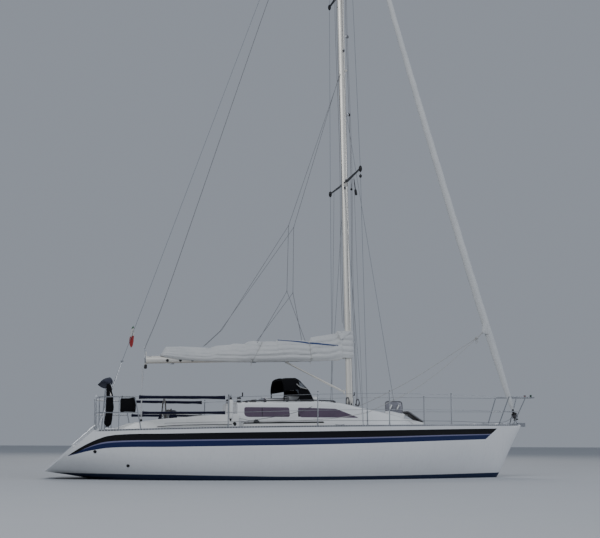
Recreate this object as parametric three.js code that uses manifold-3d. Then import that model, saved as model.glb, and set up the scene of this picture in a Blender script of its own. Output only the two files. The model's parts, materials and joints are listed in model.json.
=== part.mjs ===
// Sailing yacht, masthead sloop, 11.3 m long, lying afloat with its sails furled.
// Millimetres. Origin on the waterplane amidships on the centreline; +X forward, +Y port, +Z up.
import * as THREE from 'three';
import { mergeVertices } from 'three/addons/utils/BufferGeometryUtils.js';
import Module from 'manifold-3d';

const wasm = await Module();
wasm.setup();

// Driving dimensions
const GAP = 0.3;
const STERN_X = -5650;
const TRANSOM = { topX: -4640, topZ: 1060, tipZ: 150 };
const DECK_CAMBER = 45;
const TOE_RAIL = { high: 38, thick: 16, inset: 6, fromX: -4560, toX: 5560 };
const COCKPIT = {
  aftX: -3450, wideX: -2680, seatAftX: -1560, foreX: -780, soleZ: 470, seatZ: 900,
  footHalf: 380, seatHalf: 960, bridgeHalf: 500, bridgeX: -1250,
};
const CABIN = {
  aftX: -1553, foreX: 2760, bulkheadX: -780, wall: 25, camber: 45, lean: 90,
  soleZ: 120, cavityAftX: -690, cavityForeX: 2150, recessHalf: 500,
};
const SLIDE = { half: 330, slotHalf: 300, aftX: -800, foreX: -215, thick: 32 };
const GARAGE = { foreX: 420, half: 385, high: 92, skin: 14, railHigh: 20 };
const KEEL = {
  rootX: 850, rootZ: -380, rootChord: 1650, tipX: 480, tipChord: 1150, depth: 1990, footFlat: 128,
};
const RUDDER = { axisX: -4280, topZ: -150, footZ: -1520, lead: 190, topChord: 620, footChord: 420 };
const DRIVE = { x: -2350, hubZ: -760, propRadius: 215 };
const MAST = { deckX: 1353, rakeDeg: 1.28, fore: 165, wide: 108, footZ: 1640, headZ: 16520 };
const BOOM = { noseZ: 2815, endX: -3500, endZ: 2640, deep: 168, wide: 104 };
const CHAINPLATE = { capX: 1300, lowerX: 1205, half: 1517 };
const STAY_RADIUS = 5;
const WIRE = 4.5;
const FORESTAY = { footX: 5545, footZ: 1330, headX: 1090, headZ: 16462, sag: 95 };
const BACKSTAY = {
  footX: -4560, footZ: 1060, headX: 725, headZ: 16490, splitZ: 2600, legHalf: 560, legFootZ: 1000,
};
const WHEEL = { x: -3060, z: 1330, radius: 430 };
const PANE_FIT = 0.994;
const SIDE_STEPS = 12;
const LID_GAP = 0.6;
const FORE_HATCH = {
  hingeX: 3062, hingeZ: 1282, long: 470, wide: 500, frame: 30, thick: 26, deep: 140,
  slopeDeg: 11.5, openDeg: 33,
};
const HEADS_HATCH = {
  x: 2165, y: -92, z: 1548, long: 400, wide: 250, frame: 26, thick: 20, deep: 200, slopeDeg: 11, openDeg: 98,
};
const LADDER = { hingeX: -5030, half: 150, long: 640, off: 42, tube: 13, pin: 8, hole: 8.7 };
const BOOM_PIVOT = { aft: 130, vangZ: 1985, lugHalf: 45, pin: 7.5, hole: 8.2 };
const RAIL_TUBE = 12.5;
const STEM = {
  aftX: 5430, foreX: 5700, half: 34, lowZ: 1202, plateZ: 1280, cheekX: 5560, endX: 5760, cheekZ: 1298, wall: 8,
  rollerX: 5722, rollerZ: 1248,
};
const PULPIT = {
  topZ: 1912, aftX: 5187, aftFootX: 4926, foreX: 5680, foreFootX: 5400, noseX: 6010, half: 400, foreHalf: 270,
};
const PUSHPIT = {
  topZ: 1752,
  midZ: 1420,
  top: [[-3835, 1470], [-4150, 1400], [-4420, 1255], [-4555, 1020], [-4590, 420]],
  mid: [[-3755, 1485], [-4150, 1400], [-4420, 1248], [-4548, 1020], [-4583, 420]],
  posts: [
    { from: 0, x: -3678, y: 1500 }, { from: 1, x: -4150, y: 1400 },
    { from: 3, x: -4540, y: 1020 }, { from: 4, x: -4575, y: 420 },
  ],
};
const BIMINI = { x: -4330, half: 860, rollZ: 2115, tube: 14, rollRadius: 98 };
// Winch drum: radius and height, going up
const WINCH_PROFILE = [
  [0, -40], [78, -40], [78, 18], [52, 30], [46, 75], [58, 122], [58, 138], [34, 144], [0, 144],
];
const GENOA_TRACK = { y: 1190, x: [-1440, -500, 380], carX: -1150, lift: 66 };
const HANDRAIL = { y: 900, rise: 34, feet: [-1330, -900, -400, 150, 700] };
const FENDER = { radius: 56 };
const TRAVELLER = { x: -3572, half: 800 };

// Stations of the hull: x, half beam at the deck edge, height of the deck edge, keel line, fullness
const STATIONS = [
  { x: -5760, half: 990, edge: 985, keel: 168, full: 2.6 },
  { x: -5200, half: 1150, edge: 1000, keel: 92, full: 2.7 },
  { x: -4640, half: 1310, edge: 1015, keel: -5, full: 2.8 },
  { x: -3800, half: 1570, edge: 1045, keel: -190, full: 2.9 },
  { x: -2800, half: 1775, edge: 1075, keel: -350, full: 3.0 },
  { x: -1700, half: 1875, edge: 1105, keel: -450, full: 3.0 },
  { x: -500, half: 1880, edge: 1130, keel: -495, full: 3.0 },
  { x: 700, half: 1770, edge: 1152, keel: -490, full: 2.9 },
  { x: 1900, half: 1520, edge: 1172, keel: -445, full: 2.7 },
  { x: 3000, half: 1190, edge: 1190, keel: -370, full: 2.4 },
  { x: 3950, half: 830, edge: 1204, keel: -270, full: 2.1 },
  { x: 4600, half: 545, edge: 1212, keel: -150, full: 1.9 },
  { x: 4975, half: 375, edge: 1216, keel: 0, full: 1.8 },
  { x: 5300, half: 215, edge: 1221, keel: 590, full: 1.7 },
  { x: 5520, half: 100, edge: 1224, keel: 990, full: 1.6 },
  { x: 5640, half: 34, edge: 1226, keel: 1200, full: 1.5 },
];

// Stations of the coachroof: x, half width at its foot, height of its top edge
const ROOF_STATIONS = [
  { x: -1553, half: 1130, top: 1662 },
  { x: -600, half: 1130, top: 1690 },
  { x: 280, half: 1105, top: 1712 },
  { x: 880, half: 1050, top: 1678 },
  { x: 1354, half: 960, top: 1588 },
  { x: 1892, half: 820, top: 1496 },
  { x: 2400, half: 640, top: 1400 },
  { x: 2760, half: 470, top: 1262 },
];

// Lifeline stanchions: x, height above the deck edge
const STANCHIONS = [
  { x: -1876, high: 668 },
  { x: 96, high: 722 },
  { x: 1828, high: 752 },
  { x: 3500, high: 730 },
];

// Side windows: name, outline corners in x and z, going round
const WINDOWS = [
  { name: 'aft', outline: [[-1392, 1548], [-392, 1556], [-376, 1382], [-1330, 1371], [-1392, 1410]] },
  { name: 'forward', outline: [[-184, 1557], [700, 1545], [1225, 1376], [-184, 1374]] },
];

// Ballast bulb: x and radius; its underside is flat where it would rest on a block
const BULB_SECTIONS = [[620, 25], [300, 140], [-250, 140], [-820, 40]];

// Cockpit coamings: x, rise above the deck, distance of inner and outer face from the centreline
const COAMING = [
  { x: -4224, rise: 4, inner: 1010, outer: 1300 },
  { x: -3810, rise: 150, inner: 985, outer: 1345 },
  { x: -3280, rise: 205, inner: 975, outer: 1385 },
  { x: -2420, rise: 255, inner: 975, outer: 1390 },
  { x: -1556, rise: 285, inner: 975, outer: 1330 },
];

// Spreaders: height of the root, rise to the tip, half span
const SPREADERS = [
  { name: 'lower', z: 7040, rise: 40, span: 1373 },
  { name: 'upper', z: 11930, rise: 45, span: 1060 },
];

// Flaked mainsail: x, height of its top above the boom's axis, height of its hem, half width
const SAIL_STATIONS = [
  { x: -3120, top: 235, hem: 60, half: 50 },
  { x: -3020, top: 300, hem: 20, half: 90 },
  { x: -2010, top: 264, hem: -30, half: 120 },
  { x: -1720, top: 300, hem: -55, half: 138 },
  { x: -1180, top: 370, hem: -62, half: 150 },
  { x: -430, top: 395, hem: -62, half: 155 },
  { x: 330, top: 425, hem: -60, half: 150 },
  { x: 900, top: 548, hem: -52, half: 125 },
  { x: 1108, top: 575, hem: -45, half: 84 },
];

// Furled genoa: share of the stay's length from its foot, radius
const GENOA = [
  { t: 0.0, radius: 38 }, { t: 0.009, radius: 58 }, { t: 0.044, radius: 78 }, { t: 0.092, radius: 97 },
  { t: 0.2, radius: 97 }, { t: 0.45, radius: 86 }, { t: 0.75, radius: 64 }, { t: 0.93, radius: 40 },
  { t: 0.955, radius: 17 }, { t: 1.0, radius: 15 },
];

// Sprayhood hoops: x, half width, height of the top, foot
const HOOD = [
  { x: -440, half: 760, top: 2258, foot: 1500 },
  { x: -250, half: 765, top: 2288, foot: 1500 },
  { x: -60, half: 755, top: 2262, foot: 1500 },
  { x: 170, half: 715, top: 2020, foot: 1500 },
  { x: 350, half: 660, top: 1810, foot: 1500 },
];
// Its side panels end in a hem over the coachroof: x and z of the hem's two ends; its aft hoop has bare legs
const HOOD_HEM = { aftX: -520, aftZ: 1932, foreX: -110, foreZ: 1998, legX: -428, legY: 722, legTop: 1990, leg: 12 };

const SIDES = [{ name: 'starboard', sign: -1 }, { name: 'port', sign: 1 }];

// Colours of the finishes
const COLOUR = {
  gelcoat: 0xeeece6, navy: 0x1c2742, alloy: 0xb9bbb9, mast: 0xd9d6cc, steel: 0xc4c6c8, glass: 0x51465a,
  sail: 0xe4e2da, canvas: 0x15161a, cover: 0x1f2a4a, dark: 0x2a2d33, rubber: 0xf2f1ec, bronze: 0x8a6a3c,
  teak: 0x9a774e, flag: 0xd8d8d0, bimini: 0x2b3042,
};

// Small tools for solids

function vertexGeometry(geometry) {
  const bare = new THREE.BufferGeometry();
  bare.setAttribute('position', geometry.getAttribute('position').clone());
  if (geometry.index) bare.setIndex(geometry.index.clone());
  return mergeVertices(bare, 1e-3);
}

function signedVolume(points, triangles) {
  let total = 0;
  const [a, b, c] = [new THREE.Vector3(), new THREE.Vector3(), new THREE.Vector3()];
  for (let i = 0; i < triangles.length; i += 3) {
    a.fromArray(points, 3 * triangles[i]);
    b.fromArray(points, 3 * triangles[i + 1]);
    c.fromArray(points, 3 * triangles[i + 2]);
    total += a.dot(b.cross(c)) / 6;
  }
  return total;
}

function solid(geometry) {
  const merged = vertexGeometry(geometry);
  const points = new Float32Array(merged.getAttribute('position').array);
  const kept = [];
  const index = merged.index.array;
  for (let i = 0; i < index.length; i += 3) {
    const [p, q, r] = [index[i], index[i + 1], index[i + 2]];
    if (p !== q && q !== r && r !== p) kept.push(p, q, r);
  }
  if (signedVolume(points, kept) < 0) kept.reverse();
  return new wasm.Manifold(new wasm.Mesh({
    numProp: 3, vertProperties: points, triVerts: new Uint32Array(kept),
  }));
}

function box(x0, x1, y0, y1, z0, z1) {
  const geometry = new THREE.BoxGeometry(x1 - x0, y1 - y0, z1 - z0);
  geometry.translate((x0 + x1) / 2, (y0 + y1) / 2, (z0 + z1) / 2);
  return solid(geometry);
}

function circleShape(radius, sides) {
  const points = [];
  for (let i = 0; i < sides; i += 1) {
    const angle = (2 * Math.PI * i) / sides;
    points.push(new THREE.Vector2(radius * Math.cos(angle), radius * Math.sin(angle)));
  }
  return new THREE.Shape(points);
}

// A straight round rod from a to b, its end radii ra and rb
function rod(a, b, ra, sides = 8, rb = ra) {
  const from = new THREE.Vector3(...a);
  const to = new THREE.Vector3(...b);
  const geometry = new THREE.CylinderGeometry(rb, ra, from.distanceTo(to), sides);
  const turn = new THREE.Quaternion().setFromUnitVectors(
    new THREE.Vector3(0, 1, 0), to.clone().sub(from).normalize());
  geometry.applyQuaternion(turn);
  geometry.translate(...from.add(to).multiplyScalar(0.5).toArray());
  return solid(geometry);
}

function ball(centre, radius, across = 8, down = 6) {
  const geometry = new THREE.SphereGeometry(radius, across, down);
  geometry.translate(...centre);
  return solid(geometry);
}

function joined(solids) {
  return solids.reduce((whole, next) => whole.add(next));
}

// Rods through a list of points, with a ball at each bend
function frame(points, radius, sides = 6) {
  const pieces = [];
  for (let i = 1; i < points.length; i += 1) pieces.push(rod(points[i - 1], points[i], radius, sides));
  for (let i = 1; i < points.length - 1; i += 1) pieces.push(ball(points[i], radius * 1.04, 6, 4));
  return joined(pieces);
}

// A bent tube along a smooth curve through the points
function bentTube(points, radius, steps, sides = 6) {
  const curve = new THREE.CatmullRomCurve3(points.map((p) => new THREE.Vector3(...p)));
  const geometry = new THREE.ExtrudeGeometry(circleShape(radius, sides), { steps, extrudePath: curve });
  return solid(geometry);
}

// A skin over rings of equal count, closed at both ends
function loft(rings) {
  const count = rings[0].length;
  const points = rings.flat(2);
  const triangles = [];
  for (let r = 0; r + 1 < rings.length; r += 1) {
    for (let i = 0; i < count; i += 1) {
      const j = (i + 1) % count;
      const [a, b, c, d] = [r * count + i, r * count + j, (r + 1) * count + j, (r + 1) * count + i];
      triangles.push(a, b, c, a, c, d);
    }
  }
  for (const r of [0, rings.length - 1]) {
    const middle = points.length / 3;
    for (const axis of [0, 1, 2]) {
      points.push(rings[r].reduce((sum, p) => sum + p[axis], 0) / count);
    }
    for (let i = 0; i < count; i += 1) {
      const [a, b] = [r * count + i, r * count + ((i + 1) % count)];
      if (r === 0) triangles.push(b, a, middle);
      else triangles.push(a, b, middle);
    }
  }
  const geometry = new THREE.BufferGeometry();
  geometry.setAttribute('position', new THREE.Float32BufferAttribute(points, 3));
  geometry.setIndex(triangles);
  return solid(geometry);
}

// A flat outline in x and z, made solid from y0 to y1
function slabXZ(outline, y0, y1) {
  const shape = new THREE.Shape(outline.map(([x, z]) => new THREE.Vector2(x, z)));
  const geometry = new THREE.ExtrudeGeometry(shape, { depth: y1 - y0, bevelEnabled: false });
  geometry.rotateX(Math.PI / 2);
  geometry.translate(0, y1, 0);
  return solid(geometry);
}

// A flat outline in x and y, made solid from z0 to z1
function slabXY(outline, z0, z1) {
  const shape = new THREE.Shape(outline.map(([x, y]) => new THREE.Vector2(x, y)));
  const geometry = new THREE.ExtrudeGeometry(shape, { depth: z1 - z0, bevelEnabled: false });
  geometry.translate(0, 0, z0);
  return solid(geometry);
}

// A turned body about the upright through x and y; profile rows are radius and height
function turned(x, y, profile, sides = 12) {
  const geometry = new THREE.LatheGeometry(profile.map(([r, z]) => new THREE.Vector2(r, z)), sides);
  geometry.rotateX(Math.PI / 2);
  geometry.translate(x, y, 0);
  return solid(geometry);
}

function tilted(piece, pivot, axis, degrees) {
  const turns = [0, 0, 0];
  turns[axis] = degrees;
  return piece.translate(pivot.map((v) => -v)).rotate(turns).translate(pivot);
}

// What is left of a piece that stands on the base, with a hair of clearance to it
function seated(piece, base) {
  const shifts = [[0, 0, GAP], [GAP, 0, 0], [-GAP, 0, 0], [0, GAP, 0], [0, -GAP, 0]];
  return shifts.reduce((rest, shift) => rest.subtract(base.translate(shift)), piece);
}

function between(table, x, column) {
  let i = 1;
  while (i < table.length - 1 && x > table[i].x) i += 1;
  const [a, b] = [table[i - 1], table[i]];
  const t = Math.min(1, Math.max(0, (x - a.x) / (b.x - a.x)));
  return a[column] + t * (b[column] - a[column]);
}

// The table with rows added between its own, on a smooth curve through each column
function refined(table, steps) {
  const columns = Object.keys(table[0]).filter((column) => column !== 'x');
  const slope = (i, column) => {
    const [a, b] = [table[Math.max(0, i - 1)], table[Math.min(table.length - 1, i + 1)]];
    return (b[column] - a[column]) / (b.x - a.x);
  };
  const rows = [];
  for (let i = 0; i + 1 < table.length; i += 1) {
    const [a, b] = [table[i], table[i + 1]];
    const length = b.x - a.x;
    for (let step = 0; step < steps; step += 1) {
      const t = step / steps;
      const row = { x: a.x + t * length };
      for (const column of columns) {
        row[column] = a[column] * (1 + 2 * t) * (1 - t) ** 2 + b[column] * t * t * (3 - 2 * t)
          + length * (slope(i, column) * t * (1 - t) ** 2 - slope(i + 1, column) * t * t * (1 - t));
      }
      rows.push(row);
    }
  }
  return [...rows, table[table.length - 1]];
}
const HULL = refined(STATIONS, 3);
const ROOF = refined(ROOF_STATIONS, 3);

const edgeHalf = (x) => between(HULL, x, 'half');
const edgeHigh = (x) => between(HULL, x, 'edge');
const keelLine = (x) => between(HULL, x, 'keel');
const deckHigh = (x, y) => edgeHigh(x) + DECK_CAMBER * (1 - (y / edgeHalf(x)) ** 2);
const roofHigh = (x, y) => {
  const half = between(ROOF, x, 'half') - CABIN.lean;
  return between(ROOF, x, 'top') + CABIN.camber * (1 - (y / half) ** 2);
};

const rake = Math.tan(THREE.MathUtils.degToRad(MAST.rakeDeg));
const mastX = (z) => MAST.deckX - rake * z;

// Hull with its deck, cockpit well and cabin hollow

function hullRing(station) {
  const { x, half, edge, keel, full } = station;
  const side = [];
  for (let i = 0; i <= SIDE_STEPS; i += 1) {
    const angle = (Math.PI / 2) * (i / SIDE_STEPS);
    const y = half * Math.cos(angle) ** (2 / 2.05);
    const z = edge - (edge - keel) * Math.sin(angle) ** (2 / full);
    side.push([x, y, z]);
  }
  side[SIDE_STEPS][1] = 0;
  const other = side.slice(0, SIDE_STEPS).reverse().map(([px, y, z]) => [px, -y, z]);
  const deck = [-0.55, 0, 0.55].map((f) => [x, f * half, edge + DECK_CAMBER * (1 - f * f)]);
  return [...side, ...other, ...deck];
}

function hullSolid() {
  const body = loft(HULL.map(hullRing));
  const slope = (TRANSOM.topX - STERN_X) / (TRANSOM.topZ - TRANSOM.tipZ);
  const behind = slabXZ([
    [STERN_X - 400 * slope, TRANSOM.tipZ - 400],
    [TRANSOM.topX + 400 * slope, TRANSOM.topZ + 400],
    [STERN_X - 900, TRANSOM.topZ + 400],
    [STERN_X - 900, TRANSOM.tipZ - 400],
  ], -1500, 1500);
  return body.subtract(behind);
}

function cockpitHollow() {
  const c = COCKPIT;
  const high = 2000;
  return joined([
    box(c.aftX, c.seatAftX + 10, -c.seatHalf, c.seatHalf, c.seatZ, high),
    box(c.seatAftX, c.foreX, -c.bridgeHalf, c.bridgeHalf, c.seatZ, high),
    box(c.aftX, c.wideX, -c.seatHalf, c.seatHalf, c.soleZ, high),
    box(c.wideX - 10, c.bridgeX, -c.footHalf, c.footHalf, c.soleZ, high),
  ]);
}

function cabinHollow() {
  const c = CABIN;
  const inner = [];
  for (const x of [c.cavityAftX, 300, 1300, c.cavityForeX]) {
    const half = between(ROOF, x, 'half') - c.lean - 130;
    inner.push([x, half]);
  }
  const outline = [...inner, ...inner.slice().reverse().map(([x, y]) => [x, -y])];
  return slabXY(outline, c.soleZ, 1500);
}

// Coachroof: a moulded shell on the deck

function roofRing(station, inset, lower) {
  const { x, half, top } = station;
  const foot = half - inset;
  const brow = half - CABIN.lean - inset;
  const high = top - lower;
  const side = [
    [foot, 900], [brow + 27, high - 48], [brow + 21, high - 26], [brow + 8, high - 9], [brow - 12, high],
    [brow * 0.75, high + CABIN.camber * 0.44], [brow * 0.5, high + CABIN.camber * 0.75],
    [brow * 0.25, high + CABIN.camber * 0.94],
  ];
  const other = side.slice().reverse().map(([y, z]) => [-y, z]);
  return [...side, [0, high + CABIN.camber], ...other].map(([y, z]) => [x, y, z]);
}

// The window's outline, scaled about its middle, made solid across one cabin side
function windowCut(outline, sign, scale, y0, y1) {
  const middle = outline.reduce((sum, [x, z]) => [sum[0] + x, sum[1] + z], [0, 0])
    .map((v) => v / outline.length);
  const shaped = outline.map(([x, z]) => [
    middle[0] + (x - middle[0]) * scale, middle[1] + (z - middle[1]) * scale,
  ]);
  return sign > 0 ? slabXZ(shaped, y0, y1) : slabXZ(shaped, -y1, -y0);
}

function onForeSlope(piece) {
  return tilted(piece, [FORE_HATCH.hingeX, 0, FORE_HATCH.hingeZ], 1, FORE_HATCH.slopeDeg);
}
function foreHatchRim() {
  const f = FORE_HATCH;
  return onForeSlope(box(f.hingeX - f.long, f.hingeX, -f.wide / 2, f.wide / 2,
    f.hingeZ - f.deep, f.hingeZ - LID_GAP));
}
function foreHatchHole() {
  const f = FORE_HATCH;
  const half = f.wide / 2 - f.frame;
  return onForeSlope(box(f.hingeX - f.long + f.frame, f.hingeX - f.frame, -half, half, 700, 1500));
}
function onSlope(piece) {
  return tilted(piece, [HEADS_HATCH.x, 0, HEADS_HATCH.z], 1, HEADS_HATCH.slopeDeg);
}
function headsHatchRim() {
  const h = HEADS_HATCH;
  return onSlope(box(h.x, h.x + h.long, h.y - h.wide, h.y, h.z - h.deep, h.z - LID_GAP));
}
function headsHatchHole() {
  const h = HEADS_HATCH;
  return onSlope(box(h.x + h.frame, h.x + h.long - h.frame, h.y - h.wide + h.frame, h.y - h.frame,
    h.z - 300, h.z + 50));
}

function coachroofShell(base) {
  const outer = loft(ROOF.map((s) => roofRing(s, 0, 0)));
  const w = CABIN.wall;
  const innerStations = ROOF.map((s) => ({ ...s }));
  innerStations[0].x += w;
  innerStations[innerStations.length - 1].x -= 60;
  innerStations[innerStations.length - 1].top = between(ROOF, 2700, 'top');
  const inner = loft(innerStations.map((s) => roofRing(s, w, w)));
  const recess = CABIN.recessHalf;
  const trunk = box(-1800, CABIN.bulkheadX + w, -recess - w, recess + w, 800, 2000);
  let shell = outer.subtract(inner.subtract(trunk));
  shell = shell.subtract(box(-1800, CABIN.bulkheadX, -recess, recess, 800, 2000));
  shell = shell.subtract(box(SLIDE.aftX - 50, SLIDE.foreX - 60, -SLIDE.slotHalf, SLIDE.slotHalf, 1010, 2000));
  for (const { sign } of SIDES) {
    for (const { outline } of WINDOWS) shell = shell.subtract(windowCut(outline, sign, 1, 850, 1300));
  }
  return seated(shell, base);
}

// A pane fills its window flush with the leaning cabin side
function windowPane(outline, sign) {
  const skin = loft(ROOF.map((s) => roofRing(s, 3, 3)))
    .subtract(loft(ROOF.map((s) => roofRing(s, 13, 3))));
  return windowCut(outline, sign, PANE_FIT, 850, 1300).intersect(skin);
}

// The garage covers the open slide; its two rails run aft beside the slot
function slideGarage() {
  const { half, high, skin, foreX, railHigh } = GARAGE;
  const startX = SLIDE.foreX - 20;
  const zTop = slideZ + high;
  const inner = (x) => roofHigh(x, half) - CABIN.wall / 2;
  const outside = loft([startX, foreX].map((x) => [[x, half, inner(x)], [x, half, zTop], [x, -half, zTop],
    [x, -half, inner(x)]]));
  const room = box(startX - 10, foreX - 24, -half + skin, half - skin, slideZ - 4, zTop - skin);
  let garage = outside.subtract(room);
  const railOuter = SLIDE.half + 26;
  for (const { sign } of SIDES) {
    const across = (from) => (sign > 0 ? [from, railOuter] : [-railOuter, -from]);
    const low = slideZ - 30 - CABIN.wall;
    garage = garage.add(box(-770, startX + 5, ...across(SLIDE.slotHalf + 4), low, slideZ - GAP));
    garage = garage.add(box(-770, startX + 5, ...across(SLIDE.half + 1), low, slideZ + railHigh));
  }
  const mouth = box(startX - 1, startX + 20, -SLIDE.half - 1, SLIDE.half + 1, slideZ - GAP, slideZ + 40);
  return garage.subtract(mouth);
}

// The boarding ladder turns on two cheeks on the transom, its rails parallel to the slope
const transomAngle = Math.atan2(TRANSOM.topZ - TRANSOM.tipZ, TRANSOM.topX - STERN_X);
const transomZ = (x) => TRANSOM.tipZ + (x - STERN_X) * Math.tan(transomAngle);
function ladderAt(along, off = LADDER.off) {
  const [c, n] = [Math.cos(transomAngle), Math.sin(transomAngle)];
  return [LADDER.hingeX - off * n + along * c, transomZ(LADDER.hingeX) + off * c + along * n];
}
function ladderCheek(sign) {
  const corners = [[-22, -20], [22, -20], [18, LADDER.off + 14], [-18, LADDER.off + 14]];
  const [y0, y1] = sign > 0 ? [LADDER.half + 14, LADDER.half + 22] : [-LADDER.half - 22, -LADDER.half - 14];
  const [x, z] = ladderAt(0);
  const hole = rod([x, y0 - 5, z], [x, y1 + 5, z], LADDER.hole, 12);
  return slabXZ(corners.map(([along, off]) => ladderAt(along, off)), y0, y1).subtract(hole);
}

const hullBody = joined([hullSolid(), ladderCheek(1), ladderCheek(-1)]);
const hull = hullBody.subtract(cockpitHollow()).subtract(cabinHollow())
  .subtract(box(-800, CABIN.cavityAftX + 20, -SLIDE.slotHalf, SLIDE.slotHalf, 1010, 1500))
  .subtract(foreHatchHole());

const pieces = [];

function addPiece(name, body, colour, roughness = 0.5, metalness = 0) {
  pieces.push({ name, body, colour, roughness, metalness });
}

addPiece('hull', hull, COLOUR.gelcoat, 0.25);

// Fin keel with a ballast bulb
function foilRing(x0, chord, thick, z, steps = 7) {
  const ring = [];
  const across = (t) => 2.6 * thick * (Math.sqrt(t) * 0.7 - t * 0.42 - t * t * 0.28) + 2;
  for (let i = 0; i <= steps; i += 1) {
    const t = (i / steps) ** 1.6;
    ring.push([x0 - chord * t, across(t), z]);
  }
  for (let i = steps; i >= 0; i -= 1) {
    const t = (i / steps) ** 1.6;
    ring.push([x0 - chord * t, -across(t), z]);
  }
  return ring;
}

const keelFin = loft([
  foilRing(KEEL.rootX, KEEL.rootChord, 190, KEEL.rootZ),
  foilRing(KEEL.tipX, KEEL.tipChord, 150, -KEEL.depth + KEEL.footFlat),
]);
const keelBulb = loft(BULB_SECTIONS.map(([x, r]) => {
  const ring = [];
  for (let i = 0; i < 10; i += 1) {
    const angle = (2 * Math.PI * i) / 10;
    const z = Math.max(-KEEL.footFlat, r * Math.sin(angle));
    ring.push([x, 1.25 * r * Math.cos(angle), z - KEEL.depth + KEEL.footFlat]);
  }
  return ring;
}));
const keel = keelFin.add(keelBulb).subtract(hullBody.translate([0, 0, -GAP]));
addPiece('keel', keel, COLOUR.navy, 0.6);

// Spade rudder on an upright stock
const rudderBlade = loft([
  foilRing(RUDDER.axisX + RUDDER.lead, RUDDER.topChord, 92, RUDDER.topZ),
  foilRing(RUDDER.axisX + RUDDER.lead * 0.75, RUDDER.footChord, 60, RUDDER.footZ),
]);
const rudderStock = rod([RUDDER.axisX, 0, RUDDER.topZ - 200], [RUDDER.axisX, 0, 60], 30, 20);
const stockTube = rod([RUDDER.axisX, 0, -200], [RUDDER.axisX, 0, 61], 30.8, 20);
addPiece('rudder', rudderBlade.add(rudderStock), COLOUR.navy, 0.6);
pieces[0].body = pieces[0].body.subtract(stockTube);

// Drive leg and two-bladed propeller
const legTop = keelLine(DRIVE.x) + 60;
const leg = loft([
  foilRing(DRIVE.x + 110, 260, 80, legTop), foilRing(DRIVE.x + 90, 230, 70, DRIVE.hubZ),
]).add(rod([DRIVE.x + 130, 0, DRIVE.hubZ], [DRIVE.x - 150, 0, DRIVE.hubZ], 48, 12));
addPiece('drive_leg', leg.subtract(hullBody.translate([0, 0, -GAP])), COLOUR.alloy, 0.5, 0.4);

function propeller() {
  const hubX = DRIVE.x - 150 - GAP;
  const hub = rod([hubX, 0, DRIVE.hubZ], [hubX - 95, 0, DRIVE.hubZ], 42, 12, 30);
  const blades = [0, 180].map((turn) => {
    const blade = tilted(slabXY([[-22, 20], [-52, 90], [-46, 170], [0, DRIVE.propRadius],
      [40, 170], [48, 90], [20, 20]], -5, 5), [0, 0, 0], 1, 28);
    return blade.rotate([turn, 0, 0]).translate([hubX - 50, 0, DRIVE.hubZ]);
  });
  return joined([hub, ...blades]);
}
addPiece('propeller', propeller(), COLOUR.bronze, 0.35, 0.9);

// Toe rails along both deck edges
function toeRail(sign) {
  const rings = [];
  const stations = HULL.filter((s) => s.x > TOE_RAIL.fromX && s.x < TOE_RAIL.toX).map((s) => s.x);
  for (const x of [TOE_RAIL.fromX, ...stations, TOE_RAIL.toX]) {
    const outer = edgeHalf(x) - TOE_RAIL.inset;
    const inner = outer - TOE_RAIL.thick;
    const foot = edgeHigh(x) - 25;
    const head = edgeHigh(x) + TOE_RAIL.high;
    rings.push([[x, sign * outer, foot], [x, sign * outer, head], [x, sign * inner, head],
      [x, sign * inner, foot]]);
  }
  return seated(loft(rings), hullBody);
}
for (const { name, sign } of SIDES) addPiece(`toe_rail_${name}`, toeRail(sign), COLOUR.alloy, 0.4, 0.8);

// Coachroof, windows, companionway slide, garage and washboard
const slideZ = roofHigh(SLIDE.aftX + 200, 0) + 22;
const coachroof = joined([coachroofShell(hullBody), slideGarage(), headsHatchRim(), foreHatchRim()])
  .subtract(headsHatchHole()).subtract(foreHatchHole()).subtract(hullBody.translate([0, 0, GAP]));
const deckWorks = joined([loft(ROOF.map((s) => roofRing(s, 0, 0))), coachroof, hullBody]);
addPiece('coachroof', coachroof, COLOUR.gelcoat, 0.3);
for (const { name, sign } of SIDES) {
  for (const win of WINDOWS) {
    addPiece(`window_${win.name}_${name}`, windowPane(win.outline, sign), COLOUR.glass, 0.1);
  }
}

function slideHatch() {
  const s = SLIDE;
  const plate = box(s.aftX, s.foreX, -s.half, s.half, slideZ, slideZ + s.thick);
  const grip = box(s.aftX - 18, s.aftX + 12, -s.half, s.half, slideZ, slideZ + s.thick + 14);
  return plate.add(grip);
}
addPiece('companion_slide', slideHatch(), COLOUR.gelcoat, 0.35);

const washboard = box(CABIN.bulkheadX - 16, CABIN.bulkheadX - GAP, -SLIDE.slotHalf - 20, SLIDE.slotHalf + 20,
  COCKPIT.seatZ + GAP, slideZ - 18);
addPiece('washboard', washboard, COLOUR.glass, 0.2);

// Cockpit coamings, rising from the aft deck to the cabin
function coaming(sign) {
  const rings = COAMING.map(({ x, rise, inner, outer }) => {
    const top = deckHigh(x, 1150) + rise;
    const foot = deckHigh(x, 1350) - 60;
    return [[x, sign * outer, foot], [x, sign * (outer - 60), top - 22], [x, sign * (outer - 95), top],
      [x, sign * (inner + 20), top], [x, sign * inner, top - 20], [x, sign * inner, foot]];
  });
  return seated(loft(rings), deckWorks);
}
const coamings = {};
for (const { name, sign } of SIDES) {
  coamings[name] = coaming(sign);
  addPiece(`coaming_${name}`, coamings[name], COLOUR.gelcoat, 0.3);
}

// Deck hatches: each has a lid on a hinge over its rim
function foreHatchLid() {
  const f = FORE_HATCH;
  const lid = box(f.hingeX - f.long, f.hingeX, -f.wide / 2, f.wide / 2, f.hingeZ, f.hingeZ + f.thick);
  return tilted(lid, [f.hingeX, 0, f.hingeZ], 1, f.openDeg);
}
addPiece('fore_hatch_lid', foreHatchLid(), COLOUR.glass, 0.2);

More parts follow.
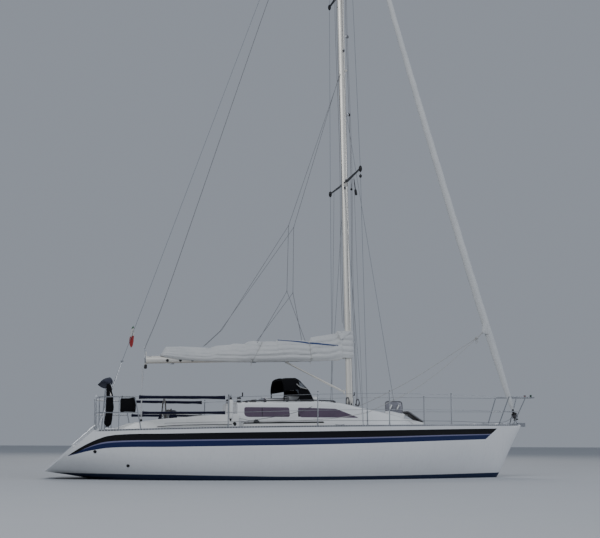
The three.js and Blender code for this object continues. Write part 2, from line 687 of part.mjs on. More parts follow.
function headsHatchLid() {
  const h = HEADS_HATCH;
  const lid = box(h.x, h.x + h.long, h.y - h.wide, h.y, h.z, h.z + h.thick);
  const bars = [0.24, 0.62].map((f) => box(h.x + h.long * f, h.x + h.long * f + 45, h.y - h.wide + 40,
    h.y - 50, h.z - 3, h.z + 4));
  return onSlope(tilted(joined([lid, ...bars]), [0, h.y, h.z], 0, -h.openDeg));
}
addPiece('heads_hatch_lid', headsHatchLid(), COLOUR.glass, 0.2);

// Spars
function ovalRing(centre, along, across, z, sides = 14) {
  const ring = [];
  for (let i = 0; i < sides; i += 1) {
    const angle = (2 * Math.PI * i) / sides;
    ring.push([centre + (along / 2) * Math.cos(angle), (across / 2) * Math.sin(angle), z]);
  }
  return ring;
}
function mastSolid() {
  const tube = loft([
    ovalRing(mastX(MAST.footZ - 200), MAST.fore, MAST.wide, MAST.footZ - 200),
    ovalRing(mastX(15200), MAST.fore, MAST.wide, 15200),
    ovalRing(mastX(MAST.headZ), MAST.fore * 0.86, MAST.wide * 0.86, MAST.headZ),
  ]);
  const headX = mastX(MAST.headZ);
  const crane = box(BACKSTAY.headX - 30, headX + 150, -16, 16, MAST.headZ - 70, MAST.headZ + 12);
  const vane = rod([headX - 60, 0, MAST.headZ], [headX - 60, 0, MAST.headZ + 420], 6, 6);
  const aerial = rod([headX + 40, 0, MAST.headZ], [headX + 40, 0, MAST.headZ + 900], 4, 6);
  const bearings = joined([
    goose.lugs, vangFoot.lugs,
    rod([mastX(9900) + 70, 0, 9900], [mastX(9900) + 120, 0, 9900], 34, 8),
  ]);
  return seated(joined([tube, crane, vane, aerial, bearings]), deckWorks);
}

// Gooseneck and vang share the upright axis just aft of the mast
const pivotAt = (z) => [mastX(z) - BOOM_PIVOT.aft, 0, z];
function forkOnMast(z, half) {
  const pivot = pivotAt(z);
  const lugs = [-1, 1].map((side) => {
    const level = z + side * half;
    return box(pivot[0] - 24, mastX(z), -20, 20, level - 5, level + 5);
  });
  const pin = rod(pivotAt(z - half - 8), pivotAt(z + half + 8), BOOM_PIVOT.pin, 12);
  return { pivot, lugs: joined([...lugs, pin]) };
}
const goose = forkOnMast(BOOM.noseZ, BOOM_PIVOT.lugHalf);
const vangFoot = forkOnMast(BOOM_PIVOT.vangZ, BOOM_PIVOT.lugHalf);
addPiece('mast', mastSolid(), COLOUR.mast, 0.35, 0.6);

function spreader({ z, rise, span }, sign) {
  const x = mastX(z);
  const root = MAST.wide / 2 - 6;
  const section = (y, chord, thick, up) => {
    const ring = [];
    for (let i = 0; i < 8; i += 1) {
      const angle = (2 * Math.PI * i) / 8;
      ring.push([x + (chord / 2) * Math.cos(angle), sign * y, z + up + (thick / 2) * Math.sin(angle)]);
    }
    return ring;
  };
  const arm = loft([section(root, 96, 34, 0), section(span, 56, 26, rise)]);
  const keepOff = loft([ovalRing(mastX(z - 300), MAST.fore + 0.6, MAST.wide + 0.6, z - 300),
    ovalRing(mastX(z + 300), MAST.fore + 0.6, MAST.wide + 0.6, z + 300)]);
  const notch = rod([x, sign * (span - 9), z + rise - 60], [x, sign * (span - 9), z + rise + 60],
    STAY_RADIUS + 3.2, 8);
  return arm.subtract(keepOff).subtract(notch);
}
for (const level of SPREADERS) {
  for (const { name, sign } of SIDES) {
    addPiece(`spreader_${level.name}_${name}`, spreader(level, sign), COLOUR.dark, 0.4, 0.6);
  }
}

// Boom with its end fittings, the flaked mainsail and the rigid vang
const boomAngle = Math.atan2(BOOM.noseZ - BOOM.endZ, goose.pivot[0] - BOOM.endX);
const boomZ = (x) => BOOM.noseZ - (goose.pivot[0] - x) * Math.tan(boomAngle);
function boomRing(x, along = 1) {
  const ring = [];
  for (let i = 0; i < 12; i += 1) {
    const angle = (2 * Math.PI * i) / 12;
    const [y, z] = [(BOOM.wide / 2) * Math.cos(angle), (BOOM.deep / 2) * Math.sin(angle)];
    ring.push([x, along * y, boomZ(x) + along * z]);
  }
  return ring;
}
const vangHead = { x: -215, z: boomZ(-215) - BOOM.deep / 2 - 30 };
function boomSolid() {
  const [px, , pz] = goose.pivot;
  const tube = loft([boomRing(px - 60, 0.7), boomRing(px - 120), boomRing(BOOM.endX)]);
  const toggle = rod([px, 0, pz - 38], [px, 0, pz + 38], 18, 12);
  const neck = box(px - 100, px - 5, -16, 16, pz - 34, pz + 34);
  const ear = box(vangHead.x - 40, vangHead.x + 40, -8, 8, vangHead.z - 18, vangHead.z + 60);
  const sheetEye = box(BOOM.endX - 30, BOOM.endX + 30, -7, 7, boomZ(BOOM.endX) - 120, boomZ(BOOM.endX));
  const liftEye = box(BOOM.endX - 22, BOOM.endX + 14, -7, 7, boomZ(BOOM.endX), boomZ(BOOM.endX) + 190);
  const pinHole = rod(pivotAt(BOOM.noseZ - 60), pivotAt(BOOM.noseZ + 60), BOOM_PIVOT.hole, 12);
  const vangPin = rod([vangHead.x, -30, vangHead.z], [vangHead.x, 30, vangHead.z], 5.6, 8);
  return joined([tube, toggle, neck, ear, sheetEye, liftEye]).subtract(pinHole).subtract(vangPin);
}
const boom = boomSolid();
addPiece('boom', boom, COLOUR.mast, 0.35, 0.6);

function vangSolid() {
  const foot = pivotAt(BOOM_PIVOT.vangZ);
  const head = [vangHead.x, 0, vangHead.z];
  const toggle = rod([foot[0], 0, foot[2] - 38], [foot[0], 0, foot[2] + 38], 17, 12);
  const start = [foot[0] - 14, 0, foot[2] + 7];
  const along = (t) => start.map((v, i) => v + t * (head[i] - v));
  const tubes = joined([rod(start, along(0.06), 14, 8), rod(along(0.05), along(0.55), 26, 10),
    rod(along(0.5), along(0.965), 19, 10)]);
  const forkSides = [-1, 1].map((side) => {
    const cheek = rod(along(0.95), along(1.0), 22, 8).intersect(
      box(-2000, 2000, side > 0 ? 9 : -16, side > 0 ? 16 : -9, 0, 4000));
    return cheek;
  });
  const bridge = rod(along(0.935), along(0.955), 20, 8);
  const pin = rod([head[0], -16, head[2]], [head[0], 16, head[2]], 5, 8);
  const pinHole = rod(pivotAt(BOOM_PIVOT.vangZ - 60), pivotAt(BOOM_PIVOT.vangZ + 60), BOOM_PIVOT.hole, 12);
  const earRoom = box(vangHead.x - 52, vangHead.x + 45, -8.6, 8.6, vangHead.z - 24, vangHead.z + 80);
  const body = joined([toggle, tubes, bridge, ...forkSides]).subtract(earRoom).add(pin);
  return body.subtract(pinHole);
}
addPiece('boom_vang', vangSolid(), COLOUR.alloy, 0.35, 0.7);

// Flaked sail, hollow over the boom and round the mast
function mainsail() {
  const rings = SAIL_STATIONS.map(({ x, top, hem, half }) => {
    const low = boomZ(x) + hem;
    const high = boomZ(x) + top;
    return [[x, half * 0.86, low], [x, half, (low * 2 + high) / 3], [x, half * 0.8, (low + high * 2) / 3],
      [x, half * 0.34, high], [x, -half * 0.34, high], [x, -half * 0.8, (low + high * 2) / 3],
      [x, -half, (low * 2 + high) / 3], [x, -half * 0.86, low]];
  });
  const [px, , pz] = goose.pivot;
  const boomRoom = loft([boomRing(px - 60, 1.01), boomRing(BOOM.endX, 1.01)]);
  const mastRoom = loft([ovalRing(mastX(2600), MAST.fore + 12, MAST.wide + 12, 2600),
    ovalRing(mastX(3600), MAST.fore + 12, MAST.wide + 12, 3600)]);
  const neckRoom = box(px - 110, px, -17, 17, pz - 40, pz + 35);
  return loft(rings).subtract(boomRoom).subtract(mastRoom).subtract(neckRoom);
}
addPiece('mainsail_flaked', mainsail(), COLOUR.sail, 0.9);

// Standing rigging
const shroudFoot = (x, side) => [x, side * CHAINPLATE.half, deckHigh(x, CHAINPLATE.half)];

// A wire that climbs through its points, thicker at the turnbuckle on its foot
function stayWire(points, sides = 6, barrel = 330) {
  const foot = new THREE.Vector3(...points[0]);
  const way = new THREE.Vector3(...points[1]).sub(foot).normalize();
  const at = (d) => foot.clone().addScaledVector(way, d).toArray();
  const rows = [
    [...at(-30), 8], [...at(82), 8], [...at(90), 12], [...at(barrel), 12], [...at(barrel + 8), STAY_RADIUS],
    ...points.slice(1).map((point) => [...point, STAY_RADIUS]),
  ];
  return loft(rows.map(([x, y, z, r]) => {
    const ring = [];
    for (let i = 0; i < sides; i += 1) {
      const angle = (2 * Math.PI * i) / sides;
      ring.push([x + r * Math.cos(angle), y + r * Math.sin(angle), z]);
    }
    return ring;
  }));
}
function capShroud(sign) {
  const [lower, upper] = SPREADERS;
  const tip = (s) => [mastX(s.z), sign * (s.span - 9), s.z + s.rise];
  const foot = shroudFoot(CHAINPLATE.capX, sign);
  const tangY = MAST.wide * 0.43 + GAP;
  const head = [mastX(16380), sign * (tangY + 12), 16380];
  const wire = stayWire([foot, tip(lower), tip(upper), head]);
  const across = sign > 0 ? [tangY + 2, tangY + 22] : [-tangY - 22, -tangY - 2];
  const tang = box(head[0] - 16, head[0] + 16, ...across, head[2] - 20, head[2] + 20);
  return seated(wire.add(tang), deckWorks);
}
const mastRoomTall = loft([
  ovalRing(mastX(6000), MAST.fore + 0.6, MAST.wide + 0.6, 6000),
  ovalRing(mastX(15200), MAST.fore + 0.6, MAST.wide + 0.6, 15200),
  ovalRing(mastX(MAST.headZ), MAST.fore * 0.86 + 0.6, MAST.wide * 0.86 + 0.6, MAST.headZ),
]);
function lowerShroud(sign) {
  const foot = shroudFoot(CHAINPLATE.lowerX, sign);
  const head = [mastX(6900) - 20, sign * (MAST.wide * 0.4), 6900];
  return seated(stayWire([foot, head]), deckWorks);
}
for (const { name, sign } of SIDES) {
  addPiece(`cap_shroud_${name}`, capShroud(sign).subtract(mastRoomTall), COLOUR.steel, 0.3, 0.9);
  addPiece(`lower_shroud_${name}`, lowerShroud(sign).subtract(mastRoomTall), COLOUR.steel, 0.3, 0.9);
}

const babyFoot = [2500, 0, deckHigh(2500, 0)];
const babyHead = [mastX(8900) + MAST.fore * 0.45, 0, 8900];
const babystay = seated(stayWire([babyFoot, babyHead]), deckWorks).subtract(mastRoomTall);
addPiece('babystay', babystay, COLOUR.steel, 0.3, 0.9);

const craneFoot = MAST.headZ - 70 - GAP;
const mastheadRoom = box(BACKSTAY.headX - 40, mastX(MAST.headZ) + 150 + GAP, -30, 30, craneFoot, 18000);

// The backstay parts into two legs low down; its foot straddles the stern centre
const backLean = (BACKSTAY.headX - BACKSTAY.footX) / (BACKSTAY.headZ - BACKSTAY.footZ);
const backX = (z) => BACKSTAY.footX + backLean * (z - BACKSTAY.footZ);
function backstaySolid() {
  const { footX, headX, splitZ, legHalf, legFootZ } = BACKSTAY;
  const split = [backX(splitZ), 0, splitZ];
  const legs = SIDES.map(({ sign }) => rod(split, [footX, sign * legHalf, legFootZ], STAY_RADIUS, 6));
  const plate = box(split[0] - 30, split[0] + 30, -40, 40, splitZ - 14, splitZ + 14);
  return seated(joined([rod(split, [headX, 0, craneFoot], STAY_RADIUS, 6), ...legs, plate]), deckWorks);
}
addPiece('backstay', backstaySolid().subtract(mastheadRoom), COLOUR.steel, 0.3, 0.9);

// Furled genoa on its foil, one swept body; and the furler drum below it
function stayPoint(t) {
  const f = FORESTAY;
  return [f.footX + t * (f.headX - f.footX) - f.sag * 4 * t * (1 - t), 0, f.footZ + t * (f.headZ - f.footZ)];
}
function genoaSolid() {
  const lean = Math.atan2(FORESTAY.footX - FORESTAY.headX, FORESTAY.headZ - FORESTAY.footZ);
  const rings = GENOA.map(({ t, radius }) => {
    const [x, , z] = stayPoint(0.02 + 0.98 * t);
    const ring = [];
    for (let i = 0; i < 10; i += 1) {
      const angle = (2 * Math.PI * i) / 10;
      ring.push([x + radius * Math.cos(angle) * Math.cos(lean), radius * Math.sin(angle),
        z + radius * Math.cos(angle) * Math.sin(lean)]);
    }
    return ring;
  });
  return loft(rings);
}
addPiece('genoa_furled', genoaSolid().subtract(mastheadRoom), COLOUR.sail, 0.9);

function furlerDrum() {
  const a = stayPoint(0.0195);
  const low = stayPoint(0.0008);
  const mid = (t) => low.map((v, i) => v + t * (a[i] - v));
  return seated(joined([
    rod(mid(-0.25), mid(0.1), 9, 8), rod(mid(0.08), mid(0.16), 58, 16), rod(mid(0.15), mid(0.62), 34, 16),
    rod(mid(0.6), mid(0.68), 58, 16), rod(mid(0.66), mid(0.995), 26, 12),
  ]), deckWorks);
}
addPiece('furler_drum', furlerDrum(), COLOUR.dark, 0.4, 0.5);

// Stem fitting with its anchor roller
function stemFitting() {
  const { half, wall, lowZ, plateZ } = STEM;
  const plate = box(STEM.aftX, STEM.foreX, -half, half, lowZ, plateZ);
  const cheeks = [-half, half - wall].map((y) => box(STEM.cheekX, STEM.endX, y, y + wall, lowZ, STEM.cheekZ));
  const reach = half - wall + 1;
  const roller = rod([STEM.rollerX, -reach, STEM.rollerZ], [STEM.rollerX, reach, STEM.rollerZ], 26, 12);
  return seated(joined([plate, ...cheeks, roller]), hullBody);
}
const stemPiece = stemFitting().subtract(furlerDrum().translate([0, 0, -GAP]).add(furlerDrum()));
addPiece('stem_fitting', stemPiece, COLOUR.steel, 0.3, 0.9);

// Pulpit, pushpit, stanchions with their lifelines
function pulpit() {
  const p = PULPIT;
  const bend = [[p.aftX, p.half], [p.foreX, p.foreHalf], [p.noseX - 48, 130], [p.noseX, 0]];
  const rail = [...bend, ...bend.slice(0, 3).reverse().map(([x, y]) => [x, -y])]
    .map(([x, y]) => [x, y, p.topZ]);
  const parts = [bentTube(rail, RAIL_TUBE, 18)];
  for (const { sign } of SIDES) {
    const foot = (x) => [x, sign * (edgeHalf(x) - 62), deckHigh(x, 0) - 40];
    const legs = [
      [[p.aftX, sign * p.half, p.topZ], foot(p.aftFootX)],
      [[p.foreX, sign * p.foreHalf, p.topZ], foot(p.foreFootX)],
    ];
    const halfWay = legs.map(([top, low]) => top.map((v, i) => (v + low[i]) / 2));
    parts.push(...legs.map((leg) => rod(...leg, RAIL_TUBE, 6)), rod(...halfWay, 9));
    parts.push(ball(legs[0][0], RAIL_TUBE * 1.1, 6, 4));
  }
  return seated(joined(parts), hullBody);
}
addPiece('pulpit', pulpit(), COLOUR.steel, 0.25, 0.95);

// The bimini's bows are folded upright and clamped to the pushpit
function biminiBows() {
  const b = BIMINI;
  const footZ = PUSHPIT.topZ;
  const parts = [frame([[b.x, -1300, footZ], [b.x, -b.half, footZ + 120], [b.x, -b.half, b.rollZ],
    [b.x, b.half, b.rollZ], [b.x, b.half, footZ + 120], [b.x, 1300, footZ]], b.tube)];
  for (const { sign } of SIDES) {
    const y = sign * b.half;
    const footing = deckHigh(b.x, b.half) - 25;
    parts.push(rod([b.x, y, footZ + 130], [b.x, y, footing], b.tube, 6));
    parts.push(rod([b.x - 70, y, footing], [b.x - 10, y, b.rollZ - 120], 11));
  }
  return seated(joined(parts), deckWorks);
}

const onSide = (rows, sign, z) => rows.map(([x, y]) => [x, sign * y, z]);
function pushpit(sign) {
  const top = onSide(PUSHPIT.top, sign, PUSHPIT.topZ);
  const parts = [bentTube(top, RAIL_TUBE, 12), bentTube(onSide(PUSHPIT.mid, sign, PUSHPIT.midZ), 10, 12)];
  for (const { from, x, y } of PUSHPIT.posts) {
    parts.push(rod(top[from], [x, sign * y, deckHigh(x, y) - 25], RAIL_TUBE, 6));
  }
  for (const end of [top[0], top[top.length - 1]]) parts.push(ball(end, RAIL_TUBE * 1.1, 6, 4));
  return seated(joined(parts), deckWorks);
}
addPiece('pushpit', joined([pushpit(1), pushpit(-1), biminiBows()]), COLOUR.steel, 0.25, 0.95);

const stanchionY = (x) => edgeHalf(x) - 72;
function wirePoints(sign, part) {
  const [row, startZ] = part === 1 ? [PUSHPIT.top[0], PUSHPIT.topZ] : [PUSHPIT.mid[0], PUSHPIT.midZ];
  const start = [row[0] + 14, sign * row[1], startZ];
  const middle = STANCHIONS.map(({ x, high }) => [x, sign * stanchionY(x), edgeHigh(x) + high * part - 12]);
  const p = PULPIT;
  const foot = [p.aftFootX, sign * (edgeHalf(p.aftFootX) - 62), deckHigh(p.aftFootX, 0) - 40];
  const top = [p.aftX, sign * p.half, p.topZ];
  const t = part === 1 ? 0.02 : 0.5;
  const end = top.map((v, i) => v + t * (foot[i] - v));
  end[0] -= 14;
  return [start, ...middle, end];
}
function lifelines(sign) {
  const parts = [];
  for (const part of [1, 0.52]) parts.push(frame(wirePoints(sign, part), WIRE, 6));
  for (const { x, high } of STANCHIONS) {
    const y = sign * stanchionY(x);
    const z = edgeHigh(x);
    parts.push(rod([x, y, z - 30], [x, y, z + high], RAIL_TUBE));
    parts.push(rod([x, y, z - 30], [x, y, z + 70], 19));
    parts.push(box(x - 45, x + 45, y - 30, y + 30, z - 30, z + 14));
  }
  return seated(joined(parts), deckWorks);
}
for (const { name, sign } of SIDES) {
  const railing = pushpit(sign).add(pulpit());
  addPiece(`lifelines_${name}`, lifelines(sign).subtract(railing), COLOUR.steel, 0.25, 0.95);
}

// Padded sleeves on the aft lifelines
function sleeve(sign, part) {
  const [a, b] = wirePoints(sign, part);
  const at = (t) => a.map((v, i) => v + t * (b[i] - v));
  return rod(at(0.035), at(0.965), 31, 10).subtract(rod(at(-0.05), at(1.02), 5, 8));
}
for (const { name, sign } of SIDES) {
  addPiece(`lifeline_pad_upper_${name}`, sleeve(sign, 1), COLOUR.cover, 0.9);
  addPiece(`lifeline_pad_lower_${name}`, sleeve(sign, 0.52), COLOUR.cover, 0.9);
}

// Steering pedestal and wheel
const pedestal = joined([
  box(WHEEL.x + 30, WHEEL.x + 190, -90, 90, COCKPIT.soleZ + GAP, WHEEL.z - 130),
  box(WHEEL.x + 40, WHEEL.x + 180, -75, 75, WHEEL.z - 130, WHEEL.z + 70),
  rod([WHEEL.x + 110, 0, WHEEL.z + 60], [WHEEL.x + 110, 0, WHEEL.z + 150], 75, 12),
  rod([WHEEL.x + 60, 0, WHEEL.z], [WHEEL.x + 9 + GAP, 0, WHEEL.z], 26, 12),
]);
const guard = frame([[WHEEL.x + 215, -150, COCKPIT.soleZ + GAP], [WHEEL.x + 215, -150, WHEEL.z + 120],
  [WHEEL.x + 215, 150, WHEEL.z + 120], [WHEEL.x + 215, 150, COCKPIT.soleZ + GAP]], 13)
  .add(box(WHEEL.x + 150, WHEEL.x + 215, -20, 20, WHEEL.z - 20, WHEEL.z + 20))
  .add(box(WHEEL.x + 205, WHEEL.x + 225, -150, 150, WHEEL.z - 20, WHEEL.z + 20));
addPiece('steering_pedestal', pedestal.add(guard), COLOUR.gelcoat, 0.35);

function wheelSolid() {
  const torus = new THREE.TorusGeometry(WHEEL.radius, 13, 6, 28);
  torus.rotateY(Math.PI / 2);
  torus.translate(WHEEL.x, 0, WHEEL.z);
  const hub = rod([WHEEL.x - 24, 0, WHEEL.z], [WHEEL.x + 9, 0, WHEEL.z], 42, 12);
  const spokes = [0, 72, 144, 216, 288].map((degrees) => {
    const angle = THREE.MathUtils.degToRad(degrees);
    return rod([WHEEL.x, 0, WHEEL.z], [WHEEL.x, WHEEL.radius * Math.sin(angle),
      WHEEL.z + WHEEL.radius * Math.cos(angle)], 7, 6);
  });
  return joined([solid(torus), hub, ...spokes]);
}
addPiece('steering_wheel', wheelSolid(), COLOUR.steel, 0.25, 0.95);

// Winches on the coamings and on the cabin top
function winch(x, y, base, scale) {
  return turned(x, y, WINCH_PROFILE.map(([r, z]) => [r * scale, base + z * scale]), 12);
}
for (const { name, sign } of SIDES) {
  const works = deckWorks.add(coamings[name]);
  const primary = winch(-2980, sign * 1160, deckHigh(-2980, 1160) + 218, 1.0);
  const halyard = winch(-1470, sign * 760, roofHigh(-1470, 760) - 2, 0.8);
  addPiece(`winch_primary_${name}`, seated(primary, works), COLOUR.cover, 0.7);
  addPiece(`winch_halyard_${name}`, seated(halyard, works), COLOUR.steel, 0.3, 0.9);
}

// Genoa sheet tracks with their cars, and handrails on the cabin top
function strip(points, half, high) {
  return loft(points.map(([x, y, z]) => [
    [x, y - half, z - 30], [x, y + half, z - 30], [x, y + half, z + high], [x, y - half, z + high],
  ]));
}
function genoaTrack(sign) {
  const y = sign * GENOA_TRACK.y;
  const { lift } = GENOA_TRACK;
  const car = deckHigh(GENOA_TRACK.carX, y) + lift;
  const line = GENOA_TRACK.x.map((x) => [x, y, deckHigh(x, y)]);
  return joined([
    strip(line, 26, lift), strip(line, 16, lift + 20),
    box(GENOA_TRACK.carX - 60, GENOA_TRACK.carX + 60, y - 30, y + 30, car + 6, car + 70),
  ]);
}
function handrail(sign) {
  const y = sign * HANDRAIL.y;
  const high = (x) => roofHigh(x, y) + HANDRAIL.rise;
  const [aft, , , fore, end] = HANDRAIL.feet;
  const bar = frame([[aft, y, high(aft)], [fore, y, high(fore)], [end, y, high(end) + 4]], 14);
  const feet = HANDRAIL.feet.map((x) => box(x - 28, x + 28, y - 12, y + 12, high(x) - 88, high(x) - 2));
  return joined([bar, ...feet]);
}
for (const { name, sign } of SIDES) {
  addPiece(`genoa_track_${name}`, seated(genoaTrack(sign), deckWorks), COLOUR.dark, 0.4, 0.6);
  addPiece(`handrail_${name}`, seated(handrail(sign), deckWorks), COLOUR.teak, 0.6);
}

// Mainsheet traveller across the aft deck
function travellerSolid() {
  const { x, half } = TRAVELLER;
  const high = deckHigh(x, 0);
  return joined([
    strip([-half, 0, half].map((y) => [x, y, deckHigh(x, y)]), 20, 26),
    box(x - 20, x + 20, -half, half, high - 40, high + 30),
    box(x - 60, x + 60, -45, 45, high + 12, high + 70),
  ]);
}
addPiece('traveller', seated(travellerSolid(), deckWorks), COLOUR.dark, 0.4, 0.6);

// Boarding ladder folded up on the transom
function ladderSolid() {
  const pivot = ladderAt(0);
  const reach = LADDER.half + 26;
  const parts = [rod([pivot[0], -reach, pivot[1]], [pivot[0], reach, pivot[1]], LADDER.pin, 12)];
  for (const { sign } of SIDES) {
    const [a, b] = [pivot, ladderAt(LADDER.long)];
    parts.push(rod([a[0], sign * LADDER.half, a[1]], [b[0], sign * LADDER.half, b[1]], LADDER.tube));
  }
  for (const d of [200, 410, LADDER.long - LADDER.tube]) {
    const [x, z] = ladderAt(d);
    parts.push(rod([x, -LADDER.half, z], [x, LADDER.half, z], LADDER.tube));
  }
  return joined(parts);
}
addPiece('boarding_ladder', ladderSolid(), COLOUR.steel, 0.25, 0.95);

// Sprayhood over the companionway
function hoodRing({ x, half: wide, top, foot }, skin) {
  const w = wide - skin;
  const t = top - skin;
  const shoulder = Math.min(t - 20, 1700 + (t - 1700) * 0.72);
  const half = [
    [w, foot], [w, Math.min(1715, t - 60)], [w * 0.93, shoulder],
    [w * 0.72, t - (t - 1700) * 0.06], [w * 0.3, t],
  ];
  return [...half, ...half.slice().reverse().map(([y, z]) => [-y, z])].map(([y, z]) => [x, y, z]);
}
function sprayhood() {
  const outer = loft(HOOD.map((s) => hoodRing(s, 0)));
  const innerStations = HOOD.map((s) => ({ ...s }));
  innerStations[0].x -= 40;
  innerStations[innerStations.length - 1].x -= 14;
  const inner = loft(innerStations.map((s) => hoodRing({ ...s, foot: 1400 }, 12)));
  const shell = outer.subtract(inner);
  const garage = box(SLIDE.foreX, GARAGE.foreX, -GARAGE.half, GARAGE.half, 1500, slideZ + GARAGE.high);
  const rails = pieces.filter((p) => p.name.startsWith('handrail')).map((p) => p.body);
  const h = HOOD_HEM;
  const under = [[h.aftX, 1400], [h.foreX, 1400], [h.foreX, h.foreZ], [h.aftX, h.aftZ]];
  const gap = loft([-900, 900].map((y) => under.map(([x, z]) => [x, y, z])));
  const legs = SIDES.map(({ sign }) => rod([h.legX, sign * h.legY, 1500], [h.legX, sign * h.legY, h.legTop], h.leg, 8));
  return seated(shell.subtract(gap).add(joined(legs)), deckWorks.add(garage)).subtract(joined(rails));
}
addPiece('sprayhood', sprayhood(), COLOUR.canvas, 0.9);

// The bimini cloth is rolled on its folded bows
const rollOuter = solid(new THREE.CapsuleGeometry(BIMINI.rollRadius, 2 * BIMINI.half - 40, 4, 14));
const roll = rollOuter.scale([1.75, 1, 1.0]).translate([BIMINI.x - 72, 0, BIMINI.rollZ])
  .subtract(rod([BIMINI.x, -1200, BIMINI.rollZ], [BIMINI.x, 1200, BIMINI.rollZ], 15.9, 8))
  .subtract(joined(SIDES.map(({ sign }) => rod([BIMINI.x, sign * BIMINI.half, 1500],
    [BIMINI.x, sign * BIMINI.half, BIMINI.rollZ + 20], 15.9, 8))));
addPiece('bimini_roll', roll, COLOUR.bimini, 0.9);

// Fender hung on the lifeline beside the gate stanchion
const fenderX = STANCHIONS[0].x + 60;
const wireRows = STANCHIONS.map(({ x }) => ({ x, y: stanchionY(x) }));
const fenderY = FENDER.radius + WIRE + GAP - between(wireRows, fenderX, 'y');
const fenderProfile = [
  [0, 1245], [30, 1250], [FENDER.radius, 1290], [FENDER.radius, 1730], [30, 1765], [14, 1772], [0, 1772],
];
const fender = turned(fenderX, fenderY, fenderProfile, 12);
addPiece('fender', fender, COLOUR.rubber, 0.5);

// Ensign hanging limp against the port side of the backstay
const ENSIGN = { topZ: 3403, lowZ: 2904, wide: 140, thick: 22 };
const ensignX = backX(ENSIGN.topZ) - 14;
const ensignY = STAY_RADIUS + GAP;
addPiece('ensign', box(ensignX - ENSIGN.wide, ensignX, ensignY, ensignY + ENSIGN.thick, ENSIGN.lowZ, ENSIGN.topZ),
  COLOUR.flag, 0.9);

// Scene graph
const yacht = new THREE.Group();
yacht.name = 'sailing_yacht';
for (const { name, body, colour, roughness, metalness } of pieces) {
  const mesh = body.getMesh();
  const geometry = new THREE.BufferGeometry();
  geometry.setAttribute('position', new THREE.BufferAttribute(mesh.vertProperties, mesh.numProp));
  geometry.setIndex(new THREE.BufferAttribute(mesh.triVerts, 1));
  geometry.computeVertexNormals();
  const material = new THREE.MeshStandardMaterial({ color: colour, roughness, metalness });
  const node = new THREE.Mesh(geometry, material);
  node.name = name;
  yacht.add(node);
}

export default yacht;
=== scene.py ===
"""Looks of a cruising sailing yacht lying afloat with its sails furled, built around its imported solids."""
import json
import logging
import math
from dataclasses import dataclass
from enum import Enum
from functools import cache
from typing import Sequence

import bmesh
import bpy
from mathutils import Matrix, Vector, noise

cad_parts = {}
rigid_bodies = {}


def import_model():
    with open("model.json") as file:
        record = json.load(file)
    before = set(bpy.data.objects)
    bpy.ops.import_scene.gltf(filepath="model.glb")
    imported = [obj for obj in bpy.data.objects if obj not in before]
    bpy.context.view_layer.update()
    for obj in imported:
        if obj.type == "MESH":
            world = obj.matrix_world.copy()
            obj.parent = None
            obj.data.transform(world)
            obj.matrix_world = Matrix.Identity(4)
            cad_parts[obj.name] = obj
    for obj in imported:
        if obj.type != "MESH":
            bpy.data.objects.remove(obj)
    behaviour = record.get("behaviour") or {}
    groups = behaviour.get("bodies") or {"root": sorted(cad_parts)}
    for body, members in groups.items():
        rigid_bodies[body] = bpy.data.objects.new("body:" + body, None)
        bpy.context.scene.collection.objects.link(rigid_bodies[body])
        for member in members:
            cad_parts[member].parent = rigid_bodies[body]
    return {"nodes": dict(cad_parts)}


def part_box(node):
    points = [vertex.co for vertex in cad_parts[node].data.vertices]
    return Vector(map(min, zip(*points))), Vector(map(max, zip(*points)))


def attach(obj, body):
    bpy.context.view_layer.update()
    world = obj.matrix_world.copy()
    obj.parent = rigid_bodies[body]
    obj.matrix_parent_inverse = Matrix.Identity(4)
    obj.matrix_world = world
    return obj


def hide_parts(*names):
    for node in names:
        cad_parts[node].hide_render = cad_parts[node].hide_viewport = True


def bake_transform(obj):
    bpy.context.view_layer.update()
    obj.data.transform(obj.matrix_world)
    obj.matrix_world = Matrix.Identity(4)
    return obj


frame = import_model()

Point = tuple[float, float, float]
Flat = tuple[float, float]
Place = Point | Vector
Colour = Point
Node = bpy.types.Node
Tree = bpy.types.ShaderNodeTree
Socket = bpy.types.NodeSocket
Material = bpy.types.Material
Piece = bpy.types.Object

LOG = logging.getLogger("yacht")
YACHT = "yacht"
BOOM = "boom_group"
UP: Point = (0.0, 0.0, 1.0)


class Side(Enum):
    """The two sides of the boat, with the sign of Y."""

    STARBOARD = -1
    PORT = 1

    @property
    def label(self) -> str:
        """The side's name as the solids' names have it."""
        return self.name.lower()


class Grain(Enum):
    """Surface structure that a finish can show."""

    PLAIN = "plain"
    BRUSHED = "brushed"
    WEAVE = "weave"
    SPECKLE = "speckle"
    TIMBER = "timber"
    LAID = "laid"


# Lines of the hull and the coachroof, as the solids have them: x, half width and height, in metres

HULL_ROWS: tuple[Point, ...] = (
    (-5.76, 0.99, 0.985), (-5.2, 1.15, 1.0), (-4.64, 1.31, 1.015), (-3.8, 1.57, 1.045), (-2.8, 1.775, 1.075),
    (-1.7, 1.875, 1.105), (-0.5, 1.88, 1.13), (0.7, 1.77, 1.152), (1.9, 1.52, 1.172), (3.0, 1.19, 1.19),
    (3.95, 0.83, 1.204), (4.6, 0.545, 1.212), (4.975, 0.375, 1.216), (5.3, 0.215, 1.221), (5.52, 0.1, 1.224),
    (5.64, 0.034, 1.226),
)
ROOF_ROWS: tuple[Point, ...] = (
    (-1.553, 1.13, 1.662), (-0.6, 1.13, 1.69), (0.28, 1.105, 1.712), (0.88, 1.05, 1.678), (1.354, 0.96, 1.588),
    (1.892, 0.82, 1.496), (2.4, 0.64, 1.4), (2.76, 0.47, 1.262),
)
DECK_CAMBER = 0.045
ROOF_LEAN = 0.09
MAST_X, MAST_FOOT_Z = 1.353, 1.64
HALF, HEIGHT = 1, 2


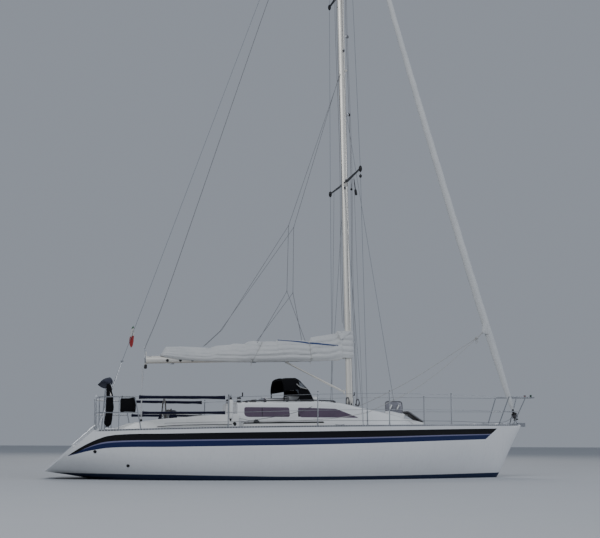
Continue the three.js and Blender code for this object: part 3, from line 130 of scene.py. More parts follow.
@dataclass(frozen=True)
class Lines:
    """Smooth curves through rows of x and values."""

    rows: tuple[Point, ...]

    def at(self, x: float, column: int) -> float:
        """Value of one column at x.

        Args:
            x: Place along the boat.
            column: Column of the rows, from 1.

        Returns:
            The value on a smooth curve through the rows.
        """
        rows = self.rows
        i = 0
        while i < len(rows) - 2 and x > rows[i + 1][0]:
            i += 1
        a, b = rows[i], rows[i + 1]
        before, after = rows[max(0, i - 1)], rows[min(len(rows) - 1, i + 2)]
        length = b[0] - a[0]
        t = min(1.0, max(0.0, (x - a[0]) / length))
        low = (b[column] - before[column]) / (b[0] - before[0])
        high = (after[column] - a[column]) / (after[0] - a[0])
        return (a[column] * (1 + 2 * t) * (1 - t) ** 2 + b[column] * t * t * (3 - 2 * t)
                + length * (low * t * (1 - t) ** 2 - high * t * t * (1 - t)))


HULL = Lines(HULL_ROWS)
ROOF = Lines(ROOF_ROWS)


def deck_z(x: float, y: float) -> float:
    """Height of the deck at a place."""
    return HULL.at(x, HEIGHT) + DECK_CAMBER * (1 - (y / HULL.at(x, HALF)) ** 2)


def roof_z(x: float, y: float) -> float:
    """Height of the coachroof's top at a place."""
    return ROOF.at(x, HEIGHT) + DECK_CAMBER * (1 - (y / (ROOF.at(x, HALF) - ROOF_LEAN)) ** 2)


def cabin_side_y(x: float, z: float) -> float:
    """Distance of the leaning cabin side from the centreline at a place."""
    foot, brow = ROOF.at(x, HALF), ROOF.at(x, HALF) - ROOF_LEAN + 0.027
    return foot + (brow - foot) * (z - 0.9) / (ROOF.at(x, HEIGHT) - 0.948)


# Shader nodes: groups that more than one finish uses, and a material under construction


def operate(tree: Tree, operation: str, *values: object) -> Socket:
    """Adds a Math node whose inputs are sockets or numbers.

    Args:
        tree: Nodes that it joins.
        operation: Name of the operation.
        values: Sockets or numbers.

    Returns:
        The node's output.
    """
    node = tree.nodes.new("ShaderNodeMath")
    node.operation = operation
    for socket, value in zip(node.inputs, values):
        if isinstance(value, bpy.types.NodeSocket):
            tree.links.new(value, socket)
        else:
            socket.default_value = value
    return node.outputs[0]


class Groups:
    """Shader node groups, each built once."""

    @staticmethod
    def _start(name: str, outputs: Sequence[tuple[str, str]],
               **inputs: object) -> tuple[Tree, dict[str, Socket], Node]:
        """Makes an empty group that reads a vector and other inputs.

        Args:
            name: Name of the group.
            outputs: Name and kind of each output.
            inputs: Default of each further input: a number, a vector or a colour with its alpha.

        Returns:
            The group, its inputs by name and its output node.
        """
        group = bpy.data.node_groups.new(name, "ShaderNodeTree")
        group.interface.new_socket("Vector", in_out="INPUT", socket_type="NodeSocketVector")
        for label, value in inputs.items():
            kind = "Float" if isinstance(value, float) else "Vector" if len(value) == 3 else "Color"
            group.interface.new_socket(label, in_out="INPUT", socket_type=f"NodeSocket{kind}").default_value = value
        for label, kind in outputs:
            group.interface.new_socket(label, in_out="OUTPUT", socket_type=f"NodeSocket{kind}")
        source = group.nodes.new("NodeGroupInput")
        return group, {socket.name: socket for socket in source.outputs}, group.nodes.new("NodeGroupOutput")

    @staticmethod
    @cache
    def mottle() -> Tree:
        """Uneven colour and faint dirt: mixes a base colour with a second one in soft patches."""
        group, source, target = Groups._start(
            "Mottle", (("Color", "Color"), ("Mask", "Float")), Scale=3.0, Base=(0.8, 0.8, 0.8, 1.0),
            Second=(0.5, 0.5, 0.5, 1.0), Amount=0.3)
        broad, fine = (group.nodes.new("ShaderNodeTexNoise") for _ in range(2))
        for node, detail, scale in ((broad, 5.0, source["Scale"]),
                                    (fine, 3.0, operate(group, "MULTIPLY", source["Scale"], 9.0))):
            node.inputs["Detail"].default_value = detail
            group.links.new(source["Vector"], node.inputs["Vector"])
            group.links.new(scale, node.inputs["Scale"])
        blend = operate(group, "ADD", operate(group, "MULTIPLY", broad.outputs[0], 0.7),
                        operate(group, "MULTIPLY", fine.outputs[0], 0.3))
        raised = operate(group, "MULTIPLY", operate(group, "SUBTRACT", blend, 0.35), 2.4)
        mask = operate(group, "MINIMUM", operate(group, "MAXIMUM", raised, 0.0), 1.0)
        mix = group.nodes.new("ShaderNodeMix")
        mix.data_type = "RGBA"
        for start, end in ((operate(group, "MULTIPLY", mask, source["Amount"]), mix.inputs[0]),
                           (source["Base"], mix.inputs[6]), (source["Second"], mix.inputs[7]),
                           (mix.outputs[2], target.inputs["Color"]), (mask, target.inputs["Mask"])):
            group.links.new(start, end)
        return group

    @staticmethod
    @cache
    def weave() -> Tree:
        """Warp and weft threads as a height and a tone."""
        group, source, target = Groups._start("Weave", (("Height", "Float"), ("Tone", "Float")), Threads=900.0)
        split = group.nodes.new("ShaderNodeSeparateXYZ")
        group.links.new(source["Vector"], split.inputs[0])
        warp, weft = (
            operate(group, "SINE", operate(group, "MULTIPLY", operate(
                group, "ADD", split.outputs[axis], operate(group, "MULTIPLY", split.outputs[1], lean)),
                source["Threads"]))
            for axis, lean in ((0, 0.35), (2, 0.8)))
        crossing = operate(group, "MULTIPLY", operate(group, "MULTIPLY", warp, weft), 0.5)
        group.links.new(operate(group, "MAXIMUM", warp, weft), target.inputs["Height"])
        group.links.new(operate(group, "ADD", crossing, 0.5), target.inputs["Tone"])
        return group

    @staticmethod
    @cache
    def streaks() -> Tree:
        """Fine streaks stretched along one axis, for drawn metal, timber and rain marks."""
        group, source, target = Groups._start("Streaks", (("Value", "Float"),), Stretch=(1.0, 1.0, 1.0), Scale=30.0)
        scaled = group.nodes.new("ShaderNodeVectorMath")
        scaled.operation = "MULTIPLY"
        grain = group.nodes.new("ShaderNodeTexNoise")
        grain.inputs["Detail"].default_value = 6.0
        for start, end in ((source["Vector"], scaled.inputs[0]), (source["Stretch"], scaled.inputs[1]),
                           (scaled.outputs[0], grain.inputs["Vector"]), (source["Scale"], grain.inputs["Scale"]),
                           (grain.outputs[0], target.inputs["Value"])):
            group.links.new(start, end)
        return group


class Shader:
    """A material under construction: a Principled BSDF with Object coordinates at hand."""

    def __init__(self, name: str) -> None:
        """Starts the material.

        Args:
            name: Name of the material.
        """
        self.material = bpy.data.materials.new(name)
        self.material.use_nodes = True
        self.tree = self.material.node_tree
        self.surface = self.tree.nodes["Principled BSDF"]
        self.coords = self.tree.nodes.new("ShaderNodeTexCoord").outputs["Object"]

    def link(self, source: Socket, target: Socket | str) -> None:
        """Joins an output to an input, or to the surface's input of that name."""
        self.tree.links.new(source, self.surface.inputs[target] if isinstance(target, str) else target)

    def constants(self, values: dict[str, float]) -> None:
        """Sets the surface's inputs that don't change over it."""
        for label, value in values.items():
            self.surface.inputs[label].default_value = value

    def axes(self, source: Socket | None = None) -> tuple[Socket, Socket, Socket]:
        """X, Y and Z of the object's coordinates or of another vector."""
        split = self.tree.nodes.new("ShaderNodeSeparateXYZ")
        self.link(self.coords if source is None else source, split.inputs[0])
        return tuple(split.outputs)

    def uv(self, name: str) -> Socket:
        """Vector of one of the piece's UV maps."""
        node = self.tree.nodes.new("ShaderNodeUVMap")
        node.uv_map = name
        return node.outputs[0]

    def group(self, tree: Tree, **values: object) -> Node:
        """Places a node group on the object's coordinates and sets its inputs.

        Args:
            tree: The group.
            values: Values of its inputs.

        Returns:
            The node.
        """
        node = self.tree.nodes.new("ShaderNodeGroup")
        node.node_tree = tree
        self.link(self.coords, node.inputs["Vector"])
        for label, value in values.items():
            node.inputs[label].default_value = value
        return node

    def mottle(self, scale: float, base: Colour, second: Colour, amount: float) -> tuple[Socket, Socket]:
        """Places the mottle.

        Args:
            scale: Scale of its patches.
            base: First colour.
            second: Colour of the patches.
            amount: Share of the second colour.

        Returns:
            Its colour and its mask.
        """
        node = self.group(Groups.mottle(), Scale=scale, Base=(*base, 1.0), Second=(*second, 1.0), Amount=amount)
        return node.outputs["Color"], node.outputs["Mask"]

    def streaks(self, scale: float, stretch: Point = (1.0, 1.0, 1.0)) -> Socket:
        """Places the streaks and gives their value."""
        return self.group(Groups.streaks(), Stretch=stretch, Scale=scale).outputs["Value"]

    def weave(self, threads: float) -> tuple[Socket, Socket]:
        """Places the weave and gives its height and its tone."""
        node = self.group(Groups.weave(), Threads=threads)
        return node.outputs["Height"], node.outputs["Tone"]

    def math(self, operation: str, *values: object) -> Socket:
        """Output of a Math node whose inputs are sockets or numbers."""
        return operate(self.tree, operation, *values)

    def add(self, first: object, second: object) -> Socket:
        """Sum of two sockets or numbers."""
        return self.math("ADD", first, second)

    def sub(self, first: object, second: object) -> Socket:
        """First socket or number less the second."""
        return self.math("SUBTRACT", first, second)

    def mul(self, first: object, *more: object) -> Socket:
        """Product of sockets or numbers; of masks, where all of them are 1."""
        for value in more:
            first = self.math("MULTIPLY", first, value)
        return first

    def most(self, first: object, second: object) -> Socket:
        """Larger one of two sockets or numbers."""
        return self.math("MAXIMUM", first, second)

    def under(self, value: object, limit: object) -> Socket:
        """Mask that is 1 where a value is under a limit."""
        return self.math("LESS_THAN", value, limit)

    def over(self, value: object, limit: object) -> Socket:
        """Mask that is 1 where a value is over a limit."""
        return self.math("GREATER_THAN", value, limit)

    def mix(self, mask: Socket, first: Socket | Colour, second: Socket | Colour) -> Socket:
        """Mixes two colours by a mask.

        Args:
            mask: 0 for the first, 1 for the second.
            first: Colour or socket.
            second: Colour or socket.

        Returns:
            The mixed colour.
        """
        node = self.tree.nodes.new("ShaderNodeMix")
        node.data_type = "RGBA"
        self.link(mask, node.inputs[0])
        for socket, value in ((node.inputs[6], first), (node.inputs[7], second)):
            if isinstance(value, bpy.types.NodeSocket):
                self.link(value, socket)
            else:
                socket.default_value = (*value, 1.0)
        return node.outputs[2]

    def bump(self, height: Socket, strength: float, distance: float) -> None:
        """Puts a height on the surface's Normal."""
        node = self.tree.nodes.new("ShaderNodeBump")
        node.inputs["Strength"].default_value = strength
        node.inputs["Distance"].default_value = distance
        self.link(height, node.inputs["Height"])
        self.link(node.outputs["Normal"], "Normal")

    def curve(self, value: Socket, points: Sequence[Flat], low: float, high: float) -> Socket:
        """A smooth function of a value through points.

        Args:
            value: Socket of the argument.
            points: Argument and result of each point.
            low: Lowest argument.
            high: Highest argument.

        Returns:
            Socket of the result.
        """
        node = self.tree.nodes.new("ShaderNodeFloatCurve")
        track = node.mapping.curves[0]
        while len(track.points) < len(points):
            track.points.new(0.5, 0.5)
        for mark, (x, y) in zip(track.points, points):
            mark.location = ((x - low) / (high - low), y / 2.0)
            mark.handle_type = "AUTO_CLAMPED"
        node.mapping.use_clip = False
        node.mapping.update()
        self.link(self.math("DIVIDE", self.sub(value, low), high - low), node.inputs["Value"])
        return self.mul(node.outputs[0], 2.0)


# Finishes


@dataclass(frozen=True)
class Coat:
    """What every finish has: its name, a slot name and one material."""

    name: str
    slot: str

    def material(self) -> Material:
        """The finish's material, made the first time it is asked for."""
        made = bpy.data.materials.get(self.name)
        if made is None:
            shader = Shader(self.name)
            self.paint(shader)
            made = shader.material
        return made

    def paint(self, shader: Shader) -> None:
        """Builds the finish's nodes in its material."""
        raise NotImplementedError


@dataclass(frozen=True)
class Finish(Coat):
    """A surface finish with its colour, gloss and structure."""

    colour: Colour
    second: Colour
    roughness: float = 0.4
    metallic: float = 0.0
    grain: Grain = Grain.PLAIN
    scale: float = 3.0
    amount: float = 0.35
    relief: float = 0.0005
    coat: float = 0.0
    stretch: Point = (1.0, 1.0, 1.0)
    specular: float = 0.5

    def paint(self, shader: Shader) -> None:
        """Builds uneven colour and gloss, then the structure."""
        shader.constants({"Metallic": self.metallic, "Coat Weight": self.coat, "Coat Roughness": 0.08,
                          "Specular IOR Level": self.specular})
        colour, mask = shader.mottle(self.scale, self.colour, self.second, self.amount)
        rough = shader.add(shader.mul(mask, 0.12), self.roughness - 0.05)
        if self.grain is Grain.WEAVE:
            height, tone = shader.weave(1800.0)
            colour = shader.mix(shader.mul(tone, 0.2), colour, self.second)
            folds = shader.streaks(4.0, self.stretch)
            shader.bump(shader.add(shader.mul(height, 0.08), folds), 0.6, self.relief)
        elif self.grain is Grain.BRUSHED:
            streaks = shader.streaks(60.0, self.stretch)
            rough = shader.add(rough, shader.mul(streaks, 0.1))
            shader.bump(streaks, 0.15, self.relief)
        elif self.grain is Grain.SPECKLE:
            shader.bump(shader.streaks(240.0), 0.35, self.relief)
        elif self.grain is Grain.TIMBER:
            rings = shader.streaks(18.0, self.stretch)
            colour = shader.mix(shader.mul(rings, 0.8), colour, self.second)
            shader.bump(rings, 0.4, self.relief)
        elif self.grain is Grain.LAID:
            x, y, z = shader.axes()
            strand = shader.math("SINE", shader.mul(shader.add(shader.add(x, y), z), 420.0))
            colour = shader.mix(shader.mul(shader.over(strand, 0.55), 0.6), colour, self.second)
            shader.bump(strand, 0.4, self.relief)
        shader.link(colour, "Base Color")
        shader.link(rough, "Roughness")


STAINLESS = Finish("Polished stainless", "stainless", (0.42, 0.43, 0.45), (0.29, 0.295, 0.31), 0.26, 1.0,
                   Grain.BRUSHED, 2.0, 0.25, 0.0002, stretch=(1.0, 1.0, 14.0))
SPAR = Finish("Anodised spar", "spar_alloy", (0.82, 0.79, 0.72), (0.62, 0.6, 0.56), 0.38, 0.55, Grain.BRUSHED, 1.2,
              0.3, 0.0004, stretch=(10.0, 10.0, 0.25))
BOOM_ALLOY = Finish("Anodised boom", "spar_alloy", (0.8, 0.78, 0.72), (0.6, 0.58, 0.55), 0.38, 0.55, Grain.BRUSHED,
                    1.2, 0.3, 0.0004, stretch=(0.25, 10.0, 10.0))
DARK_ALLOY = Finish("Dark anodised alloy", "spreader_alloy", (0.025, 0.028, 0.037), (0.06, 0.062, 0.075), 0.4, 0.4,
                    Grain.BRUSHED, 4.0, 0.3, 0.0002)
TRACK = Finish("Black anodised track", "track_black", (0.035, 0.036, 0.04), (0.09, 0.09, 0.09), 0.35, 0.45,
               Grain.BRUSHED, 6.0, 0.3, 0.0002, stretch=(0.4, 6.0, 6.0))
BLACK_MOULDING = Finish("Black moulding", "furler_black", (0.012, 0.012, 0.014), (0.04, 0.04, 0.044), 0.45,
                        grain=Grain.SPECKLE, scale=8.0, relief=0.0002, specular=0.3)
DECK = Finish("White deck moulding", "deck_gelcoat", (0.82, 0.82, 0.8), (0.66, 0.65, 0.62), 0.3, scale=1.4,
              amount=0.35, coat=0.3)
ANTIFOULING = Finish("Navy antifouling", "antifouling", (0.018, 0.03, 0.075), (0.05, 0.07, 0.09), 0.75,
                     grain=Grain.SPECKLE, scale=2.2, amount=0.6, relief=0.0008)
BRONZE = Finish("Dull bronze", "bronze", (0.42, 0.27, 0.11), (0.2, 0.22, 0.14), 0.35, 0.9, Grain.BRUSHED, 9.0, 0.5)
GREY_PAINT = Finish("Grey leg paint", "drive_alloy", (0.16, 0.17, 0.18), (0.26, 0.26, 0.25), 0.5, 0.1, Grain.SPECKLE,
                    5.0, 0.4)
SAILCLOTH = Finish("Off-white sailcloth", "sailcloth", (0.66, 0.665, 0.655), (0.42, 0.43, 0.45), 0.8,
                   grain=Grain.WEAVE, scale=1.6, amount=0.5, relief=0.006, stretch=(0.7, 3.0, 3.0), specular=0.3)
ROLLED_CLOTH = Finish("Rolled sailcloth", "sailcloth", (0.68, 0.685, 0.675), (0.45, 0.46, 0.48), 0.8,
                      grain=Grain.WEAVE, scale=1.1, amount=0.5, relief=0.002, stretch=(2.5, 2.5, 0.3), specular=0.3)
NAVY_COVER = Finish("Navy cover cloth", "navy_cover", (0.006, 0.007, 0.022), (0.018, 0.02, 0.045), 0.9,
                    grain=Grain.WEAVE, scale=6.0, amount=0.4, relief=0.002, specular=0.12)
WINCH_CLOTH = Finish("Winch cover cloth", "winch_cover", (0.006, 0.007, 0.02), (0.016, 0.018, 0.04), 0.9,
                     grain=Grain.WEAVE, scale=9.0, amount=0.4, relief=0.002, specular=0.12)
BLACK_CANVAS = Finish("Black canvas", "black_canvas", (0.004, 0.004, 0.005), (0.013, 0.013, 0.016), 0.92,
                      grain=Grain.WEAVE, scale=3.0, amount=0.4, relief=0.003, specular=0.1)
BIMINI_CLOTH = Finish("Dark bimini cloth", "bimini_canvas", (0.03, 0.034, 0.055), (0.085, 0.092, 0.12), 0.9,
                      grain=Grain.WEAVE, scale=5.0, amount=0.5, relief=0.003, stretch=(3.0, 0.6, 3.0), specular=0.2)
FENDER_VINYL = Finish("White vinyl", "fender_white", (0.8, 0.8, 0.78), (0.6, 0.6, 0.57), 0.35, scale=9.0, amount=0.4,
                      coat=0.2)
GREY_ALLOY = Finish("Grey hatch alloy", "deck_gelcoat", (0.16, 0.16, 0.175), (0.26, 0.26, 0.28), 0.45, 0.3,
                    Grain.BRUSHED, 5.0, 0.3)
WHITE_ROPE = Finish("White braid", "sailcloth", (0.72, 0.71, 0.67), (0.12, 0.16, 0.3), 0.8, grain=Grain.LAID,
                    scale=12.0, relief=0.001)
DARK_ROPE = Finish("Dark braid", "track_black", (0.05, 0.05, 0.06), (0.3, 0.3, 0.32), 0.8, grain=Grain.LAID,
                   scale=12.0, relief=0.001)
WEATHERED_ROPE = Finish("Weathered braid", "sailcloth", (0.24, 0.24, 0.25), (0.1, 0.1, 0.115), 0.85,
                        grain=Grain.LAID, scale=12.0, relief=0.001)
RED_LENS = Finish("Red lens", "flag_cloth", (0.2, 0.012, 0.012), (0.1, 0.008, 0.008), 0.15, coat=0.3)
GREEN_LENS = Finish("Green lens", "flag_cloth", (0.01, 0.09, 0.035), (0.006, 0.05, 0.02), 0.15, coat=0.3)
CLEAR_LENS = Finish("Clear lens", "fender_white", (0.7, 0.72, 0.75), (0.5, 0.52, 0.55), 0.08, coat=0.6)
DARK_RAIL = Finish("Dark grab rail", "rail_teak", (0.02, 0.022, 0.03), (0.055, 0.055, 0.062), 0.55,
                   grain=Grain.TIMBER, scale=4.0, relief=0.0006, stretch=(0.35, 6.0, 6.0))
BLUE_TAPE = Finish("Blue edge tape", "sailcloth", (0.02, 0.05, 0.17), (0.05, 0.09, 0.22), 0.8, grain=Grain.WEAVE,
                   scale=8.0, relief=0.002)
GREY_ROPE = Finish("Grey braid", "sailcloth", (0.52, 0.51, 0.48), (0.2, 0.21, 0.24), 0.8, grain=Grain.LAID,
                   scale=12.0, relief=0.001)
PEDESTAL = Finish("Grey pedestal moulding", "deck_gelcoat", (0.13, 0.135, 0.145), (0.2, 0.2, 0.2), 0.4,
                  grain=Grain.SPECKLE, scale=5.0, relief=0.0003, coat=0.2)
WHITE_PLINTH = Finish("White track plinth", "track_black", (0.78, 0.78, 0.76), (0.58, 0.58, 0.55), 0.35, scale=4.0,
                      coat=0.2)
SAND_LEATHER = Finish("Stitched wheel leather", "track_black", (0.04, 0.035, 0.03), (0.1, 0.09, 0.08), 0.7,
                      grain=Grain.SPECKLE, scale=20.0, relief=0.0006)


@dataclass(frozen=True)
class HullFinish(Coat):
    """White moulding with its antifouling, black and navy stripes and non-skid deck."""

    name: str = "Striped hull moulding"
    slot: str = "hull_gelcoat"
    white: Colour = (0.8, 0.805, 0.81)
    weathered: Colour = (0.64, 0.645, 0.65)
    black: Colour = (0.004, 0.004, 0.006)
    navy: Colour = (0.01, 0.02, 0.085)
    lilac: Colour = (0.2, 0.2, 0.33)
    bottom: Colour = (0.016, 0.028, 0.07)
    non_skid: Colour = (0.66, 0.665, 0.66)
    boot: tuple[Flat, ...] = (
        (-5.7, 0.138), (-5.04, 0.133), (-3.25, 0.122), (-1.79, 0.1), (-0.25, 0.08), (2.16, 0.086), (4.93, 0.113),
        (5.7, 0.122),
    )
    black_top: tuple[Flat, ...] = (
        (-5.18, 0.505), (-5.08, 0.578), (-4.92, 0.683), (-4.73, 0.788), (-4.54, 0.872), (-4.37, 0.926),
        (-4.12, 0.958), (-3.1, 0.986), (-2.06, 1.01), (-0.32, 1.043), (1.81, 1.089), (3.14, 1.119), (4.75, 1.153),
    )
    black_low: tuple[Flat, ...] = (
        (-5.18, 0.502), (-5.03, 0.56), (-4.85, 0.652), (-4.6, 0.754), (-4.41, 0.803), (-4.12, 0.828),
        (-3.1, 0.85), (-1.63, 0.878), (-0.32, 0.899), (1.81, 0.948), (3.14, 0.989), (4.75, 1.026),
    )
    navy_top: tuple[Flat, ...] = (
        (-5.18, 0.5), (-5.09, 0.53), (-4.92, 0.618), (-4.73, 0.691), (-4.54, 0.75), (-4.35, 0.782), (-4.12, 0.8),
        (-3.1, 0.824), (-1.63, 0.852), (-0.32, 0.87), (1.81, 0.921), (3.14, 0.963), (4.75, 1.008),
    )
    navy_low: tuple[Flat, ...] = (
        (-5.18, 0.497), (-4.98, 0.553), (-4.79, 0.603), (-4.6, 0.643), (-4.41, 0.672), (-4.12, 0.692),
        (-3.1, 0.707), (-1.63, 0.735), (-0.32, 0.76), (1.81, 0.817), (3.14, 0.859), (4.75, 0.908),
    )
    stern_end: float = -5.17
    cut_x: float = 4.46
    cut_z: float = 0.881
    cut_slope: float = 1.42
    deck_margin: float = 0.14

    def _band(self, shader: Shader, x: Socket, z: Socket, top: Sequence[Flat], low: Sequence[Flat]) -> Socket:
        """Mask of the band between two curves.

        Args:
            shader: Material under construction.
            x: Place along the boat.
            z: Height.
            top: Upper edge.
            low: Lower edge.

        Returns:
            1 inside the band, 0 outside.
        """
        upper, lower = (shader.curve(x, edge, -5.2, 5.8) for edge in (top, low))
        return shader.mul(shader.under(z, upper), shader.over(z, lower))

    def paint(self, shader: Shader) -> None:
        """Builds the moulding with its rain marks, the deck's non-skid, the stripes and the bottom."""
        x, side, z = shader.axes()
        y = shader.math("ABSOLUTE", side)
        outside = shader.most(shader.over(y, 1.02), shader.most(shader.under(x, -3.6), shader.over(x, 3.3)))
        cut = shader.add(shader.mul(shader.sub(z, self.cut_z), self.cut_slope), self.cut_x)
        reach = shader.mul(outside, shader.mul(shader.under(x, cut), shader.over(x, self.stern_end)))
        colour, mask = shader.mottle(0.9, self.white, self.weathered, 0.22)
        rain = shader.most(shader.sub(shader.streaks(3.0, (6.0, 6.0, 0.5)), 0.52), 0.0)
        colour = shader.mix(shader.mul(rain, 0.9), colour, self.weathered)
        half, sheer = (shader.curve(x, [(row[0], row[k]) for row in HULL_ROWS], -5.8, 5.8) for k in (HALF, HEIGHT))
        deck = shader.mul(shader.under(y, shader.sub(half, self.deck_margin)),
                          shader.over(z, shader.add(sheer, 0.004)), shader.under(x, 4.7), shader.over(x, -4.1))
        colour = shader.mix(deck, colour, self.non_skid)
        for top, low, paint in ((self.navy_top, self.navy_low, self.navy),
                                (self.black_top, self.black_low, self.black),
                                (self.black_low, self.navy_top, self.lilac)):
            colour = shader.mix(shader.mul(self._band(shader, x, z, top, low), reach), colour, paint)
        painted = shader.mul(self._band(shader, x, z, self.black_top, self.navy_low), reach)
        under = shader.under(z, shader.curve(x, self.boot, -5.8, 5.8))
        shader.link(shader.mix(under, colour, self.bottom), "Base Color")
        matt = shader.add(shader.mul(under, 0.5), shader.mul(deck, 0.4))
        shader.link(shader.add(shader.add(matt, shader.mul(mask, 0.06)), 0.2), "Roughness")
        shader.constants({"Coat Roughness": 0.06, "Specular IOR Level": 0.25})
        bare = shader.add(shader.mul(matt, 0.5), shader.mul(painted, 0.24))
        shader.link(shader.most(shader.sub(0.25, bare), 0.0), "Coat Weight")
        shader.bump(shader.mul(shader.streaks(170.0), shader.add(deck, shader.mul(under, 0.6))), 0.5, 0.0008)


@dataclass(frozen=True)
class RoofFinish(Coat):
    """White coachroof with non-skid panels on its top."""

    name: str = "Coachroof moulding"
    slot: str = "deck_gelcoat"
    white: Colour = (0.81, 0.815, 0.815)
    weathered: Colour = (0.66, 0.66, 0.65)
    non_skid: Colour = (0.66, 0.665, 0.66)
    margin: float = 0.2

    def paint(self, shader: Shader) -> None:
        """Builds the moulding and its panels."""
        x, side, z = shader.axes()
        y = shader.math("ABSOLUTE", side)
        foot, brow = (shader.curve(x, [(row[0], row[k]) for row in ROOF_ROWS], -1.6, 2.8) for k in (HALF, HEIGHT))
        panel = shader.mul(shader.under(y, shader.sub(foot, self.margin)), shader.over(z, shader.sub(brow, 0.02)),
                           shader.over(y, 0.42))
        colour, mask = shader.mottle(1.3, self.white, self.weathered, 0.25)
        shader.link(shader.mix(panel, colour, self.non_skid), "Base Color")
        shader.link(shader.add(shader.add(shader.mul(panel, 0.4), shader.mul(mask, 0.08)), 0.24), "Roughness")
        shader.constants({"Coat Weight": 0.25})
        shader.bump(shader.mul(shader.streaks(170.0), panel), 0.5, 0.0008)


@dataclass(frozen=True)
class Acrylic(Coat):
    """Smoked acrylic, clear enough to show the hollow behind it."""

    tint: Colour
    clear: float = 0.35
    roughness: float = 0.06

    def paint(self, shader: Shader) -> None:
        """Builds the tint and the scuffs."""
        colour, _ = shader.mottle(2.0, self.tint, tuple(value * 0.55 for value in self.tint), 0.5)
        shader.link(colour, "Base Color")
        scuffs = shader.mul(shader.streaks(25.0, (2.0, 2.0, 2.0)), 0.1)
        shader.link(shader.add(scuffs, self.roughness - 0.04), "Roughness")
        shader.constants({"Transmission Weight": self.clear, "IOR": 1.49, "Coat Weight": 0.4})


@dataclass(frozen=True)
class LaidTeak(Coat):
    """Narrow teak planks with black caulking between them."""

    name: str = "Laid teak"
    slot: str = "rail_teak"
    wood: Colour = (0.34, 0.21, 0.11)
    silver: Colour = (0.45, 0.4, 0.34)
    caulk: Colour = (0.02, 0.02, 0.02)
    plank: float = 0.05
    seam: float = 0.09

    def paint(self, shader: Shader) -> None:
        """Builds the planks, their grain and the seams."""
        row = shader.math("FRACT", shader.add(shader.math("DIVIDE", shader.axes()[1], self.plank), 40.5))
        seam = shader.under(row, self.seam)
        grain = shader.streaks(14.0, (0.5, 9.0, 9.0))
        shader.link(shader.mix(seam, shader.mix(grain, self.wood, self.silver), self.caulk), "Base Color")
        shader.link(shader.add(shader.mul(seam, -0.2), 0.65), "Roughness")
        shader.bump(shader.sub(shader.mul(grain, 0.4), seam), 0.4, 0.0012)


@dataclass(frozen=True)
class FlagCloth(Coat):
    """Thin woven cloth in three upright bands, hanging in folds."""

    name: str = "Banded flag cloth"
    slot: str = "flag_cloth"
    hoist: Colour = (0.02, 0.16, 0.06)
    middle: Colour = (0.72, 0.72, 0.69)
    fly: Colour = (0.42, 0.025, 0.03)

    def paint(self, shader: Shader) -> None:
        """Builds the bands, which follow the cloth's own UV map, and the weave."""
        across = shader.axes(shader.uv("Cloth"))[0]
        colour = shader.mix(shader.over(across, 0.333), self.hoist, self.middle)
        colour = shader.mix(shader.over(across, 0.666), colour, self.fly)
        height, tone = shader.weave(3000.0)
        shader.link(shader.mix(shader.mul(tone, 0.15), colour, (0.05, 0.05, 0.05)), "Base Color")
        shader.link(shader.add(shader.mul(tone, 0.1), 0.75), "Roughness")
        shader.constants({"Sheen Weight": 0.2})
        shader.bump(height, 0.3, 0.0006)


@dataclass(frozen=True)
class PiercedRail(Coat):
    """Alloy rail with a row of oval slots, placed by the rail's own UV map (metres along, share of its height). The
    slots are not cut: they are painted near-black, painted shade standing in for the openings.
    """

    name: str = "Pierced toe rail"
    slot: str = "rail_alloy"
    alloy: Colour = (0.5, 0.51, 0.53)
    worn: Colour = (0.26, 0.27, 0.29)
    # near-black colour of the slots: painted shade where the openings would show
    shaded_slot: Colour = (0.02, 0.02, 0.022)
    pitch: float = 0.06

    def paint(self, shader: Shader) -> None:
        """Builds the alloy and the slots, which are painted near-black as painted shade."""
        along, high, _ = shader.axes(shader.uv("Rail"))
        turn = shader.sub(shader.math("FRACT", shader.math("DIVIDE", along, self.pitch)), 0.5)
        rise = shader.sub(high, 0.52)
        oval = shader.add(shader.math("DIVIDE", shader.mul(turn, turn), 0.1),
                          shader.math("DIVIDE", shader.mul(rise, rise), 0.055))
        shaded_slot = shader.under(oval, 1.0)
        colour, _ = shader.mottle(3.0, self.alloy, self.worn, 0.6)
        # the slots get the near-black colour: painted shade in place of open holes
        shader.link(shader.mix(shaded_slot, colour, self.shaded_slot), "Base Color")
        shader.link(shader.sub(0.85, shader.mul(shaded_slot, 0.85)), "Metallic")
        shader.link(shader.add(shader.mul(shaded_slot, 0.3), 0.4), "Roughness")
        shader.bump(shader.mul(shaded_slot, -1.0), 0.8, 0.004)


@dataclass(frozen=True)
class ClearVinyl(Coat):
    """Clear flexible window of the sprayhood."""

    name: str = "Clear vinyl window"
    slot: str = "black_canvas"
    tint: Colour = (0.34, 0.37, 0.41)

    def paint(self, shader: Shader) -> None:
        """Builds the tint and the ripples."""
        ripples = shader.streaks(7.0)
        shader.link(shader.mix(ripples, self.tint, tuple(value * 0.8 for value in self.tint)), "Base Color")
        shader.link(shader.add(shader.mul(ripples, 0.12), 0.02), "Roughness")
        shader.constants({"Transmission Weight": 0.6, "IOR": 1.3})
        shader.bump(ripples, 0.4, 0.01)


HULL_FINISH = HullFinish()
ROOF_FINISH = RoofFinish()
WINDOW = Acrylic("Smoked side window", "window_glass", (0.16, 0.11, 0.17), 0.3)
HATCH_PANE = Acrylic("Smoked hatch pane", "hatch_acrylic", (0.34, 0.34, 0.39), 0.3, 0.1)
SLIDE_PANE = Acrylic("Smoked companion slide", "hatch_acrylic", (0.14, 0.12, 0.15), 0.3, 0.12)
BOARD_PANE = Acrylic("Smoked washboard", "washboard_acrylic", (0.1, 0.09, 0.11), 0.25, 0.12)
TEAK_DECK = LaidTeak()
FLAG = FlagCloth()
PIERCED = PiercedRail()
VINYL = ClearVinyl()


# Mesh making


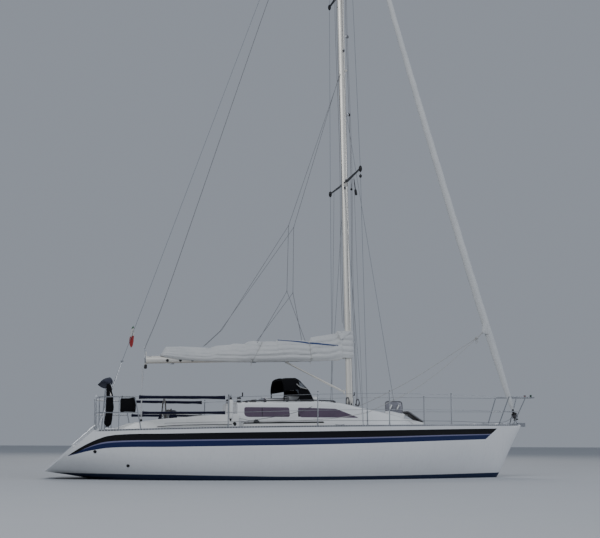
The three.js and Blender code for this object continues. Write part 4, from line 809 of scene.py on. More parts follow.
class Shape:
    """A mesh under construction, in metres and in the boat's own frame."""

    def __init__(self, source: Piece | None = None) -> None:
        """Starts empty, or from a merged copy of a piece.

        Args:
            source: Piece to copy.
        """
        self.bm = bmesh.new()
        if source is not None:
            self.bm.from_mesh(source.data)
            bmesh.ops.remove_doubles(self.bm, verts=self.bm.verts, dist=2e-5)

    def _absorb(self, part: bmesh.types.BMesh, matrix: Matrix) -> "Shape":
        """Adds a finished part in its place.

        Args:
            part: The part, which is used up.
            matrix: Its place.

        Returns:
            This shape.
        """
        bmesh.ops.transform(part, matrix=matrix, verts=part.verts)
        mesh = bpy.data.meshes.new("part")
        part.to_mesh(mesh)
        part.free()
        self.bm.from_mesh(mesh)
        bpy.data.meshes.remove(mesh)
        return self

    @staticmethod
    def _stand(origin: Place, direction: Place) -> Matrix:
        """Matrix that puts Z along a direction at an origin."""
        turn = Vector(direction).to_track_quat("Z", "Y").to_matrix().to_4x4()
        return Matrix.Translation(Vector(origin)) @ turn

    def box(self, low: Place, high: Place, bevel: float) -> "Shape":
        """Adds a box with rounded edges.

        Args:
            low: Lowest corner.
            high: Highest corner.
            bevel: Radius of its edges.

        Returns:
            This shape.
        """
        part = bmesh.new()
        bmesh.ops.create_cube(part, size=1.0)
        size = Vector(high) - Vector(low)
        bmesh.ops.scale(part, vec=size, verts=part.verts)
        bmesh.ops.bevel(part, geom=part.edges[:], offset=min(bevel, min(size) * 0.49), segments=2, profile=0.5,
                        affect="EDGES", material=-1, clamp_overlap=True)
        return self._absorb(part, Matrix.Translation((Vector(low) + Vector(high)) / 2))

    def rod(self, start: Place, end: Place, radius: float, end_radius: float | None = None,
            sides: int = 12) -> "Shape":
        """Adds a round or tapered rod.

        Args:
            start: Middle of its foot.
            end: Middle of its head.
            radius: Radius at the foot.
            end_radius: Radius at the head, if another.
            sides: Number of sides.

        Returns:
            This shape.
        """
        a, b = Vector(start), Vector(end)
        part = bmesh.new()
        bmesh.ops.create_cone(part, cap_ends=True, cap_tris=False, segments=sides, radius1=radius,
                              radius2=radius if end_radius is None else end_radius, depth=(b - a).length)
        return self._absorb(part, self._stand((a + b) / 2, b - a))

    def ball(self, middle: Place, radius: float, size: Point = (1.0, 1.0, 1.0), sides: int = 12) -> "Shape":
        """Adds a ball or an egg.

        Args:
            middle: Its middle.
            radius: Its radius.
            size: Stretch along each axis.
            sides: Number of sides.

        Returns:
            This shape.
        """
        part = bmesh.new()
        bmesh.ops.create_uvsphere(part, u_segments=sides, v_segments=max(6, sides // 2), radius=radius)
        return self._absorb(part, Matrix.Translation(Vector(middle)) @ Matrix.Diagonal((*size, 1.0)))

    def turned(self, profile: Sequence[Flat], origin: Place, direction: Place = UP, sides: int = 24) -> "Shape":
        """Adds a body of revolution.

        Args:
            profile: Radius and height of each point, from foot to head.
            origin: Place of height 0.
            direction: Its axis.
            sides: Number of sides.

        Returns:
            This shape.
        """
        part = bmesh.new()
        verts = [part.verts.new((radius, 0.0, high)) for radius, high in profile]
        edges = [part.edges.new(pair) for pair in zip(verts, verts[1:])]
        bmesh.ops.spin(part, geom=verts + edges, cent=(0, 0, 0), axis=UP, angle=math.tau, steps=sides,
                       use_merge=True)
        bmesh.ops.remove_doubles(part, verts=part.verts, dist=1e-6)
        bmesh.ops.recalc_face_normals(part, faces=part.faces)
        return self._absorb(part, self._stand(origin, direction))

    def ring(self, middle: Place, direction: Place, radius: float, tube: float, sides: int,
             tube_sides: int) -> "Shape":
        """Adds a round ring.

        Args:
            middle: Its middle.
            direction: Its axis.
            radius: Radius of its centre line.
            tube: Radius of its tube.
            sides: Steps round the ring.
            tube_sides: Sides of the tube.

        Returns:
            This shape.
        """
        part = bmesh.new()
        turn = Matrix.Translation((radius, 0, 0)) @ Matrix.Rotation(math.pi / 2, 4, "X")
        made = bmesh.ops.create_circle(part, segments=tube_sides, radius=tube, matrix=turn)
        bmesh.ops.spin(part, geom=made["verts"] + part.edges[:], cent=(0, 0, 0), axis=UP, angle=math.tau,
                       steps=sides, use_merge=True)
        bmesh.ops.remove_doubles(part, verts=part.verts, dist=1e-6)
        bmesh.ops.recalc_face_normals(part, faces=part.faces)
        return self._absorb(part, self._stand(middle, direction))

    def tube(self, points: Sequence[Place], radius: float, sides: int, smooth: bool = True,
             closed: bool = False) -> "Shape":
        """Adds a round tube, wire or rope along points.

        Args:
            points: Its route.
            radius: Its radius.
            sides: Number of sides, even and 4 or more.
            smooth: Whether the route bends smoothly.
            closed: Whether its ends meet.

        Returns:
            This shape.
        """
        data = bpy.data.curves.new("line", "CURVE")
        data.dimensions = "3D"
        data.bevel_depth = radius
        data.bevel_resolution = (sides - 4) // 2
        data.use_fill_caps = True
        data.resolution_u = 4
        spline = data.splines.new("NURBS" if smooth and len(points) > 2 else "POLY")
        spline.points.add(len(points) - 1)
        for mark, point in zip(spline.points, points):
            mark.co = (*point, 1.0)
        spline.use_cyclic_u = closed
        if spline.type == "NURBS":
            spline.order_u = 3
            spline.use_endpoint_u = not closed
        line = bpy.data.objects.new("line", data)
        mesh = bpy.data.meshes.new_from_object(line)
        part = bmesh.new()
        part.from_mesh(mesh)
        bmesh.ops.remove_doubles(part, verts=part.verts, dist=1e-6)
        bmesh.ops.recalc_face_normals(part, faces=part.faces)
        for block, store in ((line, bpy.data.objects), (mesh, bpy.data.meshes), (data, bpy.data.curves)):
            store.remove(block)
        return self._absorb(part, Matrix.Identity(4))

    def rope(self, points: Sequence[Place], radius: float, steps: int = 6, sides: int = 8) -> "Shape":
        """Adds a rope or wire that passes smoothly through points.

        Args:
            points: Points on its route.
            radius: Its radius.
            steps: Steps between two of them.
            sides: Number of sides.

        Returns:
            This shape.
        """
        return self.tube(flow(points, steps), radius, sides, smooth=False)

    def sheave(self, place: Place, axis: Place, radius: float, half: float, waist: float,
               sides: int = 18) -> "Shape":
        """Adds a grooved sheave, or a barrel where its waist is the wider.

        Args:
            place: Its middle.
            axis: Direction of its pin.
            radius: Radius of its rims.
            half: Half its width.
            waist: Radius half way between the rims.
            sides: Number of sides.

        Returns:
            This shape.
        """
        profile = [(0.0, -half), (radius, -half), (waist, 0.0), (radius, half), (0.0, half)]
        return self.turned(profile, place, axis, sides)

    def plate(self, outline: Sequence[Point], thickness: Place, bevel: float = 0.0) -> "Shape":
        """Adds a plate with a given outline.

        Args:
            outline: Corners of one face.
            thickness: Vector from that face to the other one.
            bevel: Radius of its edges.

        Returns:
            This shape.
        """
        part = bmesh.new()
        face = part.faces.new([part.verts.new(point) for point in outline])
        grown = bmesh.ops.extrude_face_region(part, geom=[face])
        moved = [item for item in grown["geom"] if isinstance(item, bmesh.types.BMVert)]
        bmesh.ops.translate(part, vec=Vector(thickness), verts=moved)
        bmesh.ops.recalc_face_normals(part, faces=part.faces)
        if bevel > 0.0:
            bmesh.ops.bevel(part, geom=part.edges[:], offset=bevel, segments=2, profile=0.5, affect="EDGES",
                            material=-1, clamp_overlap=True)
        return self._absorb(part, Matrix.Identity(4))

    def loft(self, rings: Sequence[Sequence[Place]], caps: bool = True, open_rings: bool = False) -> "Shape":
        """Adds a skin through rings of equal length.

        Args:
            rings: Rings of points.
            caps: Whether its ends are closed.
            open_rings: Whether each ring is an open line.

        Returns:
            This shape.
        """
        part = bmesh.new()
        loops: list[list[bmesh.types.BMEdge]] = []
        for ring in rings:
            verts = [part.verts.new(point) for point in ring]
            pairs = list(zip(verts, verts[1:] + ([] if open_rings else verts[:1])))
            loops.append([part.edges.new(pair) for pair in pairs])
        for first, second in zip(loops, loops[1:]):
            bmesh.ops.bridge_loops(part, edges=first + second)
        if caps and not open_rings:
            for loop in (loops[0], loops[-1]):
                bmesh.ops.edgeloop_fill(part, edges=loop)
        bmesh.ops.recalc_face_normals(part, faces=part.faces)
        return self._absorb(part, Matrix.Identity(4))

    def done(self, name: str, finish: Coat, body: str | None = YACHT, angle: float = 35.0, outward: bool = True,
             replaces: Sequence[str] = ()) -> Piece:
        """Makes the object and lets it ride on a body.

        Args:
            name: Name of the piece.
            finish: Its finish.
            body: Body that it rides on, or none where it spans two.
            angle: Angle in degrees above which an edge looks sharp.
            outward: Whether its normals are worked out again.
            replaces: Solids that it stands for.

        Returns:
            The piece.
        """
        if outward:
            bmesh.ops.recalc_face_normals(self.bm, faces=self.bm.faces)
        mesh = bpy.data.meshes.new(name)
        self.bm.to_mesh(mesh)
        self.bm.free()
        mesh.shade_smooth()
        mesh.set_sharp_from_angle(angle=math.radians(angle))
        mesh.materials.append(finish.material())
        piece = bpy.data.objects.new(name, mesh)
        bpy.context.scene.collection.objects.link(piece)
        if body:
            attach(piece, body)
        if replaces:
            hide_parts(*replaces)
        LOG.info("%s: %d faces", name, len(mesh.polygons))
        return piece


def dress(node: str, finish: Coat) -> None:
    """Gives a solid that stays as it is its finish.

    Args:
        node: Name of the solid.
        finish: Its finish.
    """
    piece = frame["nodes"][node]
    for holder in piece.material_slots:
        holder.material = finish.material()
    LOG.info("%s keeps its solid", node)


def recast(node: str, finish: Coat, body: str = YACHT, angle: float = 32.0, edge: float = 0.0) -> Piece:
    """Replaces a solid by a merged copy with soft edges.

    Args:
        node: Name of the solid.
        finish: Its finish.
        body: Body that it rides on.
        angle: Angle in degrees above which an edge looks sharp.
        edge: Radius of its edges.

    Returns:
        The piece.
    """
    shape = Shape(frame["nodes"][node])
    bmesh.ops.dissolve_limit(shape.bm, angle_limit=math.radians(0.3), verts=shape.bm.verts, edges=shape.bm.edges,
                             use_dissolve_boundaries=False)
    piece = shape.done(f"{node}_finished", finish, body, angle, outward=False, replaces=[node])
    if edge > 0.0:
        soft = piece.modifiers.new("Soft edges", "BEVEL")
        soft.width = edge
        soft.segments = 2
        soft.limit_method = "ANGLE"
        soft.angle_limit = math.radians(40.0)
        soft.harden_normals = False
    weight = piece.modifiers.new("Even shading", "WEIGHTED_NORMAL")
    weight.keep_sharp = True
    return piece


def flow(points: Sequence[Place], steps: int) -> list[Vector]:
    """Smooth line through points.

    Args:
        points: Points that it passes.
        steps: Steps between two of them.

    Returns:
        Its points.
    """
    marks = [Vector(point) for point in points]
    last = len(marks) - 1
    line: list[Vector] = []
    for i in range(last):
        b, c = marks[i], marks[i + 1]
        a = marks[i - 1] if i > 0 else b * 2 - c
        d = marks[i + 2] if i < last - 1 else c * 2 - b
        for k in range(steps):
            t = k / steps
            line.append(0.5 * (b * 2 + (c - a) * t + (a * 2 - b * 5 + c * 4 - d) * t * t
                               + (b * 3 - a - c * 3 + d) * t ** 3))
    line.append(marks[-1])
    return line


def turns(count: int, start: float = 0.0) -> list[float]:
    """Angles at even steps round a circle."""
    return [math.tau * i / count + start for i in range(count)]


def ripple(x: float, y: float, z: float = 0.0) -> float:
    """Smooth repeatable unevenness between -1 and 1."""
    return noise.noise(Vector((x, y, z)))


# Sub-assemblies


@dataclass
class Studio:
    """Camera, floor at the waterline and soft light."""

    eye: Point = (-5.638, -24.614, 0.907)
    yaw: float = 13.105
    pitch: float = 8.94
    roll: float = 0.304
    lens: float = 64.43
    floor_half: float = 90.0

    def build(self) -> None:
        """Makes the camera, the floor and the lights."""
        self._camera()
        self._floor()
        self._lights()

    def _camera(self) -> None:
        """Puts the camera where the photograph was taken."""
        data = bpy.data.cameras.new("Camera")
        data.lens = self.lens
        data.sensor_width = 36.0
        data.sensor_fit = "HORIZONTAL"
        data.clip_end = 400.0
        camera = bpy.data.objects.new("Camera", data)
        bpy.context.scene.collection.objects.link(camera)
        turn = (Matrix.Rotation(math.radians(-self.yaw), 4, "Z")
                @ Matrix.Rotation(math.radians(90.0 + self.pitch), 4, "X")
                @ Matrix.Rotation(math.radians(self.roll), 4, "Z"))
        camera.matrix_world = Matrix.Translation(Vector(self.eye)) @ turn
        bpy.context.scene.camera = camera

    def _floor(self) -> None:
        """Lays a pale floor at the height of still water."""
        bm = bmesh.new()
        bmesh.ops.create_grid(bm, x_segments=2, y_segments=2, size=self.floor_half)
        mesh = bpy.data.meshes.new("floor")
        bm.to_mesh(mesh)
        bm.free()
        floor = bpy.data.objects.new("floor", mesh)
        bpy.context.scene.collection.objects.link(floor)
        shader = Shader("Pale floor")
        shade = shader.group(Groups.mottle(), Scale=0.15, Base=(0.5, 0.515, 0.535, 1.0),
                             Second=(0.46, 0.475, 0.5, 1.0), Amount=0.5)
        shader.link(shade.outputs["Color"], "Base Color")
        shader.surface.inputs["Roughness"].default_value = 0.85
        mesh.materials.append(shader.material)

    def _lights(self) -> None:
        """Lights the stage softly from the viewer's side and above."""
        world = bpy.data.worlds.new("Studio")
        bpy.context.scene.world = world
        world.use_nodes = True
        back = world.node_tree.nodes["Background"]
        back.inputs["Color"].default_value = (0.6, 0.66, 0.76, 1.0)
        back.inputs["Strength"].default_value = 0.46
        for name, place, size, power, colour in (
            ("Key", (-16.0, -26.0, 24.0), 22.0, 5200.0, (0.95, 0.97, 1.0)),
            ("Fill", (24.0, -14.0, 12.0), 18.0, 1500.0, (0.85, 0.9, 1.0)),
            ("Rim", (4.0, 26.0, 22.0), 20.0, 2200.0, (1.0, 0.97, 0.93)),
        ):
            data = bpy.data.lights.new(name, "AREA")
            data.shape = "DISK"
            data.size = size
            data.energy = power
            data.color = colour
            lamp = bpy.data.objects.new(name, data)
            bpy.context.scene.collection.objects.link(lamp)
            aim = Vector((0.0, 0.0, 2.5)) - Vector(place)
            lamp.matrix_world = Matrix.Translation(Vector(place)) @ aim.to_track_quat("-Z", "Y").to_matrix().to_4x4()


@dataclass
class HullWork:
    """Hull, bottom appendages and what is bolted to the topsides."""

    rail_from: float = -4.56
    rail_to: float = 5.56
    rail_high: float = 0.038
    rail_inset: float = 0.006
    rail_steps: int = 150
    rail_section: tuple[Flat, ...] = (
        (0.0, 0.0005), (0.0, 0.038), (0.005, 0.038), (0.005, 0.008), (0.03, 0.009), (0.03, 0.0035),
    )
    outlets: tuple[tuple[Point, Point], ...] = (
        ((-4.62, 1.262, 0.599), (-0.3, 0.876, -0.377)), ((-3.926, 1.342, 0.308), (-0.268, 0.793, -0.547)),
    )

    def build(self) -> None:
        """Makes the hull and its fittings."""
        recast("hull", HULL_FINISH, angle=28.0)
        recast("keel", ANTIFOULING, edge=0.004)
        recast("rudder", ANTIFOULING, "rudder_group", edge=0.003)
        recast("drive_leg", GREY_PAINT, edge=0.003)
        recast("propeller", BRONZE, "propeller_group", edge=0.001)
        for side in Side:
            self._toe_rail(side)
        self._outlets()

    def _toe_rail(self, side: Side) -> None:
        """Bends one pierced toe rail along the deck's edge.

        Args:
            side: Side of the boat.
        """
        rows: list[list[Point]] = []
        for x in grid(self.rail_from, self.rail_to, self.rail_steps):
            y, z = side.value * (HULL.at(x, HALF) - self.rail_inset), HULL.at(x, HEIGHT)
            rows.append([(x, y - side.value * inward, z + rise) for inward, rise in self.rail_section])
        node = f"toe_rail_{side.label}"
        rail = Shape().loft(rows).done(f"{node}_pierced", PIERCED, angle=40.0, replaces=[node])
        layer = rail.data.uv_layers.new(name="Rail")
        for loop in rail.data.loops:
            place = rail.data.vertices[loop.vertex_index].co
            rise = (place.z - HULL.at(place.x, HEIGHT)) / self.rail_high
            layer.data[loop.index].uv = (place.x + 6.0, rise)

    def _outlets(self) -> None:
        """Screws skin outlets into both sides."""
        shape = Shape()
        profile = [(0.0, 0.004), (0.018, 0.004), (0.02, 0.012), (0.034, 0.01), (0.036, 0.0), (0.034, -0.02),
                   (0.0, -0.02)]
        for (x, y, z), (fore, wide, up) in self.outlets:
            for side in Side:
                shape.turned(profile, (x, side.value * y, z), (fore, side.value * wide, up), 20)
        shape.done("skin_outlets", BLACK_MOULDING)


def rounded(corners: Sequence[Flat], radius: float, steps: int = 5) -> list[Flat]:
    """Outline with rounded corners.

    Args:
        corners: Its corners.
        radius: Length that each corner takes of its edges.
        steps: Steps round a corner.

    Returns:
        The points of the closed outline.
    """
    line: list[Flat] = []
    count = len(corners)
    for i in range(count):
        before, here, after = (Vector(corners[(i + k) % count]) for k in (-1, 0, 1))
        start = here + (before - here).normalized() * min(radius, (before - here).length * 0.49)
        end = here + (after - here).normalized() * min(radius, (after - here).length * 0.49)
        for k in range(steps + 1):
            t = k / steps
            line.append(tuple(start * (1 - t) ** 2 + here * 2 * t * (1 - t) + end * t * t))
    return line


def middle(node: str, axis: int, low: float, high: float) -> Vector:
    """Mean place of a solid's corners between two values of one coordinate."""
    near = [v.co for v in frame["nodes"][node].data.vertices if low <= v.co[axis] <= high]
    return sum(near, Vector()) / len(near)


def thicken(piece: Piece, thickness: float, offset: float = -1.0) -> Piece:
    """Gives a thin skin its thickness."""
    wall = piece.modifiers.new("Thickness", "SOLIDIFY")
    wall.thickness = thickness
    wall.offset = offset
    return piece


def grid(low: float, high: float, count: int, fine_ends: bool = False) -> list[float]:
    """Evenly spaced values, or values that come closer together at both ends."""
    shares = [k / count for k in range(count + 1)]
    if fine_ends:
        shares = [0.5 - 0.4995 * math.cos(math.pi * share) for share in shares]
    return [low + (high - low) * share for share in shares]


def table(rows: Sequence[Flat], x: float) -> float:
    """Value at x on straight lines through rows of x and value."""
    if x <= rows[0][0]:
        return rows[0][1]
    for a, b in zip(rows, rows[1:]):
        if x <= b[0]:
            return a[1] + (b[1] - a[1]) * (x - a[0]) / (b[0] - a[0])
    return rows[-1][1]


def ease(value: float) -> float:
    """Smooth step from 0 to 1."""
    t = min(1.0, max(0.0, value))
    return t * t * (3 - 2 * t)


@dataclass(frozen=True)
class Slab:
    """A flat lid as its solid lies at rest: its middle, its three directions and its half sizes."""

    node: str
    hint: Point

    def axes(self) -> tuple[Vector, Vector, Vector, Vector, Vector]:
        """Reads the solid.

        Returns:
            Middle, direction along, direction across, direction out, and half sizes.
        """
        mesh = frame["nodes"][self.node].data
        flats: dict[tuple[int, int, int], float] = {}
        for face in mesh.polygons:
            key = tuple(round(value * 50) for value in face.normal)
            flats[key] = flats.get(key, 0.0) + face.area
        out = Vector(max(flats, key=flats.get)).normalized()
        if (out.z if abs(out.z) > 0.3 else out.y) < 0.0:
            out = -out
        along = Vector(self.hint)
        along = (along - out * along.dot(out)).normalized()
        across = out.cross(along)
        spans = []
        for direction in (along, across, out):
            reach = [v.co.dot(direction) for v in mesh.vertices]
            spans.append((min(reach), max(reach)))
        origin = sum((d * (a + b) / 2 for d, (a, b) in zip((along, across, out), spans)), Vector())
        return origin, along, across, out, Vector([(b - a) / 2 for a, b in spans])


@dataclass
class SmokedLid:
    """Hatch lid: rounded alloy frame, smoked pane, handles and hinges."""

    node: str
    body: str
    border: float = 0.028
    corner: float = 0.06
    handles: tuple[tuple[float, float, float], ...] = ()
    hinge_side: float = 1.0
    hint: Point = (1.0, 0.0, 0.0)

    def build(self) -> None:
        """Makes the lid."""
        origin, along, across, out, half = Slab(self.node, self.hint).axes()

        def at(a: float, b: float, c: float) -> Vector:
            """Point of the lid."""
            return origin + along * a + across * b + out * c

        def outline(inset: float, high: float, radius: float) -> list[Vector]:
            """Rounded outline at a height over the lid's middle."""
            a, b = half.x - inset, half.y - inset
            return [at(u, v, high) for u, v in rounded([(-a, -b), (a, -b), (a, b), (-a, b)], radius)]

        deep = half.z
        sole = 0.0025 - deep
        rim = Shape()
        inset, tight = self.border + 0.002, self.corner - 0.016
        section = ((0.0008, sole, self.corner), (0.0008, deep - 0.006, self.corner), (0.006, deep, self.corner),
                   (self.border, deep, self.corner - 0.015), (inset, deep - 0.005, tight), (inset, sole, tight))
        rings = [outline(*row) for row in section]
        rim.loft(rings + rings[:1], caps=False)
        bmesh.ops.remove_doubles(rim.bm, verts=rim.bm.verts, dist=1e-6)
        rim.done(f"{self.node}_frame", GREY_ALLOY, self.body, replaces=[self.node])
        pane = Shape().plate(outline(self.border + 0.001, deep - 0.004, self.corner - 0.015), out * (-0.01), 0.001)
        pane.done(f"{self.node}_pane", HATCH_PANE, self.body)
        grips = Shape()
        for a, b, turn in self.handles:
            step = (along * math.cos(turn) + across * math.sin(turn)) * 0.058
            low = at(a, b, -deep - 0.002)
            grips.tube([low - step, low - step - out * 0.018, low - step * 0.6 - out * 0.026,
                        low + step * 0.6 - out * 0.026, low + step - out * 0.018, low + step], 0.015, 10)
            grips.turned([(0.0, 0.012), (0.017, 0.012), (0.02, 0.0), (0.0, 0.0)], low, -out, 16)
        for share in (-0.6, 0.6):
            foot = at(share * half.x, self.hinge_side * (half.y - 0.012), deep - 0.012)
            grips.rod(foot - along * 0.03, foot + along * 0.03, 0.011)
            grips.turned([(0.0, 0.004), (0.012, 0.004), (0.014, 0.0), (0.0, 0.0)],
                         at(share * half.x, self.hinge_side * (half.y - 0.014), deep - 0.001), out, 14)
        grips.done(f"{self.node}_handles", FENDER_VINYL, self.body)


@dataclass
class CabinWork:
    """Coachroof with windows, hatches, companionway and grab rails."""

    panes: tuple[tuple[str, tuple[Flat, ...], float], ...] = (
        ("aft", ((-1.404, 1.574), (-0.388, 1.58), (-0.372, 1.368), (-1.335, 1.357), (-1.404, 1.4)), 0.045),
        ("forward", ((-0.196, 1.577), (0.7, 1.563), (1.27, 1.366), (-0.142, 1.362)), 0.05),
    )
    lift: float = 0.0022
    thick: float = 0.006
    divider_x: float = -1.0
    slide_ribs: tuple[float, ...] = (-0.2, 0.2)

    def build(self) -> None:
        """Makes the cabin's outside."""
        recast("coachroof", ROOF_FINISH, angle=30.0)
        for side in Side:
            for place, corners, corner in self.panes:
                self._pane(side, place, corners, corner)
            recast(f"handrail_{side.label}", DARK_RAIL, edge=0.004)
        self._dividers()
        self._companionway()
        SmokedLid("fore_hatch_lid", "fore_hatch_group", handles=((0.12, 0.12, 0.0), (0.12, -0.12, 0.0)),
                  hinge_side=-1.0, hint=(0.0, 1.0, 0.0)).build()
        SmokedLid("heads_hatch_lid", "heads_hatch_group", 0.018, 0.085,
                  ((-0.09, 0.0, -1.1), (0.09, 0.0, -1.1))).build()
        self._roof_gear()

    def _pane(self, side: Side, place: str, corners: Sequence[Flat], corner: float) -> None:
        """Glues one smoked pane over its opening.

        Args:
            side: Side of the boat.
            place: Name of the pane.
            corners: Corners in X and Z.
            corner: Length of the rounded corners.
        """
        line = rounded(corners, corner, 8)
        low, high = min(x for x, _ in line), max(x for x, _ in line)
        rows: list[list[Point]] = []
        for x in grid(low, high, 48, fine_ends=True):
            cuts = [a[1] + (b[1] - a[1]) * (x - a[0]) / (b[0] - a[0]) for a, b in zip(line, line[1:] + line[:1])
                    if (a[0] - x) * (b[0] - x) <= 0.0 and abs(a[0] - b[0]) > 1e-9]
            rows.append([(x, side.value * (cabin_side_y(x, z) + self.lift), z)
                         for z in grid(min(cuts), max(cuts), 8, fine_ends=True)])
        shape = Shape().loft(rows, open_rings=True)
        name = f"window_{place}_{side.label}"
        pane = shape.done(f"{name}_pane", WINDOW, angle=60.0, outward=False, replaces=[name])
        for face in pane.data.polygons:
            if face.normal.y * side.value < 0.0:
                pane.data.flip_normals()
            break
        thicken(pane, self.thick)

    def _dividers(self) -> None:
        """Puts the upright joint into both aft panes."""
        shape = Shape()
        for side in Side:
            line = [(self.divider_x, side.value * (cabin_side_y(self.divider_x, z) + self.lift + 0.0005), z)
                    for z in grid(1.362, 1.574, 6)]
            shape.tube(line, 0.006, 6, smooth=False)
        shape.done("window_dividers", BLACK_MOULDING)

    def _companionway(self) -> None:
        """Finishes the slide with its grips and the washboard with its louvres."""
        recast("companion_slide", SLIDE_PANE, "companion_slide_group", edge=0.006)
        low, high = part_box("companion_slide")
        ribs = Shape()
        for y in self.slide_ribs:
            ribs.box((low[0] + 0.05, y - 0.012, high[2] - 0.012), (high[0] - 0.02, y + 0.012, high[2] + 0.008), 0.006)
        ribs.tube([(low[0] + 0.03, -0.12, high[2] - 0.008), (low[0] + 0.03, -0.12, high[2] + 0.022),
                   (low[0] + 0.03, 0.12, high[2] + 0.022), (low[0] + 0.03, 0.12, high[2] - 0.008)], 0.009, 10)
        ribs.done("companion_slide_grips", STAINLESS, "companion_slide_group")
        recast("washboard", BOARD_PANE, edge=0.003)
        low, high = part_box("washboard")
        vents = Shape()
        for k in range(4):
            z = high[2] - 0.12 - 0.028 * k
            vents.box((low[0] - 0.005, -0.11, z), (low[0] + 0.004, 0.11, z + 0.011), 0.003)
        vents.done("washboard_louvres", BLACK_MOULDING)

    def _roof_gear(self) -> None:
        """Sets clutches, organisers, mast collar, coiled tails and halyards on the roof."""
        dark, metal, ropes = Shape(), Shape(), Shape()
        for side in (-1, 1):
            x = -1.12
            for k in range(3):
                y = side * (0.5 + 0.05 * k)
                z = roof_z(x, y)
                dark.box((x - 0.07, y - 0.018, z), (x + 0.07, y + 0.018, z + 0.034), 0.008)
                dark.rod((x - 0.02, y, z + 0.04), (x + 0.085, y, z + 0.052), 0.008, 0.005, 8)
                route = [(x - 0.17, side * 0.74, roof_z(x, 0.74) + 0.045), (x - 0.07, y, z + 0.02),
                         (x + 0.07, y, z + 0.018), (0.72, side * (0.46 + 0.045 * k), roof_z(0.72, 0.5) + 0.02),
                         (0.8, side * (0.42 + 0.04 * k), roof_z(0.8, 0.5) + 0.02),
                         (1.3, side * (0.14 + 0.02 * k), roof_z(1.3, 0.2) + 0.03),
                         (1.33, side * (0.1 + 0.01 * k), roof_z(1.33, 0.1) + 0.1)]
                ropes.rope(route, 0.005)
            z = roof_z(0.76, 0.5)
            metal.box((0.7, side * 0.5 - 0.08, z), (0.82, side * 0.5 + 0.08, z + 0.01), 0.004)
            for k in range(3):
                y = side * (0.44 + 0.045 * k)
                dark.turned([(0.0, 0.0), (0.03, 0.0), (0.022, 0.012), (0.03, 0.024), (0.0, 0.026)],
                            (0.76, y, z + 0.01), UP, 16)
        collar = roof_z(1.35, 0.0)
        metal.turned([(0.0, 0.0), (0.15, 0.0), (0.15, 0.012), (0.1, 0.014), (0.0, 0.014)],
                     (MAST_X, 0.0, collar - 0.004))
        for angle in turns(6, 0.3):
            x, y, z = MAST_X + 0.125 * math.cos(angle), 0.125 * math.sin(angle), collar + 0.028
            metal.ring((x, y, z), (-math.sin(angle), math.cos(angle), 0.0), 0.014, 0.003, 12, 6)
            dark.box((x - 0.014, y - 0.014, z + 0.01), (x + 0.014, y + 0.014, z + 0.055), 0.01)
        coil = Shape()
        for x, y, tall in ((1.22, -0.13, 0.05), (1.47, -0.12, 0.03)):
            for k in range(6):
                turn = [Vector((x + 0.035 * math.cos(a) + 0.01 * math.sin(3.0 * k + a), y - 0.009 * k,
                                collar + 0.07 + tall + (0.045 + tall) * math.sin(a) + 0.01 * math.sin(2.0 * k)))
                        for a in grid(0.0, math.tau * 17 / 18, 17)]
                coil.tube(turn, 0.0065, 6, closed=True)
        coil.done("coiled_tails", DARK_ROPE)
        dark.done("roof_clutches", BLACK_MOULDING)
        metal.done("roof_fittings", STAINLESS)
        ropes.done("roof_halyards", WHITE_ROPE)


